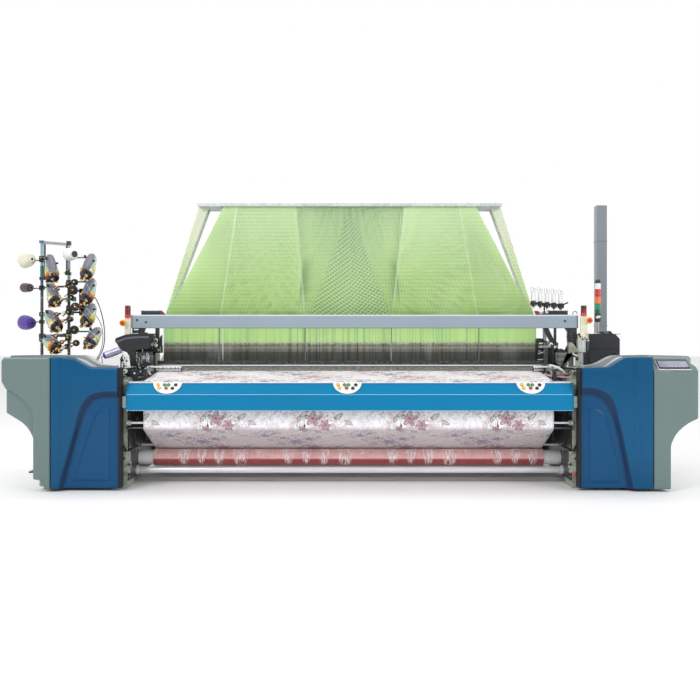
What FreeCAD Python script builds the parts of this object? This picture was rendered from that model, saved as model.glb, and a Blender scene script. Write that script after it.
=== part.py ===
import FreeCAD, Part
import math
import os
from FreeCAD import Vector as V, Rotation, Placement

os.makedirs("parts", exist_ok=True)

# ---------------------------------------------------------------- dimensions
# Wide jacquard rapier loom, millimetres. X to the right of the weaver,
# Y to the back (warp side), Z up. The floor is z = 0.
XS = 177.4351                  # brings the overall box centre to x = 0

FRAME_IN = 1800.0           # inner face of each side frame
FRAME_OUT = 1870.0          # outer face of each side frame
FRAME_TOP = 880.0
FOOT_X = 1900.0             # anchor hole, left and right
FOOT_Y = 800.0              # anchor hole, front and back
ANCHOR_R = 9.0
FIT = 0.08                  # radial running clearance of every shaft

COVER_Y = -1050.0           # front plane of the end covers
COVER_BACK = -930.0
HOUSE_TALL_BACK = -820.0
HOUSE_LOW_BACK = -120.0
COVER_IN = 1825.0
COVER_SEAM_L = 2365.0
COVER_SEAM_R = 2398.0
COVER_OUT = 2755.0
COVER_WALL = 5.0
HOUSE_LOW_TOP = 962.0

SLOPE_TOP = (-930.0, 857.0)     # front cover, upper edge (y, z)
SLOPE_BOT = (-990.0, 764.0)     # front cover, fold
FACE_BOT = (-990.0, 637.0)      # front cover, lower edge
FRONT_HALF_TOP = 1760.0
FRONT_HALF_BOT = 1784.0

CLOTH_L, CLOTH_R = -1665.0, 1645.0
CLOTH_T = 2.0
FELL = (-356.0, 930.0)
BREAST = (-880.0, 848.0, 19.0)      # breast bar y, z, radius
TAKEUP = (-825.0, 700.0, 73.0)
ROLL = (-490.0, 200.0, 72.0)
ROCKER = (-150.0, 420.0, 40.0)
WARP_BEAM = (650.0, 470.0, 400.0, 300.0)
BACKREST = (800.0, 980.0, 60.0)
FLY = (150.0, 620.0, 200.0)
TUBE = (-600.0, 108.0, 27.0)

WHEEL_X, WHEEL_Z, WHEEL_R = 2190.0, 645.0, 290.0
WHEEL_Y0, WHEEL_Y1 = -245.0, -215.0
HEAD_Y, HEAD_Z0, HEAD_Z1 = -230.0, 920.0, 948.0

RAIL = (-1960.0, 2046.0, -130.0, -70.0, 1306.0, 1425.0)
BOARD_Z0, BOARD_Z1 = 1355.0, 1365.0
TOP_Z0, TOP_Z1 = 2425.0, 2440.0
HARNESS_HALF_BOT, HARNESS_HALF_TOP = 1700.0, 1152.0
POST = (2458.0, 2558.0, 700.0, 800.0, 2540.0)

PALETTE_X = (-1460.0, -20.0, 1450.0)
PALETTE_A, PALETTE_B, PALETTE_T = 115.0, 104.0, 10.0
BUTTON_R = 11.0
BUTTONS = [(-74, 25), (-62, 56), (-22, 26), (10, 26), (-6, 57), (68, 27), (44, 58)]

STAND_Y = 180.0
STAND_X = (-2874.0, -2622.0)
STAND_TOP = 2124.0


# ---------------------------------------------------------------- helpers
def box(x0, x1, y0, y1, z0, z1):
    return Part.makeBox(x1 - x0, y1 - y0, z1 - z0, V(x0, y0, z0))


def cyl(axis, a, b, r, s0, s1):
    """Cylinder along axis; a, b are the two other coordinates in X, Y, Z order."""
    if axis == "x":
        return Part.makeCylinder(r, s1 - s0, V(s0, a, b), V(1, 0, 0))
    if axis == "y":
        return Part.makeCylinder(r, s1 - s0, V(a, s0, b), V(0, 1, 0))
    return Part.makeCylinder(r, s1 - s0, V(a, b, s0), V(0, 0, 1))


def rod(p, q, r):
    p, q = V(*p), V(*q)
    d = q - p
    return Part.makeCylinder(r, d.Length, p, d)


def cone(p, q, r0, r1):
    p, q = V(*p), V(*q)
    d = q - p
    return Part.makeCone(r0, r1, d.Length, p, d)


def bar(p, q, w, h):
    """Rectangular bar from p to q; w across (horizontal), h the other way."""
    p, q = V(*p), V(*q)
    d = q - p
    b = Part.makeBox(w, h, d.Length, V(-w / 2, -h / 2, 0))
    b.Placement = Placement(p, Rotation(V(0, 0, 1), d))
    return b


def face_of(pts):
    pts = [V(*p) for p in pts]
    return Part.Face(Part.makePolygon(pts + [pts[0]]))


def prism_xz(pts, y0, y1):
    return face_of([(x, y0, z) for x, z in pts]).extrude(V(0, y1 - y0, 0))


def prism_yz(pts, x0, x1):
    return face_of([(x0, y, z) for y, z in pts]).extrude(V(x1 - x0, 0, 0))


def prism_xy(pts, z0, z1):
    return face_of([(x, y, z0) for x, y in pts]).extrude(V(0, 0, z1 - z0))


def inset_xz(pts, t, y0, y1):
    f = face_of([(x, y0, z) for x, z in pts]).makeOffset2D(-t, join=2)
    return f.extrude(V(0, y1 - y0, 0))


def fuse(shapes):
    out = shapes[0]
    for s in shapes[1:]:
        out = out.fuse(s)
    return out.removeSplitter()


def mirror(s):
    return s.mirror(V(0, 0, 0), V(1, 0, 0))


def mirror_pts(pts):
    return [(-x, z) for x, z in pts]


def s_curve(x0, z0, x1, z1, n=10):
    out = []
    for i in range(1, n):
        t = i / n
        out.append((x0 + (x1 - x0) * t, z0 + (z1 - z0) * (3 * t * t - 2 * t ** 3)))
    return out


def fillet_edges(s, r, pick):
    edges = [e for e in s.Edges if pick(e)]
    return s.makeFillet(r, edges)


NODES = []


def export(name, *solids):
    out = []
    for s in solids:
        for q in (s.Solids if s.Solids else [s]):
            q = q.copy()
            q.translate(V(XS, 0, 0))
            if not q.isValid():
                print("INVALID", name)
            out.append(q)
    shape = out[0] if len(out) == 1 else Part.makeCompound(out)
    shape.exportStep("parts/%s.step" % name)
    NODES.append(name)
    b = shape.BoundBox
    print("%-22s %2d solids  x %7.0f %7.0f  y %6.0f %6.0f  z %6.0f %6.0f  vol %.4f m3" % (
        name, len(out), b.XMin, b.XMax, b.YMin, b.YMax, b.ZMin, b.ZMax,
        sum(q.Volume for q in out) / 1e9))


# ---------------------------------------------------------------- side frames
# Cast side frame: a ribbed plate with windows, two feet, a raised seat for
# the harness and a raised bracket for the back rest.
FRAME_PTS = [(-880, 60), (-880, 0), (-660, 0), (-640, 70), (640, 70), (660, 0), (900, 0),
             (900, 60), (870, 640), (880, 1010), (850, 1050), (750, 1050), (720, 1000),
             (640, 930), (330, 930), (290, 1180), (-70, 1180), (-95, 960), (-120, 880),
             (-840, 880), (-880, 840)]
WINDOWS = [[(-600, 330), (-250, 330), (-250, 560), (-330, 640), (-600, 640)],
           [(-40, 160), (420, 160), (250, 300), (-40, 300)],
           [(-20, 500), (60, 500), (60, 880), (-20, 880)]]


def side_frame():
    plate = prism_yz(FRAME_PTS, -FRAME_OUT, -FRAME_IN)
    for w in WINDOWS:
        plate = plate.cut(prism_yz(w, -FRAME_OUT - 1, -FRAME_IN + 1))
    # weight-saving pockets from the outside
    for y0, y1, z0, z1 in ((-600, -420, 690, 840), (-380, -180, 690, 840),
                           (-60, 260, 960, 1130), (740, 840, 150, 330)):
        plate = plate.cut(box(-FRAME_OUT - 1, -FRAME_OUT + 40, y0, y1, z0, z1))
    # foot flanges outside the plate, with the anchor holes
    feet = [box(-1930, -FRAME_OUT + 2, -870, -700, 0, 22),
            box(-1930, -FRAME_OUT + 2, 700, 870, 0, 22)]
    # arms that carry the end covers, and the bracket of the front cover
    arms = [box(-2420, -FRAME_OUT + 2, -925, -885, 150, 190),
            box(-2420, -FRAME_OUT + 2, -925, -885, 900, 940),
            box(-1900, -FRAME_OUT + 2, -925, -860, 150, 190),
            box(-1900, -FRAME_OUT + 2, -925, -860, 860, 940),
            box(-1900, -FRAME_OUT + 2, -860, -780, 830, 870),
            box(-1812, -1772, -985, -860, 660, 750)]
    # lug that carries the post of the top rail
    lug = [box(-1866, -1706, -130, -60, 1130, 1150),
           box(-1815, -1799, -130, -60, 1080, 1180)]
    f = fuse([plate] + feet + arms + lug)
    for yy in (-FOOT_Y, FOOT_Y):
        f = f.cut(cyl("z", -FOOT_X, yy, ANCHOR_R, -1, 40))
    for yy, zz, r in ((ROCKER[0], ROCKER[1], 30.0), (ROLL[0], ROLL[1], 20.0),
                      (TAKEUP[0], TAKEUP[1], 22.0), (WARP_BEAM[0], WARP_BEAM[1], 35.0),
                      (BACKREST[0], BACKREST[1], 20.0)):
        f = f.cut(cyl("x", yy, zz, r + FIT, -FRAME_OUT - 2, -FRAME_IN + 2))
    return f


lf = side_frame()
rf = mirror(lf)
# the flywheel shaft runs in the left frame
lf = lf.cut(cyl("x", FLY[0], FLY[1], 25.0 + FIT, -FRAME_OUT - 2, -FRAME_IN + 2))
# right frame: cloth roll release lever and a black lower cheek plate
cheek = box(1875, 1902, -880, -700, 60, 260)
lever = bar((1862, -893, 300), (1815, -905, 130), 22, 34)
rf = fuse([rf, box(1868, 1878, -870, -720, 70, 250), cheek, lever, box(1840, 1868, -900, -876, 270, 310)])
export("left_side_frame", lf)
export("right_side_frame", rf)

# ---------------------------------------------------------------- cross members
low_beam = box(-FRAME_IN, FRAME_IN, 40, 170, 240, 360).cut(box(-FRAME_IN - 1, FRAME_IN + 1, 48, 162, 248, 352))
rear_beam = box(-FRAME_IN, FRAME_IN, 300, 380, 830, 905).cut(box(-FRAME_IN - 1, FRAME_IN + 1, 306, 374, 836, 899))
silver = cyl("x", TUBE[0], TUBE[1], TUBE[2], -FRAME_IN, FRAME_IN).cut(cyl("x", TUBE[0], TUBE[1], TUBE[2] - 4, -FRAME_IN - 1, FRAME_IN + 1))
guide_hi = cyl("x", -888, 531, 8.5, -FRAME_IN, FRAME_IN)
guide_lo = cyl("x", -513, 310, 8, -FRAME_IN, FRAME_IN)
anchor_bar = box(-1700, 1700, 15, 205, 362, 384)
anchor_feet = [box(x - 30, x + 30, 60, 150, 358, 364) for x in (-1500, -500, 500, 1500)]
anchor = fuse([anchor_bar] + anchor_feet)
anchor = anchor.cut(box(-FRAME_IN - 1, FRAME_IN + 1, 40, 170, 240, 360))
export("cross_beams", low_beam, rear_beam, silver, guide_hi, guide_lo, anchor)

# ---------------------------------------------------------------- end covers
BLUE_R = [(COVER_IN, 20), (COVER_IN, 980), (2025, 984)] + s_curve(2025, 984, 2200, 1062) + \
         [(2200, 1062), (COVER_SEAM_R, 1066), (COVER_SEAM_R, 20)]
BLUE_L = mirror_pts([(COVER_IN, 20), (COVER_IN, 980), (2032, 984)] + s_curve(2032, 984, 2236, 1062) +
                    [(2236, 1062), (COVER_SEAM_L, 1066), (COVER_SEAM_L, 20)])


def tray(layers, t=COVER_WALL):
    """Moulded tray: each layer is (outline, front y, back y); walls t thick, open at the back."""
    outer = fuse([prism_xz(p, y0, y1) for p, y0, y1 in layers])
    inner = fuse([inset_xz(p, t, y0 + t, y1 + 2) for p, y0, y1 in layers])
    return outer.cut(inner)


export("left_blue_cover", tray([(BLUE_L, COVER_Y, COVER_BACK)]))
export("right_blue_cover", tray([(BLUE_R, COVER_Y, COVER_BACK)]))

G = COVER_SEAM_R + 3.0
GREY_R = [(G, 20), (G, 1040), (2700, 1040), (COVER_OUT, 985), (COVER_OUT, 580), (2683, 545),
          (2640, 514), (2604, 482), (2577, 448), (2557, 411), (2544, 380), (2539, 350), (2539, 20)]


def top_cut(d):
    return prism_yz([(COVER_Y - 5 + d, 20 - 20 + 0), (COVER_Y - 5 + d, 952 - d * 1.2 - 3.8),
                     (-950, 1028 - d * 1.25), (COVER_BACK + 5, 1043.2 - d * 1.25), (COVER_BACK + 5, 0)],
                    2300, 2800)


grey_r_out = prism_xz(GREY_R, COVER_Y, COVER_BACK).common(top_cut(0))
grey_r_in = inset_xz(GREY_R, COVER_WALL, COVER_Y + COVER_WALL, COVER_BACK + 2).common(top_cut(COVER_WALL))
grey_r = grey_r_out.cut(grey_r_in)

HOUSE_R = [(1885, 24), (1885, 990), (1935, 996)] + s_curve(1935, 996, 2150, 1074) + \
          [(2150, 1074), (2385, 1078), (2715, 1070), (2738, 1046), (2738, 592), (2670, 556),
           (2625, 520), (2590, 487), (2563, 452), (2543, 414), (2530, 382), (2525, 350), (2525, 24)]
HOUSE_L = mirror_pts([(1885, 24), (1885, 990), (1975, 996)] + s_curve(1975, 996, 2160, 1074) +
                     [(2160, 1074), (2385, 1078), (2715, 1074), (2738, 1050), (2738, 890),
                      (2706, 826), (2706, 640), (2610, 560), (2570, 530), (2550, 514), (2520, 470),
                      (2503, 435), (2492, 372), (2492, 100), (2440, 100), (2408, 44), (2300, 24)])


def tall_house(pts):
    outer = prism_xz(pts, COVER_BACK, HOUSE_TALL_BACK)
    inner = inset_xz(pts, 4.0, COVER_BACK - 1, HOUSE_TALL_BACK - 4)
    # the back opens into the lower housing
    s = outer.cut(inner)
    return s


def low_house(sign):
    """Box behind the tall housing, of five flat panels, with the wheel's boss and spindle on its back panel."""
    x0, x1 = 1885.0, 2500.0
    y0, y1, z0, z1 = HOUSE_TALL_BACK, HOUSE_LOW_BACK, 24.0, HOUSE_LOW_TOP
    w = 4.0
    panels = [box(x1 - w, x1, y0, y1, z0, z1),
              box(x0, x1 - w, y1 - w, y1, z0, z1),
              box(x0, x1 - w, y0, y1 - w, z1 - w, z1),
              box(x0, x1 - w, y0, y1 - w, z0, z0 + w),
              cyl("y", WHEEL_X, WHEEL_Z, 45, WHEEL_Y1 + 30, y1 - w),
              cyl("y", WHEEL_X, WHEEL_Z, 18 - FIT, WHEEL_Y0 - 23, WHEEL_Y1 + 30)]
    return [s if sign > 0 else mirror(s) for s in panels]


def open_to_low(s, sign):
    c = box(1890, 2490, -830, -815, 34, 950)
    return s.cut(c if sign > 0 else mirror(c))


house_r = open_to_low(tall_house(HOUSE_R), 1)
house_l = open_to_low(tall_house(HOUSE_L), -1)
# arms of the side frame reach into the covers through the inner edge
arm_slots = fuse([box(-1910, -1860, -929, -816, 146, 194), box(-1910, -1860, -929, -816, 826, 944)])
house_l = house_l.cut(arm_slots)
house_r = house_r.cut(mirror(arm_slots)).cut(box(1860, 1910, -890, -816, 56, 264))
export("right_grey_cover", grey_r, house_r, *low_house(1))

G = COVER_SEAM_L + 3.0
GREY_L_FRONT = mirror_pts([(G, 20), (G, 1062), (2735, 1062), (COVER_OUT, 1035), (COVER_OUT, 872),
                           (2721, 813), (2665, 788), (2611, 750), (2570, 712), (2540, 679), (2518, 640),
                           (2508, 608), (2504, 560), (2504, 96), (2449, 96), (2418, 40), (2410, 20)])
GREY_L_BACK = mirror_pts([(G, 20), (G, 1062), (2721, 1058), (2721, 624), (2650, 580), (2600, 548),
                          (2563, 514), (2535, 475), (2516, 435), (2508, 404), (2504, 372), (2504, 96),
                          (2449, 96), (2418, 40), (2410, 20)])
# rubber glands where the feeder cables go down into the left housing
glands = [cyl("z", -2255, -168, 10, HOUSE_LOW_TOP, 976), cyl("z", -2282, -148, 8, HOUSE_LOW_TOP, 976)]
export("left_grey_cover", tray([(GREY_L_FRONT, COVER_Y, COVER_BACK), (GREY_L_BACK, COVER_Y + 25, COVER_BACK)]),
       house_l, *low_house(-1), *glands)

# ---------------------------------------------------------------- control terminal
# A screen unit on the sloped top of the right grey cover
slope_len = math.hypot(100.0, 76.0)
slope_ang = math.degrees(math.atan2(76.0, 100.0))


def on_terminal(s):
    s = s.copy()
    s.Placement = Placement(V(0, -1050, 952), Rotation(V(1, 0, 0), slope_ang)).multiply(s.Placement)
    return s


term_body = Part.makeBox(258, 110, 14, V(2440, 14, 0.6))
term_body = fillet_edges(term_body, 6, lambda e: abs(e.tangentAt(e.FirstParameter).z) > 0.9)
term_body = term_body.cut(Part.makeBox(226, 84, 4, V(2456, 27, 12)))
screen = Part.makeBox(225.4, 83.4, 3, V(2456.3, 27.3, 12.0))
export("control_terminal", on_terminal(term_body), on_terminal(screen))

# ---------------------------------------------------------------- front cover
T = 4.0
# folded sheet: sloped face, upright face and a return along the bottom
cov = prism_yz([SLOPE_TOP, SLOPE_BOT, FACE_BOT, (-962, 637), (-962, 641), (-986, 641), (-986, 762.8),
                (-927, 854.3), (-912, 854.3), (-912, 857)], -FRONT_HALF_BOT, FRONT_HALF_BOT)
wedge = prism_xz([(-FRONT_HALF_BOT, 600), (-FRONT_HALF_BOT, 637), (-FRONT_HALF_TOP, 900), (-1900, 900), (-1900, 600)], -1100, -800)
cov = cov.cut(wedge).cut(mirror(wedge))
export("front_cover", cov)

SL = math.degrees(math.atan2(SLOPE_TOP[1] - SLOPE_BOT[1], SLOPE_TOP[0] - SLOPE_BOT[0]))


def on_slope(s, xc):
    s = s.copy()
    s.Placement = Placement(V(xc, SLOPE_TOP[0], SLOPE_TOP[1]), Rotation(V(1, 0, 0), SL)).multiply(s.Placement)
    return s


def half_oval(a, b, t):
    arc = Part.ArcOfEllipse(Part.Ellipse(V(0, 0, 0), a, b), math.pi, 2 * math.pi).toShape()
    line = Part.LineSegment(V(a, 0, 0), V(-a, 0, 0)).toShape()
    return Part.Face(Part.Wire([arc, line])).extrude(V(0, 0, t))


plates = []
for xc in PALETTE_X:
    p = half_oval(PALETTE_A, PALETTE_B, PALETTE_T)
    p = p.cut(Part.makeBox(300, 10, 30, V(-150, -3, -5)))
    for u, v in BUTTONS:
        p = p.cut(Part.makeCylinder(BUTTON_R + 0.4, 30, V(u, -v, -5)))
    plates.append(on_slope(p, xc))
export("button_plates", *plates)

for side, xc in zip(("left", "centre", "right"), PALETTE_X):
    for i, (u, v) in enumerate(BUTTONS):
        b = Part.makeCylinder(BUTTON_R, 12, V(u, -v, 5))
        b = fillet_edges(b, 1.5, lambda e: abs(e.BoundBox.ZMin - 17) < 0.1 and e.BoundBox.ZLength < 0.1)
        export("%s_button_%d" % (side, i + 1), on_slope(b, xc))

# ---------------------------------------------------------------- breast beam
beam = box(-FRAME_IN, FRAME_IN, -860, -700, 790, 848).cut(box(-FRAME_IN - 1, FRAME_IN + 1, -852, -708, 798, 840))
lip = prism_yz([(-862, 790), (-862, 846), (-858, 846), (-858, 790)], -FRAME_IN, FRAME_IN)
bar_cyl = cyl("x", BREAST[0], BREAST[1], BREAST[2], -FRAME_IN, FRAME_IN)
beam = fuse([beam, lip, bar_cyl])


def temple(x0, x1, xa):
    body = cyl("x", -400, 947, 17, x0, x1)
    cap = box(x0, x1, -425, -392, 951, 971)
    arm = box(xa - 15, xa + 15, -725, -390, 934, 960)
    post = box(xa - 15, xa + 15, -745, -715, 848, 960)
    return fuse([body, cap, arm, post])


export("breast_beam", beam, temple(-1705, -1457, -1690), temple(1590, 1744, 1690))

# ---------------------------------------------------------------- top rail
x0, x1, y0, y1, z0, z1 = RAIL
rail = box(x0, x1, y0, y1, z0, z1).cut(box(x0 + 4, x1 - 4, y0 + 4, y1 - 4, z0 + 4, z1 - 4))
post_l = box(-1748, -1716, -118, -82, 1150, 1306)
post_r = box(1834, 1857, -118, -102, 1150, 1306)
strut_r = prism_xz([(1744, 1306), (1790, 1306), (1850, 1180), (1806, 1180)], -100, -72)
cast_r = prism_xz([(1936, 1306), (2040, 1306), (2040, 1150), (2036, 1100), (1985, 1050), (1891, 1050),
                   (1891, 1085), (1935, 1110), (1962, 1160), (1955, 1230), (1958, 1272)], -120, -80)
cast_l = prism_xz([(-1955, 1306), (-1838, 1306), (-1852, 1262), (-1852, 1180), (-1872, 1150), (-1872, 1080), (-1895, 1080), (-1900, 1100), (-1900, 1262), (-1955, 1262)], -120, -80)
# channels on top of both ends that hold the lamp cables
chan_l = box(-1885, -1705, -60, -20, 1428, 1466)
chan_l2 = box(-1885, -1705, -75, -55, 1425, 1466)
chan_r = box(1790, 1970, -60, -20, 1428, 1466)
chan_r2 = box(1790, 1970, -75, -55, 1425, 1466)
# small rack of selvedge bobbins above the right end
rack = fuse([box(1630, 1925, -118, -98, 1522, 1538), box(1740, 1760, -118, -98, 1425, 1526)])
rack = rack.cut(fuse([chan_r, chan_r2]))
support_l = box(-1890, -1872, -120, -80, 1040, 1150)
support_r = box(1870, 1892, -120, -80, 1040, 1120)
export("top_rail", rail, post_l, post_r, strut_r, fuse([cast_r, support_r]),
       fuse([cast_l, support_l]), fuse([chan_l, chan_l2]), fuse([chan_r, chan_r2]), rack)

# ---------------------------------------------------------------- harness
comber = box(-1850, 1850, -20, 300, BOARD_Z0, BOARD_Z1)
legs = []
for sa, sb, ya, yb in ((-1770, -1742, -10, 30), (-1826, -1800, 240, 280), (1766, 1794, -10, 30), (1824, 1850, 240, 280)):
    legs += [box(sa, sb, ya, yb, 1180, BOARD_Z0), box(min(sa, 1800) if sa > 0 else min(sa, -1840), max(sb, 1840) if sa > 0 else sb, ya, yb, 1180, 1192)]
topb = box(-1390, 1390, -10, 300, TOP_Z0, TOP_Z1)
strutp = [(-1735, BOARD_Z1), (-1705, BOARD_Z1), (-1315, TOP_Z0), (-1345, TOP_Z0)]
strut1 = prism_xz(strutp, 255, 285)
export("harness_boards", fuse([comber] + legs), topb, strut1, mirror(strut1))

solids = []
for yy in (20, 80, 140, 200):
    solids.append(prism_xz([(-HARNESS_HALF_BOT, BOARD_Z1), (HARNESS_HALF_BOT, BOARD_Z1),
                            (HARNESS_HALF_TOP, TOP_Z0), (-HARNESS_HALF_TOP, TOP_Z0)], yy - 2, yy + 2))
    solids.append(box(-1700, 1700, yy - 1.5, yy + 1.5, 384, BOARD_Z0))
for yy in (50, 170):
    st = prism_xz([(-1705, BOARD_Z1), (-1680, BOARD_Z1), (-1283, TOP_Z0), (-1375, TOP_Z0)], yy - 2, yy + 2)
    solids += [st, mirror(st)]
export("harness", *solids)

# ---------------------------------------------------------------- cloth and warp
yb, zb, rb = BREAST
gap = 1.0


def ribbon(path, t, x0, x1):
    """Sheet of thickness t along a yz path, growing to the path's left side."""
    n = len(path)
    left = []
    for i in range(n):
        if i == 0:
            d = (path[1][0] - path[0][0], path[1][1] - path[0][1])
            m = 1.0
        elif i == n - 1:
            d = (path[-1][0] - path[-2][0], path[-1][1] - path[-2][1])
            m = 1.0
        else:
            a = (path[i][0] - path[i - 1][0], path[i][1] - path[i - 1][1])
            b = (path[i + 1][0] - path[i][0], path[i + 1][1] - path[i][1])
            la, lb = math.hypot(*a), math.hypot(*b)
            d = (a[0] / la + b[0] / lb, a[1] / la + b[1] / lb)
            m = 1.0 / max(0.3, math.hypot(*d) / 2)
        ld = math.hypot(*d)
        left.append((path[i][0] - d[1] / ld * t * m, path[i][1] + d[0] / ld * t * m))
    return prism_yz(path + left[::-1], x0, x1)


def arc_pts(yc, zc, r, a0, a1, n):
    return [(yc + r * math.cos(math.radians(a0 + (a1 - a0) * i / n)),
             zc + r * math.sin(math.radians(a0 + (a1 - a0) * i / n))) for i in range(n + 1)]


# travel direction is towards the front, so the outside is on the right:
# the path below is the inner face, walked from the roll back to the fell
cl = []
nrm = (0.4284, 0.9036)
tang = (ROLL[0] + nrm[0] * (ROLL[2] + CLOTH_T + 1.5), ROLL[1] + nrm[1] * (ROLL[2] + CLOTH_T + 1.5))
cl.append(tang)
cl.append((-899.6, 474.0 + 6))
cl += arc_pts(yb, zb, rb + gap, 180, 96, 8)
cl.append(FELL)
# walking from the roll to the fell keeps the free side on the left
cloth = ribbon(cl, CLOTH_T, CLOTH_L, CLOTH_R)
export("cloth_web", cloth)

wb = []
bz = BACKREST
# lower run: from the yarn on the beam up to the back rest, then forward
yarn = WARP_BEAM[3] + 1.0
dy, dz = bz[0] - WARP_BEAM[0], bz[1] - WARP_BEAM[1]
tan_a = math.degrees(math.atan2(dz, dy) - math.acos((yarn - bz[2] - gap) / math.hypot(dy, dz)))
wb += arc_pts(WARP_BEAM[0], WARP_BEAM[1], yarn, tan_a - 30, tan_a, 5)
wb += arc_pts(bz[0], bz[1], bz[2] + gap, tan_a, 93, 8)
wb.append((205.0, 947.0))
warp = ribbon(wb[::-1], 1.6, -1650.0, 1650.0)
export("warp_sheet", warp)

# ---------------------------------------------------------------- rollers and beams
roll = fuse([cyl("x", ROLL[0], ROLL[1], ROLL[2], CLOTH_L, CLOTH_R),
             cyl("x", ROLL[0], ROLL[1], 60, -1795, 1795),
             cyl("x", ROLL[0], ROLL[1], 20, -1865, 1865)])
export("cloth_roll", roll)


def tube_roller(y, z, r, half, wall, journal):
    """Steel tube with end discs, journals and a vent hole in each disc."""
    t = cyl("x", y, z, r, -half, half).cut(cyl("x", y, z, r - wall, -half + 15, half - 15))
    t = t.cut(cyl("x", y + (r - wall) * 0.6, z, 5, -half - 1, half + 1))
    return fuse([t, cyl("x", y, z, journal, -1865, -half + 5), cyl("x", y, z, journal, half - 5, 1865)])


export("take_up_roller", tube_roller(TAKEUP[0], TAKEUP[1], TAKEUP[2] - 0.4, 1690, 12, 22))
wy, wz, wf, wr = WARP_BEAM
beam_s = fuse([cyl("x", wy, wz, wr, -1680, 1680), cyl("x", wy, wz, 35, -1865, 1865),
               cyl("x", wy, wz, wf, -1705, -1685), cyl("x", wy, wz, wf, 1685, 1705),
               cyl("x", wy, wz, 90, -1790, 1790)])
for k in range(6):
    a = math.radians(60 * k + 15)
    for sx in (-1, 1):
        hole = cyl("x", wy + 365 * math.cos(a), wz + 365 * math.sin(a), 30, 1680 if sx > 0 else -1710, 1710 if sx > 0 else -1680)
        beam_s = beam_s.cut(hole)
export("warp_beam", beam_s)
export("back_rest", tube_roller(bz[0], bz[1], bz[2], 1780, 10, 20))

fy, fz, fr = FLY
fly = fuse([cyl("x", fy, fz, fr, -1960, -1905), cyl("x", fy, fz, 45, -1975, -1885), cyl("x", fy, fz, 25, -2050, -1805)])
fly = fly.cut(cyl("x", fy, fz, fr - 28, -1961, -1945).cut(cyl("x", fy, fz, 60, -1962, -1944)))
export("flywheel", fly)

mot = fuse([cyl("x", fy, fz, 105, -2330, -2000), cyl("x", fy, fz, 112, -2020, -2000),
            box(-2300, -2030, fy - 95, fy + 95, 405, 530), box(-2320, -1870, fy - 105, fy + 105, 378, 408),
            box(-2240, -2120, fy - 60, fy + 60, 700, 770)])
mot = mot.cut(cyl("x", fy, fz, 25 + FIT, -2052, -1990))
export("drive_motor", mot)

# ---------------------------------------------------------------- sley and reed
ry, rz, rr = ROCKER
parts = [cyl("x", ry, rz, rr, -1785, 1785), cyl("x", ry, rz, 30, -1865, 1865)]
for x in (-1500, -750, 0, 750, 1500):
    parts.append(prism_yz([(ry - 45, rz), (ry + 45, rz), (ry + 30, 862), (ry - 30, 862)], x - 13, x + 13))
sley_beam = prism_yz([(-187, 852), (-123, 852), (-123, 900), (-180, 900), (-255, 908), (-255, 903), (-187, 888)], -1745, 1745)
parts.append(sley_beam)
sley = fuse(parts)
groove = box(-1712, 1712, -196.2, -183.8, 892, 930)
sley = sley.cut(groove)
export("sley", sley)
blade = box(-1706, 1706, -194, -186, 892, 990)
cap = box(-1710, 1710, -200, -180, 986, 1016)
export("reed", fuse([blade, cap]))

# ---------------------------------------------------------------- rapiers
wheel = cyl("y", -WHEEL_X, WHEEL_Z, WHEEL_R, WHEEL_Y0, WHEEL_Y1)
wheel = wheel.cut(cyl("y", -WHEEL_X, WHEEL_Z, WHEEL_R - 22, WHEEL_Y0 - 1, WHEEL_Y1 + 1).cut(
    cyl("y", -WHEEL_X, WHEEL_Z, 60, WHEEL_Y0 - 2, WHEEL_Y1 + 2)))
spokes = []
for k in range(5):
    a = math.radians(72 * k + 18)
    sp = box(50, WHEEL_R - 15, -12, 12, -22, 22)
    sp.Placement = Placement(V(-WHEEL_X, (WHEEL_Y0 + WHEEL_Y1) / 2, WHEEL_Z), Rotation(V(0, 1, 0), math.degrees(a)))
    spokes.append(sp)
wheel = fuse([wheel] + spokes + [cyl("y", -WHEEL_X, WHEEL_Z, 30, WHEEL_Y0 - 20, WHEEL_Y1 + 20)])
wheel = wheel.cut(cyl("y", -WHEEL_X, WHEEL_Z, 18, WHEEL_Y0 - 60, WHEEL_Y1 + 60))
export("rapier_wheel_left", wheel)
export("rapier_wheel_right", mirror(wheel))
head = prism_xz([(-2020, 924), (-1840, 924), (-1790, 930), (-1780, 936), (-1790, 944), (-1850, 948), (-2020, 948)], -246, -214)
tape = box(-2185, -2015, -242, -218, 936.5, 939.5)
rap = fuse([head, tape])
export("giver_rapier", rap)
export("taker_rapier", mirror(rap))

# ---------------------------------------------------------------- lights and stops
def mast(x, y, zp0, zp1, zl0, zl1, zstop, side):
    pole = cyl("z", x, y, 13, zp0, zp1)
    lamp = cyl("z", x, y, 24, zl0, zl1)
    arm = box(min(x, x + side * 30), max(x, x + side * 30), y - 38, y - 8, zstop - 22, zstop + 22)
    disc = cyl("y", x + side * 20, zstop, 30, y - 46, y - 38)
    return fuse([pole, lamp, arm, disc])


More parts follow.
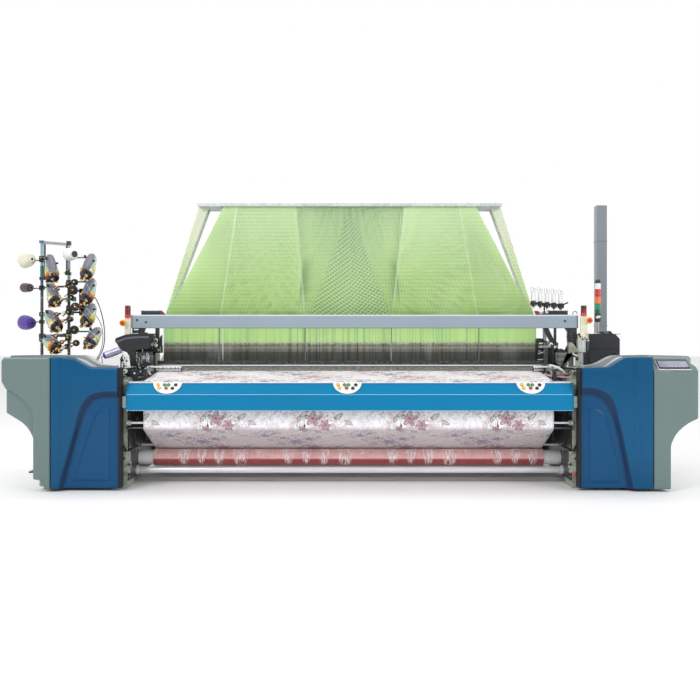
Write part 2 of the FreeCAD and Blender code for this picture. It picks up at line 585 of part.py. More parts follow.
LMX, LMY = -2000.0, -150.0
RMX, RMY = 2113.0, -150.0
mast_l = fuse([mast(LMX, LMY, 1236, 1400, 1399, 1509, 1352, -1),
               box(LMX - 14, LMX + 60, LMY - 14, LMY + 74, 1222, 1238)])
mast_l = fuse([mast_l, box(-1960, -1940, -130, -80, 1222, 1262)])
mast_r = fuse([mast(RMX, RMY, 1186, 1417, 1416, 1509, 1375, 1),
               box(2034, 2106, RMY - 35, -120, 1090, 1200),
               box(2034, 2136, RMY - 30, -120, 1186, 1200),
               box(2040, 2060, -130, -104, 1120, 1180)])
TX, TY = 2318.0, 190.0
tower = fuse([cyl("z", TX, TY, 11, 1250, 1372), cyl("z", TX, TY, 28, 1368, 1737), cyl("z", TX, TY, 22, 1735, 1764),
              cyl("z", TX, TY, 32, 1250, 1262)])
export("signal_lights", mast_l, mast_r, tower)
for nm, x, zz, y, sd in (("left_stop_button", LMX, 1352, LMY, -1), ("right_stop_button", RMX, 1375, RMY, 1)):
    b = cyl("y", x + sd * 20, zz, 20, y - 68, y - 54)
    b = fillet_edges(b, 4, lambda e: abs(e.BoundBox.YMin - (y - 68)) < 0.1 and e.BoundBox.YLength < 0.1)
    export(nm, b)

# ---------------------------------------------------------------- control cabinet and post
cab = prism_xz([(2108, 60), (2108, 1238), (2120, 1250), (2395, 1250), (2432, 1210), (2432, 60)], -100, 450)
cab = cab.cut(prism_xz([(2112, 64), (2112, 1236), (2122, 1246), (2393, 1246), (2428, 1208), (2428, 64)], -96, 446))
frame_rec = box(2150, 2390, -100, -97, 300, 1120)
cab = cab.cut(frame_rec)
cfeet = [box(xa, xa + 50, ya, ya + 60, 0, 60) for xa in (2115, 2375) for ya in (-90, 380)]
export("control_cabinet", fuse([cab] + cfeet))
px0, px1, py0, py1, ptop = POST
post = box(px0, px1, py0, py1, 14, ptop).cut(box(px0 + 5, px1 - 5, py0 + 5, py1 - 5, 20, ptop - 5))
base = box(px0 - 60, px1 + 60, py0 - 60, py1 + 60, 0, 14)
export("upright_post", fuse([post, base]))

# ---------------------------------------------------------------- weft feeders and their stand
# each feeder points at the weft entry: front (x, y, z) and the way from its front to its back
FEED_LEN = 275.0
FEED = [((-2700, -24, 1754), (-88, 154, 210)), ((-2663, -70, 1536), (-110, 200, 153)),
        ((-2648, -60, 1312), (-152, 190, 128)), ((-2650, -70, 1120), (-170, 200, 83)),
        ((-2384, -75, 1783), (0, 205, 183)), ((-2384, -75, 1558), (0, 205, 183)),
        ((-2374, -102, 1355), (-10, 232, 147)), ((-2342, -118, 1160), (10, 248, 119))]
FEED_R = 46.0


def feeder(front, way):
    p, d = V(*front), V(*way)
    d.normalize()
    drum = Part.makeCylinder(FEED_R, 75, p, d)
    body = Part.makeCone(FEED_R, 32, FEED_LEN - 75, p + d * 75, d)
    return fuse([drum, body])


feeders = [feeder(f, w) for f, w in FEED]
export("weft_feeders", *feeders)

posts = [cyl("z", xx, STAND_Y, 14, 12, STAND_TOP) for xx in STAND_X]
base = fuse([box(STAND_X[0] - 60, STAND_X[1] + 60, STAND_Y - 20, STAND_Y + 20, 0, 12)] +
            [box(xx - 25, xx + 25, STAND_Y - 260, STAND_Y + 260, 0, 12) for xx in STAND_X])
st = [box(STAND_X[0], STAND_X[1], STAND_Y - 6, STAND_Y + 6, zz - 12, zz + 12) for zz in (400.0, 1240.0, 2090.0)]
# arms with clamps that hold the feeders
for i, (front, way) in enumerate(FEED):
    d = V(*way)
    d.normalize()
    e = V(*front) + d * (FEED_LEN - 0.5)
    xx = STAND_X[0] if i < 4 else STAND_X[1]
    st.append(fuse([box(xx - 20, xx + 20, STAND_Y - 20, STAND_Y + 20, e.z - 18, e.z + 18),
                    bar((xx, STAND_Y, e.z), (e.x, e.y + 2, e.z), 16, 16)]))
# supply box of the feeders, where the cables come out, and its two straps
supply = box(-2530, -2480, 188, 244, 1430, 1680)
for zz in (1450.0, 1650.0):
    st.append(box(-2622, -2530, 172, 200, zz, zz + 16))
# pins that hold the yarn cones
CREEL = [((-2914, 180, 1944), (-3107, 172, 1940), 62, 45),
         ((-2925, 180, 1683), (-3070, 172, 1692), 40, 26),
         ((-2905, 180, 1370), (-3068, 160, 1358), 66, 46),
         ((-2545, 150, 2010), (-2650, 40, 1990), 58, 40)]
for p, q, r0, r1 in CREEL[:3]:
    st.append(fuse([rod((STAND_X[0], STAND_Y, p[2]), (p[0] + 0.5, p[1], p[2]), 7),
                    box(STAND_X[0] - 20, STAND_X[0] + 20, STAND_Y - 20, STAND_Y + 20, p[2] - 18, p[2] + 18)]))
p = CREEL[3][0]
st.append(fuse([rod((STAND_X[1], STAND_Y, 2010), (p[0] - 0.3, p[1] + 4, p[2]), 7),
                box(STAND_X[1] - 20, STAND_X[1] + 20, STAND_Y - 20, STAND_Y + 20, 1992, 2028)]))
cones = []
for p, q, r0, r1 in CREEL:
    cones.append(cone(p, q, r1, r0))
hold = fuse(feeders + cones + posts)
parts = []
for s in st:
    # supports that meet on a post are one clamp
    for q in list(parts):
        if q.distToShape(s)[0] < 1e-6 and q.common(s).Volume > 1.0:
            parts.remove(q)
            s = fuse([q, s])
    parts.append(s)
parts = [q for s in parts for q in s.cut(hold).Solids]
export("feeder_stand", *(posts + [base, supply] + parts))
# selvedge bobbins on the rack above the right end of the top rail
for i in range(5):
    xx = 1652 + i * 61
    cones.append(cone((xx, -108, 1538), (xx, -108, 1650), 23, 15))
export("yarn_packages", *cones)

# ---------------------------------------------------------------- weft selector
# curved hood on the left, over the selector fingers, with its solenoid body
hood_out = [(-2057, 1193), (-2054, 1209), (-2016, 1226), (-1954, 1247), (-1858, 1256), (-1735, 1256), (-1727, 1248), (-1727, 1218),
            (-1739, 1200), (-1752, 1147), (-1761, 1123), (-1814, 1118), (-1884, 1108), (-1946, 1097), (-1981, 1099), (-2011, 1121), (-2038, 1156)]
hood = prism_xz(hood_out, -310, -180)
capsule = rod((-2180, -235, 1058), (-2018, -235, 1116), 34)
box_sel = box(-1996, -1880, -300, -180, 965, 1118)
cap_hood = fuse([hood, capsule, box_sel])
finger_box = box(-1878, -1765, -300, -255, 955, 1125).fuse(box(-1780, -1715, -300, -255, 955, 1100))
sel = fuse([cap_hood, finger_box])
base_sel = box(-2010, -1878, -300, -265, 870, 975)
base_arm = box(-1895, -1870, -300, -180, 820, 980)
sel = fuse([sel, base_arm, box(-1900, -1870, -300, -180, 880, 1000)])
# keep clear of the housing and of the rapier path
sel = sel.cut(fuse([box(-2600, -1885 + 0.0, -1000, -100, 0, 964), box(-2200, -1700, -262, -198, 900, 962)]))
export("weft_selector", *sel.Solids)

# ---------------------------------------------------------------- cables
def cord(name, pts, r):
    pts = [V(*p) for p in pts]
    segs = []
    n = len(pts)
    arcs = {}
    radii = []
    for i in range(1, n - 1):
        a, b, c = pts[i - 1], pts[i], pts[i + 1]
        u = (a - b)
        w = (c - b)
        la, lc = u.Length, w.Length
        u.normalize()
        w.normalize()
        turn = math.pi - u.getAngle(w)
        tl = 0.45 * min(la, lc)
        rad = tl / math.tan(turn / 2)
        radii.append(rad)
        p1 = b + u * tl
        p2 = b + w * tl
        bis = (u + w)
        bis.normalize()
        dist = rad / math.cos(turn / 2)
        mid = b + bis * (dist - rad)
        arcs[i] = (p1, mid, p2)
    cur = pts[0]
    length = 0.0
    for i in range(1, n - 1):
        p1, mid, p2 = arcs[i]
        if (p1 - cur).Length > 1e-6:
            segs.append(Part.LineSegment(cur, p1).toShape())
        segs.append(Part.Arc(p1, mid, p2).toShape())
        cur = p2
    segs.append(Part.LineSegment(cur, pts[-1]).toShape())
    length = sum(s.Length for s in segs)
    wire = Part.Wire(segs)
    d = pts[1] - pts[0]
    prof = Part.Wire([Part.makeCircle(r, pts[0], d)])
    tube = wire.makePipeShell([prof], True, False)
    tube = tube if tube.ShapeType == "Solid" else Part.Solid(tube)
    runs = [(pts[i + 1] - pts[i]).Length for i in range(n - 1)]
    print("cord %s length %.1f volume ratio %.4f runs %s radii %s" % (
        name, length, tube.Volume / (math.pi * r * r * length),
        " ".join("%.0f" % q for q in runs), " ".join("%.0f" % q for q in radii)))
    export(name, tube)


CABLE_A = [(-2480, 216, 1640), (-2434, 216, 1640), (-2392, 196, 1610), (-2356, 168, 1566), (-2324, 136, 1512),
           (-2296, 100, 1454), (-2270, 62, 1392), (-2248, 22, 1326), (-2230, -18, 1258), (-2220, -58, 1190),
           (-2222, -96, 1124), (-2236, -134, 1066), (-2255, -168, 1016), (-2255, -168, 976)]
CABLE_B = [(-2480, 216, 1470), (-2438, 216, 1470), (-2398, 196, 1450), (-2358, 168, 1418), (-2322, 134, 1376),
           (-2292, 96, 1328), (-2270, 56, 1272), (-2256, 14, 1214), (-2250, -28, 1154), (-2254, -70, 1096),
           (-2266, -112, 1044), (-2282, -148, 1006), (-2282, -148, 976)]
cord("feeder_cable", CABLE_A, 4.5)
cord("feeder_cable_thin", CABLE_B, 3.0)

print(len(NODES), "nodes")
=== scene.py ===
import bpy
import bmesh
import math
from mathutils import Vector, Matrix, noise


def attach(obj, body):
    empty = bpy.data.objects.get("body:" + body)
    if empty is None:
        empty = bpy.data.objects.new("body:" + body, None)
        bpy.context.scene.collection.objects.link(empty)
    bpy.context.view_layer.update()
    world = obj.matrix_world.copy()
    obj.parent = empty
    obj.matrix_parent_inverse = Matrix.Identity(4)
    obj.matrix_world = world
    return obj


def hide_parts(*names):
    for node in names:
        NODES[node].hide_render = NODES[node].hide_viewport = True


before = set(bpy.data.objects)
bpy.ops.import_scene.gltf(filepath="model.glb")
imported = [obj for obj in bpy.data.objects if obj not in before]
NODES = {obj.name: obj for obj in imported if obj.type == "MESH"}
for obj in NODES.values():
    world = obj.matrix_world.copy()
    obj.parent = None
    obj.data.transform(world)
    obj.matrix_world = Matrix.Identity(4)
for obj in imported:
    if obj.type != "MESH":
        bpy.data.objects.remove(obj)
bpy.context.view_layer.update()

XS = 0.1774351          # the design's x starts midway between the side frames

# ------------------------------------------------------------------ camera
cam_data = bpy.data.cameras.new("camera")
cam_data.sensor_width = 36.0
cam_data.lens = 850.0 * 36.0 / 700.0
cam_data.shift_x = 0.0003
cam_data.shift_y = -10.0 / 700.0
cam_data.clip_end = 200.0
cam = bpy.data.objects.new("camera", cam_data)
cam.location = (XS, -7.755, 1.20)
cam.rotation_euler = (math.radians(90), 0, 0)
bpy.context.scene.collection.objects.link(cam)
bpy.context.scene.camera = cam
bpy.context.scene.view_settings.view_transform = "Standard"


# ------------------------------------------------------------------ materials
def lin(r, g, b):
    out = []
    for c in (r, g, b):
        c = c / 255.0
        out.append(c / 12.92 if c <= 0.04045 else ((c + 0.055) / 1.055) ** 2.4)
    return tuple(out)


class Val:
    """A number socket that ordinary arithmetic builds on."""

    def __init__(self, nt, sock):
        self.nt, self.s = nt, sock

    def op(self, name, *others, clamp=False):
        n = self.nt.nodes.new("ShaderNodeMath")
        n.operation = name
        n.use_clamp = clamp
        self.nt.links.new(self.s, n.inputs[0])
        for i, o in enumerate(others):
            if isinstance(o, Val):
                self.nt.links.new(o.s, n.inputs[i + 1])
            else:
                n.inputs[i + 1].default_value = float(o)
        return Val(self.nt, n.outputs[0])

    def __add__(self, o): return self.op("ADD", o)
    def __radd__(self, o): return self.op("ADD", o)
    def __sub__(self, o): return self.op("SUBTRACT", o)
    def __mul__(self, o): return self.op("MULTIPLY", o)
    def __rmul__(self, o): return self.op("MULTIPLY", o)
    def __truediv__(self, o): return self.op("DIVIDE", o)
    def sin(self): return self.op("SINE")
    def cos(self): return self.op("COSINE")
    def abs(self): return self.op("ABSOLUTE")
    def sqrt(self): return self.op("SQRT")
    def wrap(self, a, b): return self.op("WRAP", b, a)
    def atan2(self, o): return self.op("ARCTAN2", o)
    def max(self, o): return self.op("MAXIMUM", o)
    def min(self, o): return self.op("MINIMUM", o)
    def floor(self): return self.op("FLOOR")

    def step(self, a, b, lo=0.0, hi=1.0):
        n = self.nt.nodes.new("ShaderNodeMapRange")
        n.interpolation_type = "SMOOTHSTEP"
        self.nt.links.new(self.s, n.inputs["Value"])
        for key, v in (("From Min", a), ("From Max", b), ("To Min", lo), ("To Max", hi)):
            if isinstance(v, Val):
                self.nt.links.new(v.s, n.inputs[key])
            else:
                n.inputs[key].default_value = v
        return Val(self.nt, n.outputs["Result"])


class Mat:
    """One procedural material, built on a Principled shader."""

    def __init__(self, name):
        self.m = bpy.data.materials.new(name)
        self.m.use_nodes = True
        self.nt = self.m.node_tree
        self.b = self.nt.nodes["Principled BSDF"]
        self._tc = None

    def node(self, kind, **props):
        n = self.nt.nodes.new(kind)
        for k, v in props.items():
            setattr(n, k, v)
        return n

    def link(self, a, b):
        self.nt.links.new(a.s if isinstance(a, Val) else a, b)

    def coord(self, stretch=None, out="Object"):
        if self._tc is None:
            self._tc = self.node("ShaderNodeTexCoord")
        if stretch is None:
            return self._tc.outputs[out]
        mp = self.node("ShaderNodeMapping")
        mp.inputs["Scale"].default_value = stretch
        self.link(self._tc.outputs[out], mp.inputs["Vector"])
        return mp.outputs["Vector"]

    def noise(self, scale, detail=4.0, rough=0.55, stretch=None, dist=0.0):
        n = self.node("ShaderNodeTexNoise")
        n.inputs["Scale"].default_value = scale
        n.inputs["Detail"].default_value = detail
        n.inputs["Roughness"].default_value = rough
        n.inputs["Distortion"].default_value = dist
        self.link(self.coord(stretch), n.inputs["Vector"])
        return Val(self.nt, n.outputs["Fac"])

    def mix(self, fac, a, b, mode="MIX"):
        n = self.node("ShaderNodeMix", data_type="RGBA", blend_type=mode)
        n.clamp_factor = True
        if isinstance(fac, Val):
            self.link(fac, n.inputs[0])
        else:
            n.inputs[0].default_value = fac
        for i, c in ((6, a), (7, b)):
            if isinstance(c, tuple):
                n.inputs[i].default_value = (*c[:3], 1.0)
            else:
                self.nt.links.new(c, n.inputs[i])
        return n.outputs[2]

    def bump(self, height, strength, dist=0.001, prev=None):
        n = self.node("ShaderNodeBump")
        n.inputs["Strength"].default_value = strength
        n.inputs["Distance"].default_value = dist
        self.link(height, n.inputs["Height"])
        if prev is not None:
            self.link(prev, n.inputs["Normal"])
        return n.outputs["Normal"]

    def xyz(self, sock=None):
        n = self.node("ShaderNodeSeparateXYZ")
        self.link(sock if sock is not None else self.coord(), n.inputs[0])
        return [Val(self.nt, n.outputs[i]) for i in range(3)]

    def set(self, **kw):
        for k, v in kw.items():
            key = {"rough": "Roughness", "metal": "Metallic", "coat": "Coat Weight", "coatr": "Coat Roughness",
                   "spec": "Specular IOR Level", "sheen": "Sheen Weight", "trans": "Transmission Weight",
                   "ior": "IOR", "alpha": "Alpha", "sub": "Subsurface Weight", "emit": "Emission Strength"}[k]
            s = self.b.inputs[key]
            if isinstance(v, Val):
                self.link(v, s)
            else:
                s.default_value = v
        return self

    def color(self, c):
        s = self.b.inputs["Base Color"]
        if isinstance(c, tuple):
            s.default_value = (*c[:3], 1.0)
        else:
            self.nt.links.new(c, s)
        return self

    def normal(self, n):
        self.nt.links.new(n, self.b.inputs["Normal"])
        return self


def shade(c, k):
    return tuple(min(1.0, v * k) for v in c)


def surf(name, rgb, rough=0.5, metal=0.0, var=0.10, vscale=3.0, bump=0.15, bscale=260.0, stretch=None,
         coat=0.0, spec=0.5, rvar=0.10, edge=0.0, edge_rgb=None, grime=0.0, sheen=0.0, bdist=0.0006):
    """Painted, cast, moulded or rolled surface: uneven colour, uneven gloss, a fine relief, and worn edges."""
    c = lin(*rgb)
    m = Mat(name)
    big = m.noise(vscale, 5.0, 0.6, stretch)
    col = m.mix(big.step(0.25, 0.75), shade(c, 1.0 - var), shade(c, 1.0 + var))
    fine = m.noise(bscale, 3.0, 0.55, stretch)
    if grime:
        g = m.noise(vscale * 4.0, 6.0, 0.7).step(0.55, 0.80)
        col = m.mix(g * grime, col, shade(c, 0.35))
    if edge:
        geo = m.node("ShaderNodeNewGeometry")
        e = Val(m.nt, geo.outputs["Pointiness"]).step(0.505, 0.56)
        wear = e * m.noise(40.0, 4.0).step(0.35, 0.7)
        col = m.mix(wear * edge, col, lin(*edge_rgb) if edge_rgb else shade(c, 1.9))
    m.color(col)
    m.set(rough=big * (rvar * 2.0) + (rough - rvar), metal=metal, spec=spec)
    if coat:
        m.set(coat=coat, coatr=0.06)
    if sheen:
        m.set(sheen=sheen)
    if bump:
        m.normal(m.bump(fine, bump, bdist))
    return m.m


M = {}


def cover_paint_and_shade():
    """Gloss blue, with painted shade: darker on the recess floor, in the sloped wall of the recess, round the inner
    panel and along the inner edge.
    """
    m = Mat("cover_blue")
    X, Y, Z = m.xyz(m.coord())
    big = m.noise(1.2, 4.0, 0.6)
    col = m.mix(big.step(0.25, 0.75), lin(2, 72, 112), lin(4, 82, 124))
    low = Z.step(0.815, 0.850, 1.0, 0.0)
    # painted shade on the floor of the recess
    recess_floor_shade = Y.step(-1.008, -1.004) * low
    col = m.mix(recess_floor_shade * 0.55, col, lin(8, 68, 114))
    # painted shade in the sloped wall of the recess
    wall = Y.step(-1.0425, -1.0385) * Y.step(-1.0075, -1.0037, 1.0, 0.0) * low
    col = m.mix(wall * 0.85, col, lin(18, 44, 78))
    # painted shade in the crease round the inner panel
    line = Y.step(-1.0028, -1.0014) * Y.step(-0.9990, -0.9978, 1.0, 0.0) * low
    col = m.mix(line * 0.4, col, lin(8, 50, 92))
    # painted shade along the rounded inner edge of the cover
    rim = (X - XS).abs().step(1.836, 1.842, 1.0, 0.0)
    col = m.mix(rim * 0.9, col, lin(30, 22, 34))
    m.color(col)
    m.set(rough=big * 0.08 + 0.24, spec=0.18, coat=0.12, coatr=0.06)
    m.normal(m.bump(m.noise(90.0, 3.0), 0.04, 0.0006))
    return m.m


M["cover_blue"] = cover_paint_and_shade()
M["front_blue"] = surf("front_blue", (0, 118, 164), 0.32, var=0.04, vscale=0.8, bump=0.03, bscale=120, coat=0.08, rvar=0.05, spec=0.16)
M["cover_grey"] = surf("cover_grey", (98, 118, 116), 0.36, var=0.04, vscale=1.5, bump=0.05, bscale=120, coat=0.25, rvar=0.05)
M["house_grey"] = surf("house_grey", (150, 158, 156), 0.30, var=0.08, vscale=3, bump=0.06, bscale=150, coat=0.2)
M["cast"] = surf("cast_frame", (142, 148, 136), 0.55, var=0.24, vscale=9, bump=0.35, bscale=180, edge=0.6, grime=0.55)
M["cast_dark"] = surf("cast_dark", (34, 36, 38), 0.5, var=0.2, vscale=6, bump=0.3, bscale=180, edge=0.4, edge_rgb=(120, 124, 126), grime=0.3)
M["black"] = surf("black_paint", (24, 25, 28), 0.36, var=0.2, vscale=6, bump=0.12, bscale=300, edge=0.35, edge_rgb=(90, 92, 96))
M["black_gloss"] = surf("black_gloss", (20, 22, 26), 0.16, var=0.1, vscale=3, bump=0.02, bscale=200, coat=0.8, rvar=0.04)
M["steel"] = surf("bare_steel", (176, 178, 180), 0.28, 1.0, var=0.12, vscale=7, bump=0.12, bscale=120, stretch=(1, 30, 30))
M["steel_v"] = surf("bright_steel", (196, 198, 202), 0.24, 1.0, var=0.15, vscale=9, bump=0.15, bscale=150, edge=0.2)
M["steel_dark"] = surf("dark_steel", (92, 94, 98), 0.36, 1.0, var=0.2, vscale=9, bump=0.2, bscale=180)
M["zinc"] = surf("zinc_bolt", (182, 184, 180), 0.34, 0.9, var=0.12, vscale=60, bump=0.1, bscale=600)
M["alu"] = surf("cast_aluminium", (168, 172, 172), 0.42, 0.75, var=0.14, vscale=12, bump=0.3, bscale=220, edge=0.3)
M["rail"] = surf("rail_paint", (150, 164, 176), 0.40, var=0.03, vscale=1.5, bump=0.02, bscale=240, coat=0.15)
M["cabinet"] = surf("cabinet_paint", (24, 28, 36), 0.42, var=0.06, vscale=2, bump=0.05, bscale=420)
M["post"] = surf("post_paint", (118, 128, 134), 0.38, var=0.05, vscale=2, bump=0.04, bscale=240, coat=0.15)
M["white"] = surf("white_plastic", (236, 236, 232), 0.34, var=0.03, vscale=5, bump=0.05, bscale=300, coat=0.15)
M["white_paint"] = surf("white_paint", (226, 228, 230), 0.3, var=0.06, vscale=5, bump=0.1, bscale=200, coat=0.3)
M["rubber"] = surf("black_rubber", (18, 18, 19), 0.62, var=0.15, vscale=20, bump=0.2, bscale=500, rvar=0.05)
M["grey_plastic"] = surf("grey_plastic", (96, 99, 108), 0.38, var=0.08, vscale=14, bump=0.15, bscale=700, coat=0.1)
M["green_plastic"] = surf("pale_green_plastic", (150, 186, 160), 0.34, var=0.07, vscale=14, bump=0.1, bscale=600, coat=0.2)
M["amber"] = surf("amber_plastic", (232, 160, 36), 0.22, var=0.12, vscale=30, bump=0.04, bscale=400, coat=0.5)
M["yellow"] = surf("yellow_plastic", (236, 204, 62), 0.28, var=0.10, vscale=25, bump=0.05, bscale=400, coat=0.3)
M["red"] = surf("red_plastic", (205, 24, 30), 0.22, var=0.10, vscale=20, bump=0.04, bscale=400, coat=0.5)
M["ceramic"] = surf("white_ceramic", (240, 238, 230), 0.12, var=0.03, vscale=40, bump=0.0, coat=0.6)
M["teal"] = surf("teal_paint", (58, 112, 122), 0.3, var=0.12, vscale=9, bump=0.1, bscale=300, coat=0.3)
M["teal_light"] = surf("pale_teal_tube", (150, 178, 184), 0.26, 0.5, var=0.12, vscale=14, bump=0.1, bscale=300)
M["motor"] = surf("motor_paint", (62, 86, 104), 0.42, var=0.12, vscale=6, bump=0.3, bscale=220, edge=0.3, grime=0.3)
M["sley_paint"] = surf("sley_paint", (112, 124, 120), 0.44, var=0.12, vscale=6, bump=0.25, bscale=220, edge=0.35, grime=0.3)
M["board"] = surf("board_paint", (186, 192, 192), 0.45, var=0.08, vscale=5, bump=0.15, bscale=260, edge=0.3)


def emissive(name, rgb, rough=0.18, glow=0.0):
    m = Mat(name)
    c = lin(*rgb)
    n = m.noise(30.0, 3.0)
    m.color(m.mix(n.step(0.3, 0.7), shade(c, 0.9), shade(c, 1.1)))
    m.set(rough=rough, coat=0.5, coatr=0.05)
    if glow:
        m.b.inputs["Emission Color"].default_value = (*c, 1)
        m.set(emit=glow)
    # ribs of the moulded lens
    w = m.node("ShaderNodeTexWave")
    w.inputs["Scale"].default_value = 60.0
    w.bands_direction = "Z"
    m.link(m.coord(), w.inputs["Vector"])
    m.normal(m.bump(w.outputs["Fac"], 0.25, 0.001))
    return m.m


M["lens_red"] = emissive("lens_red", (196, 20, 22), glow=0.12)
M["lens_darkred"] = emissive("lens_darkred", (110, 14, 18))
M["lens_orange"] = emissive("lens_orange", (226, 110, 46), glow=0.1)
M["lens_green"] = emissive("lens_green", (14, 138, 96), glow=0.1)
M["lens_darkgreen"] = emissive("lens_darkgreen", (10, 84, 66))
M["lens_white"] = emissive("lens_white", (226, 230, 232))


def cable_mat():
    m = Mat("cable_sheath")
    n = m.noise(200.0, 4.0)
    m.color(m.mix(n.step(0.3, 0.7), lin(14, 14, 16), lin(34, 34, 37)))
    m.set(rough=n * 0.2 + 0.45)
    w = m.node("ShaderNodeTexWave", bands_direction="DIAGONAL")
    w.inputs["Scale"].default_value = 140.0
    m.link(m.coord(), w.inputs["Vector"])
    m.normal(m.bump(w.outputs["Fac"], 0.15, 0.0004))
    return m.m


M["cable"] = cable_mat()

# ------------------------------------------------------------------ free cables, on their route from the supply box
CABLE_A = [(-2.480, 0.216, 1.640), (-2.434, 0.216, 1.640), (-2.392, 0.196, 1.610), (-2.356, 0.168, 1.566),
           (-2.324, 0.136, 1.512), (-2.296, 0.100, 1.454), (-2.270, 0.062, 1.392), (-2.248, 0.022, 1.326),
           (-2.230, -0.018, 1.258), (-2.220, -0.058, 1.190), (-2.222, -0.096, 1.124), (-2.236, -0.134, 1.066),
           (-2.255, -0.168, 1.016), (-2.255, -0.168, 0.976)]
CABLE_B = [(-2.480, 0.216, 1.470), (-2.438, 0.216, 1.470), (-2.398, 0.196, 1.450), (-2.358, 0.168, 1.418),
           (-2.322, 0.134, 1.376), (-2.292, 0.096, 1.328), (-2.270, 0.056, 1.272), (-2.256, 0.014, 1.214),
           (-2.250, -0.028, 1.154), (-2.254, -0.070, 1.096), (-2.266, -0.112, 1.044), (-2.282, -0.148, 1.006),
           (-2.282, -0.148, 0.976)]


def cable(name, node, pts, r):
    cu = bpy.data.curves.new(name, "CURVE")
    cu.dimensions = "3D"
    sp = cu.splines.new("NURBS")
    sp.points.add(len(pts) - 1)
    for p, q in zip(sp.points, pts):
        p.co = (q[0] + XS, q[1], q[2], 1.0)
    sp.order_u = 3
    sp.use_endpoint_u = True
    cu.bevel_depth = r
    cu.bevel_resolution = 4
    cu.resolution_u = 10
    cu.materials.append(M["cable"])
    ob = bpy.data.objects.new(name, cu)
    bpy.context.scene.collection.objects.link(ob)
    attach(ob, "frame")
    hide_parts(node)
    return ob


cable("feeder_cable_run", "feeder_cable", CABLE_A, 0.0045)
cable("feeder_cable_thin_run", "feeder_cable_thin", CABLE_B, 0.0030)


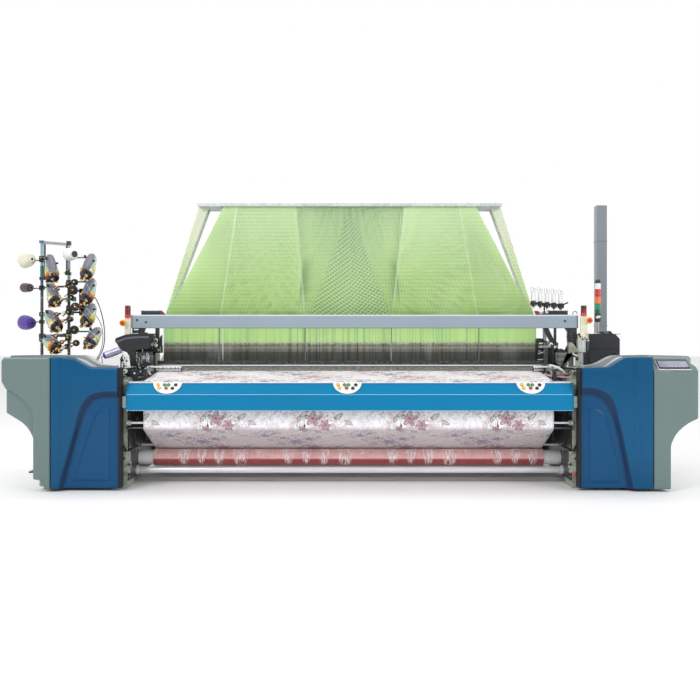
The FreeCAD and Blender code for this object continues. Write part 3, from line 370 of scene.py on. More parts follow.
# ------------------------------------------------------------------ mesh code
class Geo:
    """Collects the faces of one piece. Numbers are millimetres in the design's frame."""

    def __init__(self, k=0):
        self.v, self.f, self.m, self.k = [], [], [], k
        self.tf = None

    def at(self, k):
        self.k = k
        return self

    def put(self, verts, faces):
        n = len(self.v)
        if self.tf is not None:
            verts = [tuple(self.tf @ Vector(p)) for p in verts]
        self.v += [(p[0] / 1000.0 + XS, p[1] / 1000.0, p[2] / 1000.0) for p in verts]
        self.f += [tuple(i + n for i in q) for q in faces]
        self.m += [self.k] * len(faces)
        return self

    def box(self, x0, x1, y0, y1, z0, z1):
        v = [(x, y, z) for x in (x0, x1) for y in (y0, y1) for z in (z0, z1)]
        return self.put(v, [(0, 1, 3, 2), (4, 6, 7, 5), (0, 4, 5, 1), (2, 3, 7, 6), (0, 2, 6, 4), (1, 5, 7, 3)])

    def prism(self, pts, plane, a, b):
        """Polygon in plane xz, yz or xy (counter-clockwise or not), from a to b along the third axis."""
        area = sum(p[0] * q[1] - q[0] * p[1] for p, q in zip(pts, pts[1:] + pts[:1]))
        if (area < 0) != (plane == "xz"):
            pts = pts[::-1]
        mk = {"xz": lambda p, t: (p[0], t, p[1]), "yz": lambda p, t: (t, p[0], p[1]), "xy": lambda p, t: (p[0], p[1], t)}[plane]
        n = len(pts)
        v = [mk(p, a) for p in pts] + [mk(p, b) for p in pts]
        return self.put(v, [tuple(range(n))[::-1], tuple(range(n, 2 * n))] +
                        [(i, (i + 1) % n, n + (i + 1) % n, n + i) for i in range(n)])

    def lathe(self, p, d, prof, n=20, a0=0.0):
        """Turned shape: prof holds (distance along d, radius); it is closed where the radius is 0."""
        p, d = Vector(p), Vector(d).normalized()
        u = d.orthogonal().normalized()
        w = d.cross(u)
        v, rings = [], []
        for t, r in prof:
            if r <= 1e-6:
                rings.append([len(v)])
                v.append(tuple(p + d * t))
            else:
                rings.append(list(range(len(v), len(v) + n)))
                for i in range(n):
                    a = 2 * math.pi * i / n + a0
                    v.append(tuple(p + d * t + (u * math.cos(a) + w * math.sin(a)) * r))
        f = []
        for A, B in zip(rings, rings[1:]):
            for i in range(n):
                j = (i + 1) % n
                if len(A) == 1 and len(B) == 1:
                    continue
                if len(A) == 1:
                    f.append((A[0], B[i], B[j]))
                elif len(B) == 1:
                    f.append((A[i], B[0], A[j]))
                else:
                    f.append((A[i], B[i], B[j], A[j]))
        if len(rings[0]) > 1 and len(rings[-1]) > 1 and prof[0] != prof[-1]:
            f.append(tuple(rings[0]))
            f.append(tuple(rings[-1][::-1]))
        f = [q[::-1] for q in f]
        return self.put(v, f)

    def cyl(self, p, q, r, r2=None, n=16, ch=0.0):
        p, q = Vector(p), Vector(q)
        L = (q - p).length
        r2 = r if r2 is None else r2
        if ch:
            prof = [(0, 0), (0, r - ch), (ch, r), (L - ch, r2), (L, r2 - ch), (L, 0)]
        else:
            prof = [(0, 0), (0, r), (L, r2), (L, 0)]
        return self.lathe(p, q - p, prof, n)

    def ring(self, p, d, R, r, n=24, m=8):
        prof = [(r * math.sin(2 * math.pi * i / m), R + r * math.cos(2 * math.pi * i / m)) for i in range(m)]
        return self.lathe(p, d, prof + [prof[0]], n)

    def ball(self, p, r, n=12, m=7, squash=1.0, d=(0, 0, 1)):
        prof = [(-r * squash * math.cos(math.pi * i / m), r * math.sin(math.pi * i / m)) for i in range(m + 1)]
        prof[0], prof[-1] = (prof[0][0], 0), (prof[-1][0], 0)
        return self.lathe(p, d, prof, n)

    def bolt(self, p, d, r=8.0, h=None, washer=True):
        d = Vector(d).normalized()
        p = Vector(p)
        h = r * 0.75 if h is None else h
        if washer:
            self.lathe(p, d, [(0, 0), (0, r * 1.25), (h * 0.22, r * 1.25), (h * 0.22, 0)], 14)
            p = p + d * h * 0.22
        self.lathe(p, d, [(0, 0), (0, r), (h * 0.8, r), (h, r * 0.82), (h, 0)], 6)
        return self

    def tube(self, pts, r, n=8, ends=True):
        """Round tube through a list of points; r may be a list."""
        pts = [Vector(p) for p in pts]
        rr = r if isinstance(r, (list, tuple)) else [r] * len(pts)
        u = None
        v = []
        for i, p in enumerate(pts):
            t = (pts[min(i + 1, len(pts) - 1)] - pts[max(i - 1, 0)]).normalized()
            u = t.orthogonal().normalized() if u is None else (u - t * u.dot(t)).normalized()
            w = t.cross(u)
            for k in range(n):
                a = 2 * math.pi * k / n
                v.append(tuple(p + (u * math.cos(a) + w * math.sin(a)) * rr[i]))
        f = []
        for i in range(len(pts) - 1):
            for k in range(n):
                j = (k + 1) % n
                f.append((i * n + k, i * n + j, (i + 1) * n + j, (i + 1) * n + k))
        if ends:
            f.append(tuple(range(n))[::-1])
            f.append(tuple(range((len(pts) - 1) * n, len(pts) * n)))
        return self.put(v, f)

    def bar(self, p, q, w, h, roll=0.0):
        """Rectangular bar from p to q."""
        p, q = Vector(p), Vector(q)
        t = (q - p).normalized()
        side = t.cross(Vector((0, 0, 1)))
        side = Vector((1, 0, 0)) if side.length < 1e-4 else side.normalized()
        up = side.cross(t)
        if roll:
            R = Matrix.Rotation(roll, 3, t)
            side, up = R @ side, R @ up
        v = []
        for c in (p, q):
            for a, b in ((-1, -1), (1, -1), (1, 1), (-1, 1)):
                v.append(tuple(c + side * (a * w / 2) + up * (b * h / 2)))
        return self.put(v, [(3, 2, 1, 0), (4, 5, 6, 7), (0, 1, 5, 4), (1, 2, 6, 5), (2, 3, 7, 6), (3, 0, 4, 7)])

    def spring(self, p, q, R, r, turns, n=6, step=10):
        p, q = Vector(p), Vector(q)
        d = (q - p).normalized()
        u = d.orthogonal().normalized()
        w = d.cross(u)
        k = int(turns * step)
        pts = []
        for i in range(k + 1):
            a = 2 * math.pi * turns * i / k
            pts.append(p + (q - p) * (i / k) + (u * math.cos(a) + w * math.sin(a)) * R)
        return self.tube(pts, r, n)

    def make(self, name, mats, body="frame", slot=None, bevel=0.0, seg=2, angle=32, replaces=(), smooth=True):
        me = bpy.data.meshes.new(name)
        me.from_pydata(self.v, [], self.f)
        me.update()
        for mt in mats:
            me.materials.append(M[mt] if isinstance(mt, str) else mt)
        me.polygons.foreach_set("material_index", self.m)
        if smooth:
            me.polygons.foreach_set("use_smooth", [True] * len(me.polygons))
            me.set_sharp_from_angle(angle=math.radians(angle))
        me.validate()
        me.update()
        ob = bpy.data.objects.new(name, me)
        bpy.context.scene.collection.objects.link(ob)
        if bevel:
            md = ob.modifiers.new("bevel", "BEVEL")
            md.width = bevel / 1000.0
            md.segments = seg
            md.limit_method = "ANGLE"
            md.angle_limit = math.radians(40)
            md.harden_normals = False
            md.use_clamp_overlap = True
        if body:
            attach(ob, body)
        if replaces:
            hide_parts(*replaces)
        return ob


def cad(node, *mats, bevel=0.0, seg=2):
    """A CAD node that stays: its own material, and softened edges."""
    ob = NODES[node]
    if isinstance(ob, str):
        ob = bpy.data.objects[ob]
    if len(ob.material_slots) == 0:
        ob.data.materials.append(None)
    for i, s in enumerate(ob.material_slots):
        mt = mats[min(i, len(mats) - 1)]
        s.material = M[mt] if isinstance(mt, str) else mt
    if bevel:
        md = ob.modifiers.new("bevel", "BEVEL")
        md.width = bevel / 1000.0
        md.segments = seg
        md.limit_method = "ANGLE"
        md.angle_limit = math.radians(40)
        md.use_clamp_overlap = True
    return ob


def px(x, y, depth):
    """Design x and z, in mm, of a point seen at pixel x, y at that depth (design y in mm)."""
    s = 850.0 / (depth / 1000.0 + 7.755)
    return (x - 349.8) / s * 1000.0, (1.20 - (y - 340.0) / s) * 1000.0


def smooth01(t):
    t = max(0.0, min(1.0, t))
    return t * t * (3 - 2 * t)


def interp(tab, x):
    if x <= tab[0][0]:
        return tab[0][1]
    for (a, fa), (b, fb) in zip(tab, tab[1:]):
        if x <= b:
            return fa + (fb - fa) * (x - a) / (b - a) if b > a else fb
    return tab[-1][1]


# ------------------------------------------------------------------ end covers
R_EDGE = 14.0
EDGE_STEPS = [0.0, 0.6, 2.2, 4.8, 8.4, 14.0]


def fillet(d, r=R_EDGE):
    if d >= r:
        return 0.0
    return r - math.sqrt(max(0.0, r * r - (r - d) ** 2))


def spread(a, b, n):
    """Positions from a to b, dense near both ends."""
    s = 1.0 if b > a else -1.0
    L = abs(b - a)
    mid = [EDGE_STEPS[-1] + (L - 2 * EDGE_STEPS[-1]) * i / n for i in range(1, n)]
    return [a + s * t for t in EDGE_STEPS + mid + [L - e for e in EDGE_STEPS[::-1]]]


def shell(name, grid, yfun, y_back, mat, slot, replaces=(), flip=False, wall=4.0):
    """Moulded cover from a grid of (x, z, edge distance u, edge distance v); open at the back."""
    nu, nv = len(grid), len(grid[0])
    v = []
    for row in grid:
        for x, z, du, dv in row:
            v.append((x, yfun(x, z) + min(R_EDGE, fillet(du) + fillet(dv)), z))
    f = []
    for i in range(nu - 1):
        for j in range(nv - 1):
            f.append((i * nv + j, (i + 1) * nv + j, (i + 1) * nv + j + 1, i * nv + j + 1))
    loop = [i * nv for i in range(nu)] + [(nu - 1) * nv + j for j in range(1, nv)] + \
           [i * nv + nv - 1 for i in range(nu - 2, -1, -1)] + [j for j in range(nv - 2, 0, -1)]
    n0 = len(v)
    for i in loop:
        v.append((v[i][0], y_back, v[i][2]))
    L = len(loop)
    for k in range(L):
        a, b = loop[k], loop[(k + 1) % L]
        f.append((b, a, n0 + k, n0 + (k + 1) % L))
    if flip:
        f = [q[::-1] for q in f]
    g = Geo()
    g.put(v, f)
    ob = g.make(name, [mat], "frame", slot, replaces=replaces, angle=50)
    md = ob.modifiers.new("wall", "SOLIDIFY")
    md.thickness = wall / 1000.0
    md.offset = -1.0
    return ob


def column_grid(x0, x1, zb, zt, nx, nz):
    g = []
    for x in spread(x0, x1, nx):
        lo, hi = zb, interp(zt, x)
        row = [(x, z, min(abs(x - x0), abs(x - x1)), min(z - lo, hi - z)) for z in spread(lo, hi, nz)]
        g.append(row)
    return g


def row_grid(z0, z1, xl, xr_tab, nz, nx, extra=()):
    """Rows of constant z from x = xl to the table's x; works for either side."""
    zs = sorted(set(spread(z0, z1, nz)) | {z for z in extra if z0 < z < z1})
    g = []
    for z in zs:
        xr = interp(xr_tab, z)
        g.append([(x, z, min(abs(x - xl), abs(x - xr)), min(z - z0, z1 - z)) for x in spread(xl, xr, nx)])
    return g


def poly_dist(pts):
    segs = []
    for a, b in zip(pts, pts[1:]):
        dx, dz = b[0] - a[0], b[1] - a[1]
        segs.append((a[0], a[1], dx, dz, dx * dx + dz * dz))

    def f(x, z):
        best, sign = 1e18, 1.0
        for ax, az, dx, dz, l2 in segs:
            t = ((x - ax) * dx + (z - az) * dz) / l2
            t = 0.0 if t < 0 else 1.0 if t > 1 else t
            ex, ez = x - ax - dx * t, z - az - dz * t
            q = ex * ex + ez * ez
            if q < best - 1e-9:
                best = q
                sign = 1.0 if dx * ez - dz * ex >= 0 else -1.0
        return math.sqrt(best) * sign
    return f


def smooth_poly(pts, n=6):
    """Catmull-Rom through the points."""
    out = []
    P = [pts[0]] + list(pts) + [pts[-1]]
    for i in range(1, len(P) - 2):
        a, b, c, d = P[i - 1], P[i], P[i + 1], P[i + 2]
        for k in range(n):
            t = k / n
            out.append(tuple(0.5 * (2 * b[j] + (c[j] - a[j]) * t + (2 * a[j] - 5 * b[j] + 4 * c[j] - d[j]) * t * t +
                                    (3 * b[j] - a[j] - 3 * c[j] + d[j]) * t ** 3) for j in range(2)))
    out.append(tuple(pts[-1]))
    return out


def quad_dist(pts):
    """Signed distance inside a closed polygon (positive inside)."""
    d = poly_dist(pts + [pts[0]])

    def f(x, z):
        inside = False
        n = len(pts)
        j = n - 1
        for i in range(n):
            xi, zi = pts[i]
            xj, zj = pts[j]
            if (zi > z) != (zj > z) and x < (xj - xi) * (z - zi) / (zj - zi) + xi:
                inside = not inside
            j = i
        q = abs(d(x, z))
        return q if inside else -q
    return f


def s_table(x0, z0, x1, z1, n=12):
    out = []
    for i in range(n + 1):
        t = i / n
        out.append((x0 + (x1 - x0) * t, z0 + (z1 - z0) * (3 * t * t - 2 * t ** 3)))
    return out


# left blue cover: a wide recessed sweep with a sloped wall, and a raised inner panel
SW_L = smooth_poly([(-2290, 20), (-2278, 60), (-2223, 261), (-2165, 470), (-2124, 608), (-2086, 685), (-2038, 737),
                    (-1957, 762), (-1880, 763), (-1800, 763)])
dl = poly_dist(SW_L)
PANEL_L = smooth_poly([(-2192, 84), (-2150, 215), (-2104, 365), (-2054, 512), (-2014, 600), (-1980, 640), (-1930, 652), (-1906, 648)]) + \
          [(-1904, 84)]
pl = quad_dist(PANEL_L)
DEEP = 46.0


def blue_left(x, z):
    d = dl(x, z)                        # below and right of the sweep is negative
    h = 25.0 + 17.0 * smooth01((z - 480.0) / 240.0)
    y = -1050.0
    y += DEEP * smooth01((h - d) / (2 * h))
    y -= 6.0 * smooth01((pl(x, z) + 9.0) / 18.0)
    y += 7.0 * smooth01((x + 2300.0) / 26.0)          # raised strip beside the grey cover
    y -= 5.0 * math.exp(-((x + 2200.0) / 70.0) ** 2) * smooth01(d / 120.0)
    y += 8.0 * smooth01((z - 900.0) / 130.0) * smooth01((x + 2330.0) / 60.0)
    return y


ZT_L = sorted([(-2365, 1066), (-2236, 1062), (-1825, 980), (-2032, 984)] + s_table(-2236, 1062, -2032, 984))
shell("left_blue_shell", column_grid(-2365, -1825, 20, ZT_L, 62, 110), blue_left, -931.0, "cover_blue", "cover_blue",
      ["left_blue_cover"])

SW_R = smooth_poly([(1800, 786), (1880, 786), (1930, 783), (2020, 742), (2073, 658), (2124, 505), (2168, 300), (2210, 90), (2223, 20)])
dr = poly_dist(SW_R)
PANEL_R = smooth_poly([(2150, 72), (2118, 250), (2078, 430), (2040, 560), (2010, 612), (1975, 640), (1930, 650), (1905, 646)]) + \
          [(1900, 640), (1900, 72)]
pr = quad_dist(PANEL_R)


def blue_right(x, z):
    d = dr(x, z)                        # above and right of the sweep is positive
    h = 25.0 + 27.0 * smooth01((z - 520.0) / 240.0)
    y = -1050.0
    y += DEEP * smooth01((h - d) / (2 * h))
    y -= 6.0 * smooth01((pr(x, z) + 9.0) / 18.0)
    y += 7.0 * smooth01((2264.0 - x) / 24.0)
    y += 5.0 * math.exp(-((x - 2282.0) / 7.0) ** 2) * smooth01((760.0 - z) / 30.0) * smooth01((z - 40.0) / 30.0)
    y += 8.0 * smooth01((z - 900.0) / 130.0) * smooth01((2300.0 - x) / 60.0)
    return y


ZT_R = sorted([(1825, 980), (2398, 1066)] + s_table(2025, 984, 2200, 1062))
shell("right_blue_shell", column_grid(1825, 2398, 20, ZT_R, 64, 110), blue_right, -931.0, "cover_blue", "cover_blue",
      ["right_blue_cover"])

# grey end covers
XL_FRONT = [(20, 2410), (40, 2418), (92, 2449), (100, 2504), (560, 2504), (608, 2508), (640, 2518), (679, 2540), (712, 2570),
            (750, 2611), (788, 2665), (813, 2721), (872, 2755), (1035, 2755), (1062, 2735)]
XL_BACK = [(20, 2410), (40, 2418), (92, 2449), (100, 2504), (372, 2504), (404, 2508), (435, 2516), (475, 2535), (514, 2563),
           (548, 2600), (580, 2650), (624, 2721), (1058, 2721)]
neg = lambda tab: [(z, -x) for z, x in tab]


def grey_left_y(x, z):
    return -1050.0 + 5.0 * smooth01((-2440.0 - x) / 30.0) - 3.0 * math.exp(-((x + 2480.0) / 30.0) ** 2)


def grey_left_back_y(x, z):
    return -1027.0


shell("left_grey_front", row_grid(20, 1062, -2368.5, neg(XL_FRONT), 90, 22, [z for z, _ in XL_FRONT]), grey_left_y, -1024.0,
      "cover_grey", "cover_grey", [], flip=False)
shell("left_grey_side", row_grid(20, 1058, -2369.0, neg(XL_BACK), 80, 18, [z for z, _ in XL_BACK]), grey_left_back_y, -931.0,
      "cover_grey", "cover_grey", [], flip=False)

bpy.context.view_layer.update()

# right grey cover: its front is one lobe, and its top slopes back under the terminal
XR_TAB = [(20, 2539), (350, 2539), (380, 2544), (411, 2557), (448, 2577), (482, 2604), (514, 2640), (545, 2683), (580, 2755),
          (985, 2755), (1043, 2697)]


def grey_right_y(x, z):
    y = -1050.0 + 4.0 * smooth01((x - 2470.0) / 40.0) - 3.0 * math.exp(-((x - 2500.0) / 40.0) ** 2)
    if z > 952:
        y = -1050.0 + (z - 952.0) * 100.0 / 76.0 if z < 1028 else -950.0 + (z - 1028.0) * 20.0 / 15.0
    return min(y, -932.0)


shell("right_grey_front", row_grid(20, 1043, 2401.5, XR_TAB, 92, 24, [z for z, _ in XR_TAB] + [952, 1028]), grey_right_y,
      -931.0, "cover_grey", "cover_grey", [], flip=True)


def scoop_top(side):
    """Outline (x, z) of the tall housing behind the scoop, for the right side."""
    if side > 0:
        return [(1885, 990), (1935, 996)] + s_table(1935, 996, 2150, 1074, 10)[1:] + [(2385, 1078), (2715, 1070), (2738, 1046)]
    return [(1885, 990), (1975, 996)] + s_table(1975, 996, 2160, 1074, 10)[1:] + [(2385, 1078), (2715, 1074), (2738, 1050)]


def housing(side):
    g = Geo()
    top = scoop_top(side)
    xo = [(2738, 585), (2683, 545), (2604, 482), (2557, 411), (2524, 350), (2524, 24), (1885, 24)] if side > 0 else \
        [(2706, 624), (2650, 580), (2563, 514), (2516, 435), (2494, 372), (2494, 24), (1885, 24)]
    pts = [(side * x, z) for x, z in top + xo]
    # tall part: a front panel behind the covers; its overhanging rim is built in housing_rim
    g.prism(pts, "xz", -929.0, -822.0)
    return g


def housing_rim(side):
    g = Geo()
    top = scoop_top(side)
    for a, b in zip(top[:-1], top[1:]):
        if b[0] - a[0] > 1e-6:
            g.prism([(side * a[0], a[1] - 4), (side * a[0], a[1] + 2.5), (side * b[0], b[1] + 2.5), (side * b[0], b[1] - 4)], "xz", -931.5, -819.5)
    return g


for side, nm in ((-1, "left"), (1, "right")):
    g = housing(side)
    g.make(nm + "_housing_head", ["house_grey"], "frame", "cover_grey", bevel=5, seg=3)
    housing_rim(side).make(nm + "_housing_rim", ["house_grey"], "frame", "cover_grey")
    g = Geo(0)
    sx = lambda a, b: (min(side * a, side * b), max(side * a, side * b))
    a, b = sx(1885, 1891)
    g.box(a, b, -819, -121, 24, 962)                      # inner panel
    a, b = sx(2494, 2500)
    g.box(a, b, -819, -121, 24, 962)                      # outer panel
    a, b = sx(1885, 2500)
    g.box(a, b, -127, -120, 24, 962)                      # back
    g.box(a, b, -820, -120, 952, 962)                     # deck
    g.box(a, b, -820, -120, 24, 32)
    # doors and louvres on the outer panel and the back
    ox = side * 2500
    a, b = (ox - 3, ox + 3)
    for y0, y1 in ((-780, -490), (-450, -160)):
        for z in range(300, 620, 24):
            g.prism([(ox, z), (ox + side * 7, z - 12), (ox, z - 14)], "xz", y0 + 30, y1 - 30)
    for y0, y1 in ((-800, -475), (-465, -140)):
        g.box(*sorted((ox, ox + side * 3)), y0, y1, 60, 930)
    for x0 in (1925, 2215):
        p0, p1 = sx(x0, x0 + 260)
        g.box(p0, p1, -121, -117, 70, 920)
        for z in range(560, 820, 26):
            g.prism([(-120, z), (-110, z - 14), (-120, z - 16)], "yz", p0 + 30, p1 - 30)
    g.at(1)
    for y0 in (-640, -300):
        g.box(*sorted((ox + side * 2, ox + side * 12)), y0, y0 + 24, 470, 560)
        g.bolt((ox + side * 3, y0 - 120, 900), (side, 0, 0), 6)
        g.bolt((ox + side * 3, y0 - 120, 90), (side, 0, 0), 6)
        g.bolt((ox + side * 3, y0 + 130, 900), (side, 0, 0), 6)
        g.bolt((ox + side * 3, y0 + 130, 90), (side, 0, 0), 6)
    for x0 in (1925, 2215):
        for dx in (14, 246):
            for z in (90, 900):
                g.bolt((side * (x0 + dx), -118, z), (0, 1, 0), 6)
        g.box(*sx(x0 + 222, x0 + 240), -118, -108, 440, 540)
    g.make(nm + "_housing_low", ["house_grey", "black"], "frame", "cover_grey", bevel=2,
           replaces=[nm + "_grey_cover"] if side < 0 else [nm + "_grey_cover"])

# painted highlight: a white strip in each scoop, along the edge of the blue cover
for side, nm, zt in ((-1, "left", ZT_L), (1, "right", ZT_R)):
    xs = [2030 + 10 * k for k in range(17)]
    lo = [(side * x, interp(zt, side * x) - 4) for x in xs]
    hi = [(side * x, interp(zt, side * x) + 3 + 17 * math.sin(math.pi * k / 16.0)) for k, x in enumerate(xs)][::-1]
    g = Geo(0)
    g.prism(lo + hi, "xz", -932.5, -929.5)
    g.make(nm + "_scoop_lining", ["white_paint"], "frame", "cover_grey")

# spindle boss in each housing, with bolts round its face
g = Geo(0)
for side in (-1, 1):
    g.cyl((side * 2190, -215 + 30, 645), (side * 2190, -124, 645), 45, n=28, ch=3)
    for k in range(6):
        a = math.radians(60 * k)
        g.bolt((side * 2190 + 36 * math.cos(a), -184.5, 645 + 36 * math.sin(a)), (0, -1, 0), 5)
g.make("wheel_bosses", ["steel_dark"], "frame", "bare_steel", bevel=1)
g = Geo(0)
for side in (-1, 1):
    g.cyl((side * 2190, -262, 645), (side * 2190, -150, 645), 17.9, n=24, ch=2)
g.make("wheel_spindles", ["steel"], "frame", "bare_steel")

# dark strips along the inner edges of the blue covers, painted shade for their rounded edges, and the glands of the
# cables
g = Geo(0)
for side in (-1, 1):
    g.box(*sorted((side * 1817, side * 1824)), -1030, -934, 24, 978)       # painted shade: dark strip along the inner edge
    g.box(*sorted((side * 1817, side * 1836)), -934, -931, 24, 978)
for x, y, r in ((-2255, -168, 10), (-2282, -148, 8)):
    g.lathe((x, y, 962), (0, 0, 1), [(0, r * 0.55), (0, r * 1.5), (4, r * 1.5), (5, r * 1.1), (13.8, r), (14, r * 0.55), (0, r * 0.55)], 20)
g.make("cover_lips", ["rubber"], "frame", "cable_black")

# ------------------------------------------------------------------ front cover with its palettes
cad("front_cover", "front_blue", bevel=1.6, seg=3)
g = Geo(0)
# painted highlights: a light strip along the fold and a white strip along the top edge, and a hem along the lower edge
g.tube([(-1770, -991.5, 765), (1770, -991.5, 765)], 3.0, 10)
g.tube([(-1781, -991.5, 638.5), (1781, -991.5, 638.5)], 2.2, 8)
# painted highlight: white strip along the top edge of the cover
g.at(1)
g.tube([(-1770, -934, 857.5), (1770, -934, 857.5)], 4.0, 10)
g.make("front_cover_ridge", [surf("fold_highlight_and_hem_blue", (120, 186, 222), 0.3, var=0.05, coat=0.4), "white_paint"], "frame", "front_blue")
for sx in (-1, 1):
    g = Geo(0)
    g.prism([(-928, 852), (-986, 762), (-986, 640), (-962, 640)], "yz", sx * 1776 - 10, sx * 1776 + 10)
    g.make("front_cover_end" + ("_l" if sx < 0 else "_r"), ["front_blue"], "frame", "front_blue", bevel=1)

cad("button_plates", "white", bevel=1.5, seg=3)
T = 57.17


def slope_tf(xc):
    return Matrix.Translation((xc, -930, 857)) @ Matrix.Rotation(math.radians(T), 4, "X")


BTN = [((-74, 25), "btn_amber"), ((-62, 56), "btn_amber"), ((-22, 26), "btn_green"), ((10, 26), "btn_green"),
       ((-6, 57), "btn_red"), ((68, 27), "btn_black"), ((44, 58), "btn_black")]
g = Geo(0)
for xc in (-1460, -20, 1450):
    g.tf = slope_tf(xc)
    for (u, v), _ in BTN:
        g.lathe((u, -v, 10), (0, 0, 1), [(0, 14.1), (0, 16.4), (2.4, 16.4), (3.2, 15.6), (3.2, 14.3), (0, 14.1)], 28)
    for u, v in ((-100, 12), (100, 12), (0, 92)):
        g.lathe((u, -v, 10), (0, 0, 1), [(0, 0), (0, 4), (1.6, 3.6), (1.6, 1.2), (0.6, 1.2), (0.6, 0)], 12)
g.tf = None
g.make("button_bezels", ["steel_v"], "frame", "bare_steel")
M["btn_amber"] = surf("button_amber", (226, 172, 60), 0.24, var=0.06, vscale=60, bump=0.03, bscale=500, coat=0.5)
M["btn_green"] = surf("button_green", (22, 140, 78), 0.24, var=0.06, vscale=60, bump=0.03, bscale=500, coat=0.5)
M["btn_red"] = surf("button_red", (200, 26, 30), 0.24, var=0.06, vscale=60, bump=0.03, bscale=500, coat=0.5)
M["btn_black"] = surf("button_black", (22, 22, 24), 0.24, var=0.1, vscale=60, bump=0.03, bscale=500, coat=0.5)
for grp, xc in (("left", -1460), ("centre", -20), ("right", 1450)):
    for i, ((u, v), mt) in enumerate(BTN):
        g = Geo(0)
        g.tf = slope_tf(xc)
        g.lathe((u, -v, 5), (0, 0, 1), [(0, 0), (0, 10.7), (9.4, 10.7), (9.5, 13.7), (11.4, 13.7), (12.8, 12.6), (13.2, 10.8), (12.4, 7.6), (12.0, 0)], 28)
        nm = "%s_button_%d" % (grp, i + 1)
        g.make(nm + "_cap", [mt], nm, mt, replaces=[nm], angle=50)

# stop buttons: ribbed mushroom heads on yellow discs
for nm, x, z, y, sd in (("left_stop_button", -2000, 1352, -150, -1), ("right_stop_button", 2113, 1375, -150, 1)):
    g = Geo(0)
    c = (x + sd * 20, y - 54, z)
    g.lathe(c, (0, -1, 0), [(0, 0), (0, 12), (5, 12), (6, 19), (9, 20), (12, 19), (13.6, 15), (14, 8), (14, 0)], 32)
    for k in range(12):
        a = 2 * math.pi * k / 12
        g.cyl((c[0] + 19.4 * math.cos(a), c[1] - 6, c[2] + 19.4 * math.sin(a)),
              (c[0] + 19.4 * math.cos(a), c[1] - 11, c[2] + 19.4 * math.sin(a)), 0.9, n=6)
    g.make(nm + "_head", ["red"], nm, "btn_red", replaces=[nm], angle=50)

# ------------------------------------------------------------------ terminal on the sloped top of the right cover
ang = math.atan2(76, 100)
TT = Matrix.Translation((2440, -1050, 952)) @ Matrix.Rotation(ang, 4, "X") @ Matrix.Translation((0, 14, 0))
screen = Mat("screen_glass")
X, Y, Z = screen.xyz(screen.coord())
panes = (X * 9.0).wrap(0.0, 1.0).step(0.02, 0.06) * (Z * 16.0).wrap(0.0, 1.0).step(0.04, 0.10)
nz = screen.noise(7.0, 2.0)
base_c = screen.mix(nz.step(0.3, 0.7), lin(112, 116, 140), lin(158, 160, 178))
screen.color(screen.mix(panes * 0.35 + 0.65, lin(60, 64, 84), base_c))
screen.set(rough=0.08, coat=1.0, coatr=0.02, spec=0.7)
screen.b.inputs["Emission Color"].default_value = (*lin(120, 126, 160), 1)
screen.set(emit=0.12)
g = Geo(0)
g.tf = TT
# tray, bezel and glass
g.box(0, 258, 0, 110, 0.5, 10)
g.at(1).box(4, 254, 4, 106, 10, 14)
g.at(2)
for a, b, c, d in ((10, 248, 10, 22.5), (10, 248, 99, 103), (10, 13.5, 10, 103), (244.5, 248, 10, 103)):
    g.box(a, b, c, d, 13.8, 16.5)
g.at(3).box(13.6, 244.4, 22.6, 98.9, 13.9, 15.2)
g.at(0)
for u in (3, 252):
    for v in (6, 100):
        g.lathe((u, v, 10), (0, 0, 1), [(0, 0), (0, 2.6), (1.4, 2.2), (1.4, 0)], 10)
g.at(4)
for k in range(6):
    g.box(38 + k * 30, 56 + k * 30, 13.5, 19, 16.4, 17.6)
g.make("terminal_unit", ["white_paint", "black", "black_gloss", screen.m, "grey_plastic"], "frame", "terminal_grey",
       bevel=0.9, seg=2, replaces=["control_terminal"])
# ------------------------------------------------------------------ harness: cords, heddles and return springs
S_BOT = 850.0 / (0.105 + 7.755)
BX = lambda p: max(-1700.0, min(1700.0, (p - 349.8) / S_BOT * 1000.0))
ZB, ZT = 1365.0, 2425.0
SECT_B = [BX(p) for p in (163, 220.7, 305.7, 391, 477.3, 536)]
SECT_T = [BX(p) for p in (224.3, 238.5, 296, 404, 458, 473.5)]
SECT_B[0], SECT_B[-1] = -1700.0, 1700.0
SECT_T[0], SECT_T[-1] = -1152.0, 1152.0


def near(v, c, w0, w1):
    """1 within w0 of c, fading to 0 at w1."""
    return (v - c).abs().step(w0, w1, 1.0, 0.0)


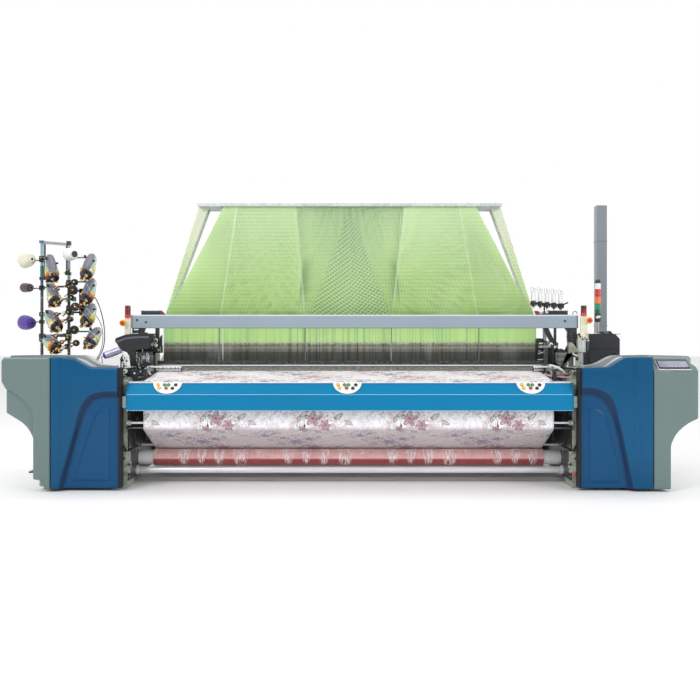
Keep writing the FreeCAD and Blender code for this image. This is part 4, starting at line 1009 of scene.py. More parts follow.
def harness_mat(name, lo, hi, top, lattice=1.0):
    """Green cord; the knots and splices on the cords stand in rows, which show as a fine lattice over the harness."""
    m = Mat(name)
    X, Y, Z = m.xyz(m.coord())
    x = X - XS
    t = (Z - 1.365) / 1.06
    u = x / (t * -0.322 + 1.0)
    n = m.noise(3.0, 3.0, 0.5, (1, 1, 0.4))
    col = m.mix(n.step(0.3, 0.7), lin(*lo), lin(*hi))
    col = m.mix(Z.step(1.35, 2.45), col, lin(*top))
    dark, pale = lin(*[c * 0.66 for c in lo]), lin(240, 252, 228)
    a = (u * 104.0 + Z * 92.0).sin()
    b = (u * 104.0 - Z * 98.0).sin()
    dots = (a * b) * 0.5 + 0.5
    patch = m.noise(2.2, 2.0, 0.5, (1, 1, 0.7)).step(0.35, 0.65)
    col = m.mix(dots.step(0.62, 0.95, 0.0, 0.42) * (patch * 0.7 + 0.3) * lattice, col, dark)
    col = m.mix(dots.step(0.05, 0.38, 0.30, 0.0) * (patch * 0.7 + 0.3) * lattice, col, pale)
    # outer sections: the cords themselves show as slanted strokes
    side = x.abs().step(0.86, 1.12)
    fine = (u * 190.0 - t * 9.0).sin() * 0.5 + 0.5
    col = m.mix(side * fine.step(0.6, 0.95, 0.0, 0.30) * t.step(0.25, 0.8), col, dark)
    # middle section: larger splices, on a triangle that narrows upwards
    tri = (x.abs() - (t * -0.405 + 0.405)).step(-0.03, 0.012, 1.0, 0.0)
    c = (u * 118.0 + Z * 30.0).sin()
    d = (Z * 178.0 - u.abs() * 24.0).sin()
    knots = (c * d) * 0.5 + 0.5
    col = m.mix(tri * knots.step(0.58, 0.85, 0.0, 0.80) * lattice, col, lin(236, 250, 222))
    col = m.mix(tri * knots.step(0.15, 0.42, 0.70, 0.0) * lattice, col, lin(96, 140, 92))
    # painted shade: where the sections cross, a darker teal wedge
    for sx, w in ((-1.0, 1.0), (1.0, 0.75)):
        edge = x * sx - (t * -0.11 + 0.475)
        crossing_shade = edge.step(-0.115, 0.0) * edge.step(0.004, 0.016, 1.0, 0.0) * t.step(0.10, 0.30) * t.step(0.42, 0.62, 1.0, 0.0)
        col = m.mix(crossing_shade * (0.55 * w), col, lin(96, 156, 116))
        foot = near(x * sx, 1.27, 0.05, 0.20) * t.step(0.02, 0.14, 1.0, 0.0)
        col = m.mix(foot * 0.6, col, lin(120, 178, 76))
        foot = near(x * sx, 0.60, 0.06, 0.24) * t.step(0.02, 0.12, 1.0, 0.0)
        col = m.mix(foot * 0.55, col, lin(120, 176, 80))
    for xb, xt in zip(SECT_B[1:-1], SECT_T[1:-1]):
        line = (x - (t * ((xt - xb) / 1000.0) + xb / 1000.0)).abs().step(0.004, 0.012, 1.0, 0.0)
        col = m.mix(line * 0.55, col, pale)
    fibre = m.noise(900.0, 2.0, 0.5, (1, 1, 0.25))
    col = m.mix(fibre * 0.2, col, lin(*[k * 0.8 for k in lo]))
    m.color(col)
    m.set(rough=0.62, spec=0.3, sheen=0.2)
    m.normal(m.bump(fibre, 0.3, 0.0004))
    return m.m


M["cord_green"] = harness_mat("harness_cord", (204, 238, 154), (220, 246, 178), (220, 244, 196))
# painted shade: a darker copy of the cord material
M["cord_deep"] = harness_mat("harness_cord_deep", (176, 226, 124), (192, 234, 146), (196, 234, 176))
M["cord_teal"] = harness_mat("harness_cord_teal", (170, 222, 180), (182, 228, 190), (168, 222, 196), 0.5)
M["cord_pale"] = harness_mat("harness_cord_pale", (196, 228, 160), (220, 238, 186), (240, 244, 222))


def bundle(g, pairs, y, w, yt=None, sag=0.0):
    """Straight cords, each a thin three-sided strand, from (bottom x) to (top x)."""
    yt = y if yt is None else yt
    f = (7755.0 + y) / 7773.0            # deeper rows are a little wider
    n = len(pairs)
    for i, (xb, xt) in enumerate(pairs):
        a = pairs[i + 1] if i + 1 < n else pairs[i - 1]
        wt = min(w, max(1.2, 0.96 * abs(a[1] - xt)))
        v = []
        for x, z, yy, r in ((xb * f, ZB, y, w / 2.0), (xt * f, ZT, yt, wt / 2.0)):
            v += [(x - r, yy, z), (x, yy - r, z), (x + r, yy, z)]
        g.put(v, [(0, 1, 4, 3), (1, 2, 5, 4), (2, 0, 3, 5)])


def fan(b0, b1, t0, t1, pitch, off=0.0, bend=0.0):
    n = max(2, int(abs(b1 - b0) / pitch))
    out = []
    for i in range(n):
        t = (i + 0.5 + off) / n
        t = min(1.0, max(0.0, t))
        out.append((b0 + (b1 - b0) * t, t0 + (t1 - t0) * (t + bend * t * (1 - t))))
    return out


# front and back layers follow the section widths, so their pitch closes up towards the top
g = Geo(0)
for k, y in enumerate((18, 66, 138, 190)):
    pr_ = []
    for i in range(5):
        pr_ += fan(SECT_B[i], SECT_B[i + 1], SECT_T[i], SECT_T[i + 1], 8.6, off=0.23 * k, bend=0.03 * (k - 1.5))
    bundle(g, pr_, y, 4.6 if y < 190 else 8.4)
g.make("harness_cords_1", ["cord_green"], "frame", "harness_green", angle=80)

# sections that run to the narrow board above them: these cross the others
g = Geo(0)
for k, (y, i, a, b) in enumerate(((42, 1, -1040, -560), (54, 1, -900, -480), (90, 2, -60, 40), (102, 2, -640, 560), (42, 3, 470, 1040),
                                  (54, 3, 480, 900))):
    bundle(g, fan(SECT_B[i], SECT_B[i + 1], a, b, 8.2, off=0.1 * k), y, 3.6)
for k, (y, i, a, b) in enumerate(((114, 0, -1152, -700), (114, 4, 700, 1152), (126, 1, -1150, -220), (126, 3, 220, 1150),
                                  (162, 2, -420, 420), (150, 0, -1150, -1000), (150, 4, 1000, 1150))):
    bundle(g, fan(SECT_B[i], SECT_B[i + 1], a, b, 8.2, off=0.13 * k), y, 4.4)
g.make("harness_cords_2", ["cord_green"], "frame", "harness_green", angle=80)

g = Geo(0)
for k, (y, i, a, b) in enumerate(((30, 1, -1060, -640), (174, 1, -760, -560), (30, 3, 640, 1060), (174, 3, 560, 760),
                                  (78, 2, -160, 160))):
    bundle(g, fan(SECT_B[i], SECT_B[i + 1], a, b, 9.2, off=0.1 * k), y, 2.6)
g.at(1)
for i, a, b in ((1, -640, -500), (3, 500, 640)):
    w = SECT_B[i + 1] - SECT_B[i]
    c0, c1 = (SECT_B[i] + w * 0.5, SECT_B[i + 1]) if i == 1 else (SECT_B[i], SECT_B[i] + w * 0.5)
    bundle(g, fan(c0, c1, a, b, 7.6), 84, 2.8)
bundle(g, fan(SECT_B[2] + 40, SECT_B[3] - 40, -330, 300, 13.0), 60, 2.6)
g.make("harness_cords_3", ["cord_deep", "cord_teal"], "frame", "harness_green", angle=80)

# selvedge cords at both sides
g = Geo(0)
for y in (38, 50, 62, 158, 170, 182):
    for s in (-1, 1):
        bundle(g, [(s * (1681 + 23 * t), s * (1284 + 91 * t)) for t in [i / 11.0 for i in range(12)]], y, 3.2)
g.make("harness_side_cords", ["cord_pale"], "frame", "harness_green", angle=80)

# glass and wooden guide: rows of knots above the board
g = Geo(0)
for k, y in enumerate((20, 80, 140, 200)):
    for i in range(5):
        for xb, xt in fan(SECT_B[i], SECT_B[i + 1], SECT_T[i], SECT_T[i + 1], 17.2, off=0.1 * k):
            z = ZT - 30.0 - 9.0 * ((int(xb * 7) ^ k) % 5)
            x = xb + (xt - xb) * (z - ZB) / (ZT - ZB)
            g.lathe((x, y, z), (0, 0, 1), [(-5, 0), (0, 2.6), (5, 0)], 5)
g.make("harness_knots", [surf("knot_cord", (236, 240, 214), 0.6, var=0.05, vscale=30, bump=0.3, bscale=900)], "frame", "harness_green",
       angle=80)

# comber board, divided in five plates; its rows of holes are not drawn
g = Geo(0)
g.box(-1850, 1850, -20, 300, 1355, 1365)
for sx in (-1830, 1830):
    for ya, yb in ((-10, 30), (240, 280)):
        a, b = {(-1, -10): (-1770, -1742), (-1, 240): (-1826, -1800), (1, -10): (1766, 1794), (1, 240): (1824, 1850)}[(1 if sx > 0 else -1, ya)]
        g.box(a, b, ya, yb, 1180, 1355)
        g.box(min(a, 1800) if sx > 0 else -1840, 1840 if sx > 0 and ya < 0 else (1850 if sx > 0 else b), ya, yb, 1180, 1192)
g.box(-1850, 1850, -24, -14, 1347, 1371)
g.box(-1850, 1850, 294, 304, 1347, 1371)
for x in [-1850 + 6] + SECT_B[1:-1] + [1850 - 6]:
    g.box(x - 5, x + 5, -18, 298, 1365, 1369)
g.at(1)
for sx in (-1830, 1830):
    for y in (10, 260):
        g.bolt((sx - 12, y - 10, 1365), (0, 0, 1), 6)
        g.bolt((sx + 12, y + 10, 1365), (0, 0, 1), 6)
# plate of the machine above and the struts
g.at(0)
g.box(-1390, 1390, -10, 300, 2425, 2440)
g.box(-1390, 1390, -14, -6, 2419, 2446)
g.box(-1390, 1390, 296, 304, 2419, 2446)
for k in range(12):
    x = -1320 + k * 240
    g.box(x - 4, x + 4, -8, 298, 2440, 2452)
for s in (-1, 1):
    g.prism([(s * 1735, 1365), (s * 1705, 1365), (s * 1315, 2425), (s * 1345, 2425)], "xz", 255, 285)
    g.at(1)
    g.bolt((s * 1718, 254, 1390), (0, -1, 0), 6)
    g.bolt((s * 1332, 254, 2398), (0, -1, 0), 6)
    g.at(0)
g.make("harness_frame", ["board", "zinc"], "frame", "board_grey", bevel=1.2, replaces=["harness_boards"])

# below the rail: cords, connectors, heddles and the springs that pull them down
def thread_mat(name, stops, scale=1.0, rough=0.55, metal=0.0, dark=0.12, tint=(), glow=0.0):
    """Colour by height, with each strand a little different."""
    m = Mat(name)
    X, Y, Z = m.xyz(m.coord())
    ramp = m.node("ShaderNodeValToRGB")
    z0, z1 = stops[0][0], stops[-1][0]
    m.link((Z - z0) / (z1 - z0), ramp.inputs["Fac"])
    el = ramp.color_ramp.elements
    while len(el) < len(stops):
        el.new(0.5)
    for e, (z, c) in zip(el, stops):
        e.position = (z - z0) / (z1 - z0)
        e.color = (*lin(*c), 1)
    strand = m.noise(1.0, 2.0, 0.6, (260.0 * scale, 30.0, 0.6))
    col = m.mix(strand.step(0.30, 0.70) * dark, ramp.outputs["Color"], (0.03, 0.035, 0.03))
    for k, c in enumerate(tint):
        band = m.noise(1.0, 2.0, 0.6, (38.0 + 9.0 * k, 3.0, 0.2))
        col = m.mix(band.step(0.52, 0.68) * 0.45, col, lin(*c))
    streak = m.noise(1.0, 2.0, 0.7, (74.0, 2.0, 0.25))
    col = m.mix(streak.step(0.46, 0.66) * (dark * 2.2), col, (0.02, 0.025, 0.02))
    # painted light: an emission that brightens the cords and heddles in the shade under the rail
    if glow:
        m.nt.links.new(col, m.b.inputs["Emission Color"])
        m.set(emit=glow)
    m.color(col)
    m.set(rough=rough, metal=metal)
    fibre = m.noise(700.0, 2.0, 0.5)
    m.normal(m.bump(fibre, 0.2, 0.0004))
    return m.m


M["heddle_line"] = thread_mat("heddle_line", [(1.160, (196, 214, 176)), (1.196, (208, 238, 170)), (1.30, (220, 246, 186)), (1.356, (204, 236, 160))],
                              dark=0.12, tint=((120, 200, 176), (236, 232, 140)), glow=0.30)
M["heddle_wire"] = thread_mat("heddle_wire", [(0.90, (58, 60, 62)), (1.0, (66, 68, 68)), (1.02, (100, 104, 102)), (1.088, (112, 114, 108)), (1.097, (168, 164, 154)),
                                              (1.16, (190, 188, 178)), (1.36, (60, 62, 60))], rough=0.5, metal=0.0, dark=0.30,
                              tint=((128, 104, 88), (96, 112, 108)), glow=0.10)
M["connector"] = surf("heddle_connector", (232, 232, 224), 0.45, var=0.05, vscale=30, bump=0.1)
M["spring_wire"] = surf("return_spring", (150, 150, 146), 0.34, 0.9, var=0.15, vscale=40, bump=0.2, bscale=500)

import random
rnd = random.Random(7)
HED = [(-1700 + 9.0 * i + 4.5) for i in range(-6, 384)]


def strip_stack(g, x, y, w, z0, z1, x1=None):
    r = w / 2.0
    x1 = x if x1 is None else x1
    v = []
    for z, xx in ((z0, x), (z1, x1)):
        v += [(xx - r, y, z), (xx, y - r, z), (xx + r, y, z)]
    g.put(v, [(0, 1, 4, 3), (1, 2, 5, 4), (2, 0, 3, 5)])


YROW = (18, 42, 66, 90, 128, 152, 176, 200)
OFF = [o - 4.0 for o in (0, 4.5, 2.2, 6.7, 1.1, 5.6, 3.4, 7.9)]
gl, gw, gc, gs, gd = Geo(0), Geo(0), Geo(0), Geo(0), Geo(0)
for i, x in enumerate(HED):
    if min(abs(x - s) for s in SECT_B[1:-1]) < 4.0:
        continue
    for k, y in enumerate(YROW):
        xx = x + OFF[k]
        if abs(xx) > 1702.0 * (7755.0 + y) / 7773.0:
            continue
        zc = 1172.0 + rnd.uniform(-12, 12)
        strip_stack(gl, xx, y, 4.4 if k < 7 else 8.8, zc, 1356.0)
        strip_stack(gw, xx, y, 3.5 if k < 7 else 8.6, 905.0, zc)
        if k < 4:
            gc.lathe((xx, y, zc - 8), (0, 0, 1), [(0, 0), (2, 2.3), (18, 2.3), (20, 0)], 4)
        if k % 2 == 0:
            z2 = 1128.0 + rnd.uniform(-5, 5)
            gc.lathe((xx, y, z2 - 5), (0, 0, 1), [(0, 0), (2, 2.2), (10, 2.2), (12, 0)], 4)
        if k % 2 == 1:
            strip_stack(gs, xx, y, 2.6, 384.0, 720.0)
for x in SECT_B[1:-1]:
    gd.box(x - 4.0, x + 4.0, 9.0, 13.0, 960.0, 1356.0)
gl.make("harness_lines", ["heddle_line"], "frame", "harness_green", angle=80)
gw.make("heddle_wires", ["heddle_wire"], "frame", "harness_green", angle=80, replaces=["harness"])
gc.make("heddle_connectors", ["connector"], "frame", "harness_green", angle=80)
# lower heddle wire and spring row down to the anchor bar
gd.make("section_plates", ["sley_paint"], "frame", "board_grey")
gd = Geo(0)
for i, x in enumerate(HED):
    for k, y in enumerate(YROW):
        if k % 2 == 1 and abs(x + OFF[k]) < 1702.0 * (7755.0 + y) / 7773.0:
            strip_stack(gd, x + OFF[k], y, 1.4, 720.0, 905.0)
gd.make("heddle_tails", ["heddle_wire"], "frame", "harness_green", angle=80)
gs.make("return_springs", ["spring_wire"], "frame", "harness_green", angle=80)
# ------------------------------------------------------------------ cloth, roll, warp
def plate(g, loops, tf, t):
    """Flat plate with holes: loops are closed outlines in its own plane, the first one outside."""
    cu = bpy.data.curves.new("plate_tmp", "CURVE")
    cu.dimensions = "2D"
    cu.fill_mode = "BOTH"
    for lp in loops:
        sp = cu.splines.new("POLY")
        sp.points.add(len(lp) - 1)
        for p, q in zip(sp.points, lp):
            p.co = (q[0], q[1], 0, 1)
        sp.use_cyclic_u = True
    cu.extrude = t / 2.0
    ob = bpy.data.objects.new("plate_tmp", cu)
    me = ob.to_mesh()
    v = [tuple(tf @ p.co) for p in me.vertices]
    f = [tuple(p.vertices) for p in me.polygons]
    g.put(v, f)
    ob.to_mesh_clear()
    bpy.data.objects.remove(ob)
    bpy.data.curves.remove(cu)
    return g


def circle(cx, cy, r, n=32, rev=False):
    p = [(cx + r * math.cos(2 * math.pi * i / n), cy + r * math.sin(2 * math.pi * i / n)) for i in range(n)]
    return p[::-1] if rev else p


def frame_x(x, y, z):
    """Plane facing along x: its own axes are y and z."""
    return Matrix(((0, 0, 1, x), (1, 0, 0, y), (0, 1, 0, z), (0, 0, 0, 1)))


def frame_y(x, y, z):
    return Matrix(((1, 0, 0, x), (0, 0, 1, y), (0, 1, 0, z), (0, 0, 0, 1)))


class Floral:
    """Line-art blossoms, leaves and stems that repeat over the cloth. Lengths are metres on the cloth."""

    def __init__(self, m, u, v, pu, pv):
        self.m, self.nt = m, m.nt
        self.u, self.v, self.pu, self.pv = u, v, pu, pv

    def cell(self, ou, ov):
        return ((self.u + ou).wrap(-self.pu / 2, self.pu / 2), (self.v + ov).wrap(-self.pv / 2, self.pv / 2))

    def flower(self, c, cx, cy, R, n, ph, dent=0.24, w=0.0014):
        dx, dy = c[0] - cx, c[1] - cy
        r = (dx * dx + dy * dy).sqrt()
        th = dy.atan2(dx)
        edge = ((th * float(n) + ph).sin() * dent + (1.0 - dent)) * R
        d = r - edge
        fill = d.step(-0.001, 0.001, 1.0, 0.0)
        line = d.abs().step(w * 0.5, w, 1.0, 0.0)
        ribs = (th * float(n * 2) + ph).sin().step(0.80, 0.98) * r.step(R * 0.25, R * 0.35) * fill
        core = r.step(R * 0.16, R * 0.22, 1.0, 0.0)
        return fill, line.max(ribs * 0.55), core

    def arc(self, c, cx, cy, R, mid, half, w=0.0015):
        dx, dy = c[0] - cx, c[1] - cy
        r = (dx * dx + dy * dy).sqrt()
        th = dy.atan2(dx)
        win = (th - mid).cos().step(math.cos(half), math.cos(half) + 0.02)
        return (r - R).abs().step(w * 0.5, w, 1.0, 0.0) * win

    def leaf(self, c, cx, cy, a, b, rot, w=0.0012):
        dx, dy = c[0] - cx, c[1] - cy
        co, si = math.cos(rot), math.sin(rot)
        lu, lv = dx * co + dy * si, dy * co - dx * si
        q = ((lu / a) * (lu / a) + (lv.abs() / b + (lu / a) * (lu / a) * 0.35)).sqrt()
        d = q - 1.0
        fill = d.step(-0.05, 0.05, 1.0, 0.0)
        line = d.abs().step(w / b * 0.5, w / b, 1.0, 0.0)
        rib = lv.abs().step(w * 0.4, w * 0.8, 1.0, 0.0) * fill
        return fill, line.max(rib)


def fold(vals):
    out = vals[0]
    for v in vals[1:]:
        out = out.max(v)
    return out


def uv_of(m):
    n = m.node("ShaderNodeUVMap", uv_map="cloth")
    s = m.xyz(n.outputs["UV"])
    return s[0], s[1]


def weave_bump(m, u, v, strength=0.25, base=None, scale=1.0):
    a = (u * (2 * math.pi / (0.0012 * scale))).sin()
    b = (v * (2 * math.pi / (0.0012 * scale))).sin()
    return m.bump(a * b, strength, 0.0003, base)


def motif_cloth(name, ground, ground2, line_c, pink, violet, leafc, grime):
    m = Mat(name)
    u, v = uv_of(m)
    PU, PV = 0.78, 0.52
    k = 2 * math.pi / PU

    # lengths wrapped round the repeat, so every repeat of the pattern is alike
    def around(scale, detail, rough, dist, seed, stretch=1.0):
        n = m.node("ShaderNodeTexNoise")
        n.inputs["Scale"].default_value = scale
        n.inputs["Detail"].default_value = detail
        n.inputs["Roughness"].default_value = rough
        n.inputs["Distortion"].default_value = dist
        c = m.node("ShaderNodeCombineXYZ")
        m.link(((u + 1.5707963 / k) * k).sin() * (PU / (2 * math.pi)) + seed, c.inputs[0])
        m.link((u * k).sin() * (PU / (2 * math.pi)), c.inputs[1])
        m.link(v * stretch, c.inputs[2])
        m.link(c.outputs[0], n.inputs["Vector"])
        return Val(m.nt, n.outputs["Fac"])

    wob = around(9.0, 3.0, 0.5, 0.0, 0.3)
    wob2 = around(8.0, 3.0, 0.5, 0.0, 1.7)
    u2 = u + (wob - 0.5) * 0.030
    v2 = v + (wob2 - 0.5) * 0.026
    F = Floral(m, u2, v2, PU, PV)
    A, B = F.cell(0.11, 0.05), F.cell(0.50, 0.31)
    fl, ln, core, lf, ll = [], [], [], [], []
    for c, spec in ((A, [(-0.19, 0.10, 0.066, 5, 0.3), (-0.09, 0.045, 0.048, 6, 1.0), (-0.27, 0.01, 0.040, 5, 2.0)]),
                    (B, [(0.05, -0.03, 0.070, 6, 0.8), (0.16, 0.045, 0.044, 5, 0.2), (-0.05, 0.07, 0.034, 5, 1.4)]),
                    (A, [(0.20, -0.13, 0.040, 5, 0.5), (0.27, -0.08, 0.026, 5, 1.5)])):
        for s_ in spec:
            f, l, kk = F.flower(c, *s_, w=0.0027)
            fl.append((f, s_[2]))
            ln.append(l)
            core.append(kk)
            # a second ring of petals inside the first
            f, l, kk = F.flower(c, s_[0] + 0.004, s_[1] - 0.003, s_[2] * 0.58, s_[3], s_[4] + 1.1, dent=0.3, w=0.0022)
            ln.append(l * 0.8)
    st = [F.arc(A, -0.05, 0.02, 0.135, 2.2, 0.95), F.arc(A, 0.08, -0.04, 0.12, -0.9, 1.0), F.arc(A, -0.26, -0.08, 0.10, 1.1, 0.9),
          F.arc(B, 0.02, -0.12, 0.13, 1.3, 0.8), F.arc(B, 0.20, 0.06, 0.12, -2.3, 0.9), F.arc(B, -0.14, 0.10, 0.14, -0.6, 0.9),
          F.arc(A, 0.23, -0.02, 0.09, -1.2, 0.9), F.arc(B, -0.22, -0.10, 0.11, 0.5, 0.8)]
    for c, spec in ((A, [(0.02, 0.12, 0.046, 0.015, 0.7), (0.10, 0.07, 0.042, 0.014, -0.5), (-0.15, -0.03, 0.046, 0.015, 2.2),
                         (0.02, -0.13, 0.042, 0.013, 0.3), (-0.30, 0.10, 0.040, 0.014, 1.2)]),
                    (B, [(-0.07, -0.07, 0.046, 0.015, -0.8), (0.13, -0.12, 0.044, 0.014, 0.5), (0.24, 0.10, 0.040, 0.013, 1.9),
                         (-0.16, 0.02, 0.038, 0.013, 2.6), (0.05, 0.14, 0.042, 0.014, 0.1)])):
        for s_ in spec:
            f, l = F.leaf(c, *s_)
            lf.append(f)
            ll.append(l)
    # winding twigs: the level lines of two smooth fields, kept near the sprays
    def spray(c, cx, cy, rx, ry):
        dx, dy = (c[0] - cx) / rx, (c[1] - cy) / ry
        return (dx * dx + dy * dy).sqrt().step(0.75, 1.0, 1.0, 0.0)

    near = fold([spray(A, -0.15, 0.03, 0.26, 0.16), spray(B, 0.06, 0.0, 0.28, 0.16), spray(A, 0.22, -0.10, 0.18, 0.12)])
    n1, n2 = around(15.0, 2.0, 0.45, 0.6, 0.9), around(26.0, 2.0, 0.5, 0.9, 2.3)
    tw = (n1 - 0.47).abs().step(0.0036, 0.0090, 1.0, 0.0).max((n1 - 0.56).abs().step(0.0032, 0.0080, 1.0, 0.0)) \
        .max((n2 - 0.52).abs().step(0.0035, 0.0090, 1.0, 0.0) * 0.8) * (near * 0.55 + 0.45)
    petals = fold([f for f, _ in fl[:3]] + [fl[5][0]])
    petals2 = fold([f for f, _ in fl[3:5]] + [f for f, _ in fl[6:]])
    lines = fold(ln + st + ll)
    leaves = fold(lf)
    big = m.noise(2.2, 4.0, 0.6)
    X, Y, Z = m.xyz(m.coord())
    col = m.mix(big.step(0.35, 0.7), lin(*ground), lin(*ground2))
    # painted light and shade: the length above the guide bar is painted near white, as lit, and the length below it
    # darker, as shaded
    col = m.mix(Z.step(0.484, 0.506) * Z.step(0.70, 0.80, 1.0, 0.0), col, lin(252, 250, 252))
    col = m.mix(Z.step(0.470, 0.492, 0.55, 0.0), col, lin(206, 192, 190))
    col = m.mix(Y.step(-0.93, -0.90, 1.0, 0.0) * Z.step(0.84, 0.86), col, lin(150, 96, 98))
    # faint self-coloured figure woven in the ground
    fig = m.noise(26.0, 2.0, 0.5, (1, 1, 1), 1.2).step(0.50, 0.54)
    col = m.mix(fig * 0.30, col, lin(*grime))
    wash = around(13.0, 3.0, 0.55, 0.4, 3.1).step(0.47, 0.57) * (near * 0.55 + 0.45)
    col = m.mix(wash * 0.62, col, lin(214, 188, 194))
    col = m.mix(leaves * 0.35, col, lin(*leafc))
    tint = m.noise(40.0, 2.0)
    col = m.mix(petals * (tint * 0.5 + 0.45), col, lin(*pink))
    col = m.mix(petals2 * (tint * 0.5 + 0.45), col, lin(*violet))
    col = m.mix(tw * 0.95, col, lin(70, 52, 60))
    col = m.mix(lines * 0.95, col, lin(*line_c))
    col = m.mix(fold(core) * 0.7, col, lin(120, 64, 84))
    m.color(col)
    m.set(rough=0.72, spec=0.25, sheen=0.25)
    m.normal(weave_bump(m, u, v, 0.3, m.bump(lines, 0.15, 0.0004)))
    return m.m


M["cloth"] = motif_cloth("cloth_floral", (236, 233, 236), (224, 219, 224), (52, 42, 54), (198, 146, 160), (156, 146, 190), (158, 170, 152), (192, 186, 194))


def grid_mesh(name, rows, uvs, mats, body="frame", thick=0.0, replaces=(), closed=False, offset=0.0):
    """Surface through rows of points in mm; uvs holds metres on the cloth."""
    nr, nc = len(rows), len(rows[0])
    v = [(p[0] / 1000 + XS, p[1] / 1000, p[2] / 1000) for r in rows for p in r]
    f = [(i * nc + j, i * nc + j + 1, (i + 1) * nc + j + 1, (i + 1) * nc + j) for i in range(nr - 1) for j in range(nc - 1)]
    me = bpy.data.meshes.new(name)
    me.from_pydata(v, [], f)
    lay = me.uv_layers.new(name="cloth")
    flat = []
    for p in me.polygons:
        for k in p.vertices:
            flat += uvs[k // nc][k % nc]
    lay.data.foreach_set("uv", flat)
    for mt in mats:
        me.materials.append(M[mt] if isinstance(mt, str) else mt)
    me.polygons.foreach_set("use_smooth", [True] * len(me.polygons))
    me.update()
    ob = bpy.data.objects.new(name, me)
    bpy.context.scene.collection.objects.link(ob)
    if thick:
        md = ob.modifiers.new("cloth", "SOLIDIFY")
        md.thickness = thick / 1000.0
        md.offset = offset
    if body:
        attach(ob, body)
    if replaces:
        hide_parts(*replaces)
    return ob


BRE = (-880.0, 848.0, 19.0)
ROL = (-490.0, 200.0, 72.0)
FELLP = (-356.0, 930.0)
t0 = (ROL[0] + 0.4284 * 75.5, ROL[1] + 0.9036 * 75.5)
legs = [[t0, (-899.6, 480.0)], [(-899.6, 480.0), (-900.0, 848.0)]]
arcp = [(BRE[0] + 20 * math.cos(math.radians(180 - 84 * i / 10)), BRE[1] + 20 * math.sin(math.radians(180 - 84 * i / 10))) for i in range(11)]
path = []
for (a, b), n in zip(legs, (26, 22)):
    for i in range(n):
        t = i / n
        path.append((a[0] + (b[0] - a[0]) * t, a[1] + (b[1] - a[1]) * t))
path += arcp
n = 26
for i in range(1, n + 1):
    t = i / n
    path.append((arcp[-1][0] + (FELLP[0] - arcp[-1][0]) * t, arcp[-1][1] + (FELLP[1] - arcp[-1][1]) * t))
# soften the turn under the front cover
for _ in range(1):
    path = [path[0]] + [tuple((path[i - 1][k] + 2 * path[i][k] + path[i + 1][k]) / 4 for k in range(2)) if 22 < i < 30 else path[i]
                        for i in range(1, len(path) - 1)] + [path[-1]]
dist = [0.0]
for a, b in zip(path, path[1:]):
    dist.append(dist[-1] + math.hypot(b[0] - a[0], b[1] - a[1]))
L = dist[-1] / 1000.0
NC = 150
rows, uvs = [], []
for i, p in enumerate(path):
    a, b = path[max(0, i - 1)], path[min(len(path) - 1, i + 1)]
    d = Vector((b[0] - a[0], b[1] - a[1])).normalized()
    nrm = (-d[1], d[0])
    free = smooth01(min(dist[i], abs(dist[i] - dist[26]), abs(dist[i] - dist[48])) / 90.0) if i < 48 else \
        smooth01(min(dist[i] - dist[58], dist[-1] - dist[i]) / 120.0) * 0.5
    row, uvr = [], []
    for j in range(NC + 1):
        x = -1665.0 + 3310.0 * j / NC
        w = 0.7 * math.sin(x / 61.0 + 1.3 * math.sin(dist[i] / 190.0)) + 0.6 * noise.noise(Vector((x / 140.0, dist[i] / 210.0, 3.0)))
        o = 1.0 + free * w
        row.append((x, p[0] + nrm[0] * o, p[1] + nrm[1] * o))
        uvr.append((x / 1000.0, dist[i] / 1000.0))
    rows.append(row)
    uvs.append(uvr)
web = grid_mesh("cloth_web_woven", rows, uvs, ["cloth"], "frame", thick=1.0, replaces=["cloth_web"])
CLOTH_LEN = L

# selvedge of the cloth, a tighter band along each edge
sv = motif_band = Mat("selvedge")
u, v = uv_of(sv)
sv.color(sv.mix((v * 900.0).sin().step(-0.2, 0.2), lin(206, 196, 204), lin(150, 70, 84)))
sv.set(rough=0.7, sheen=0.2)
sv.normal(weave_bump(sv, u, v, 0.4))
M["selvedge"] = sv.m

# dark weft bar line in front of the fell, woven when the machine last stopped
g = Geo(0)
for i in range(60):
    x = -1640 + 3260 * i / 60.0
    k = 0.25 + 0.75 * abs(math.sin(i * 1.7))
    yb_ = -848.0 + 3.0 * math.sin(i * 0.9)
    zb_ = 872.6 + (yb_ + 882) * 0.1182
    g.bar((x, yb_, zb_ + 0.3), (x + 54 * k, yb_ + 2 * math.sin(i), zb_ + 0.4), 2.6, 0.8)
g.make("weft_bars", [surf("weft_mark", (126, 70, 76), 0.7, var=0.3, vscale=20, bump=0.2, bscale=700)], "frame", "cloth")

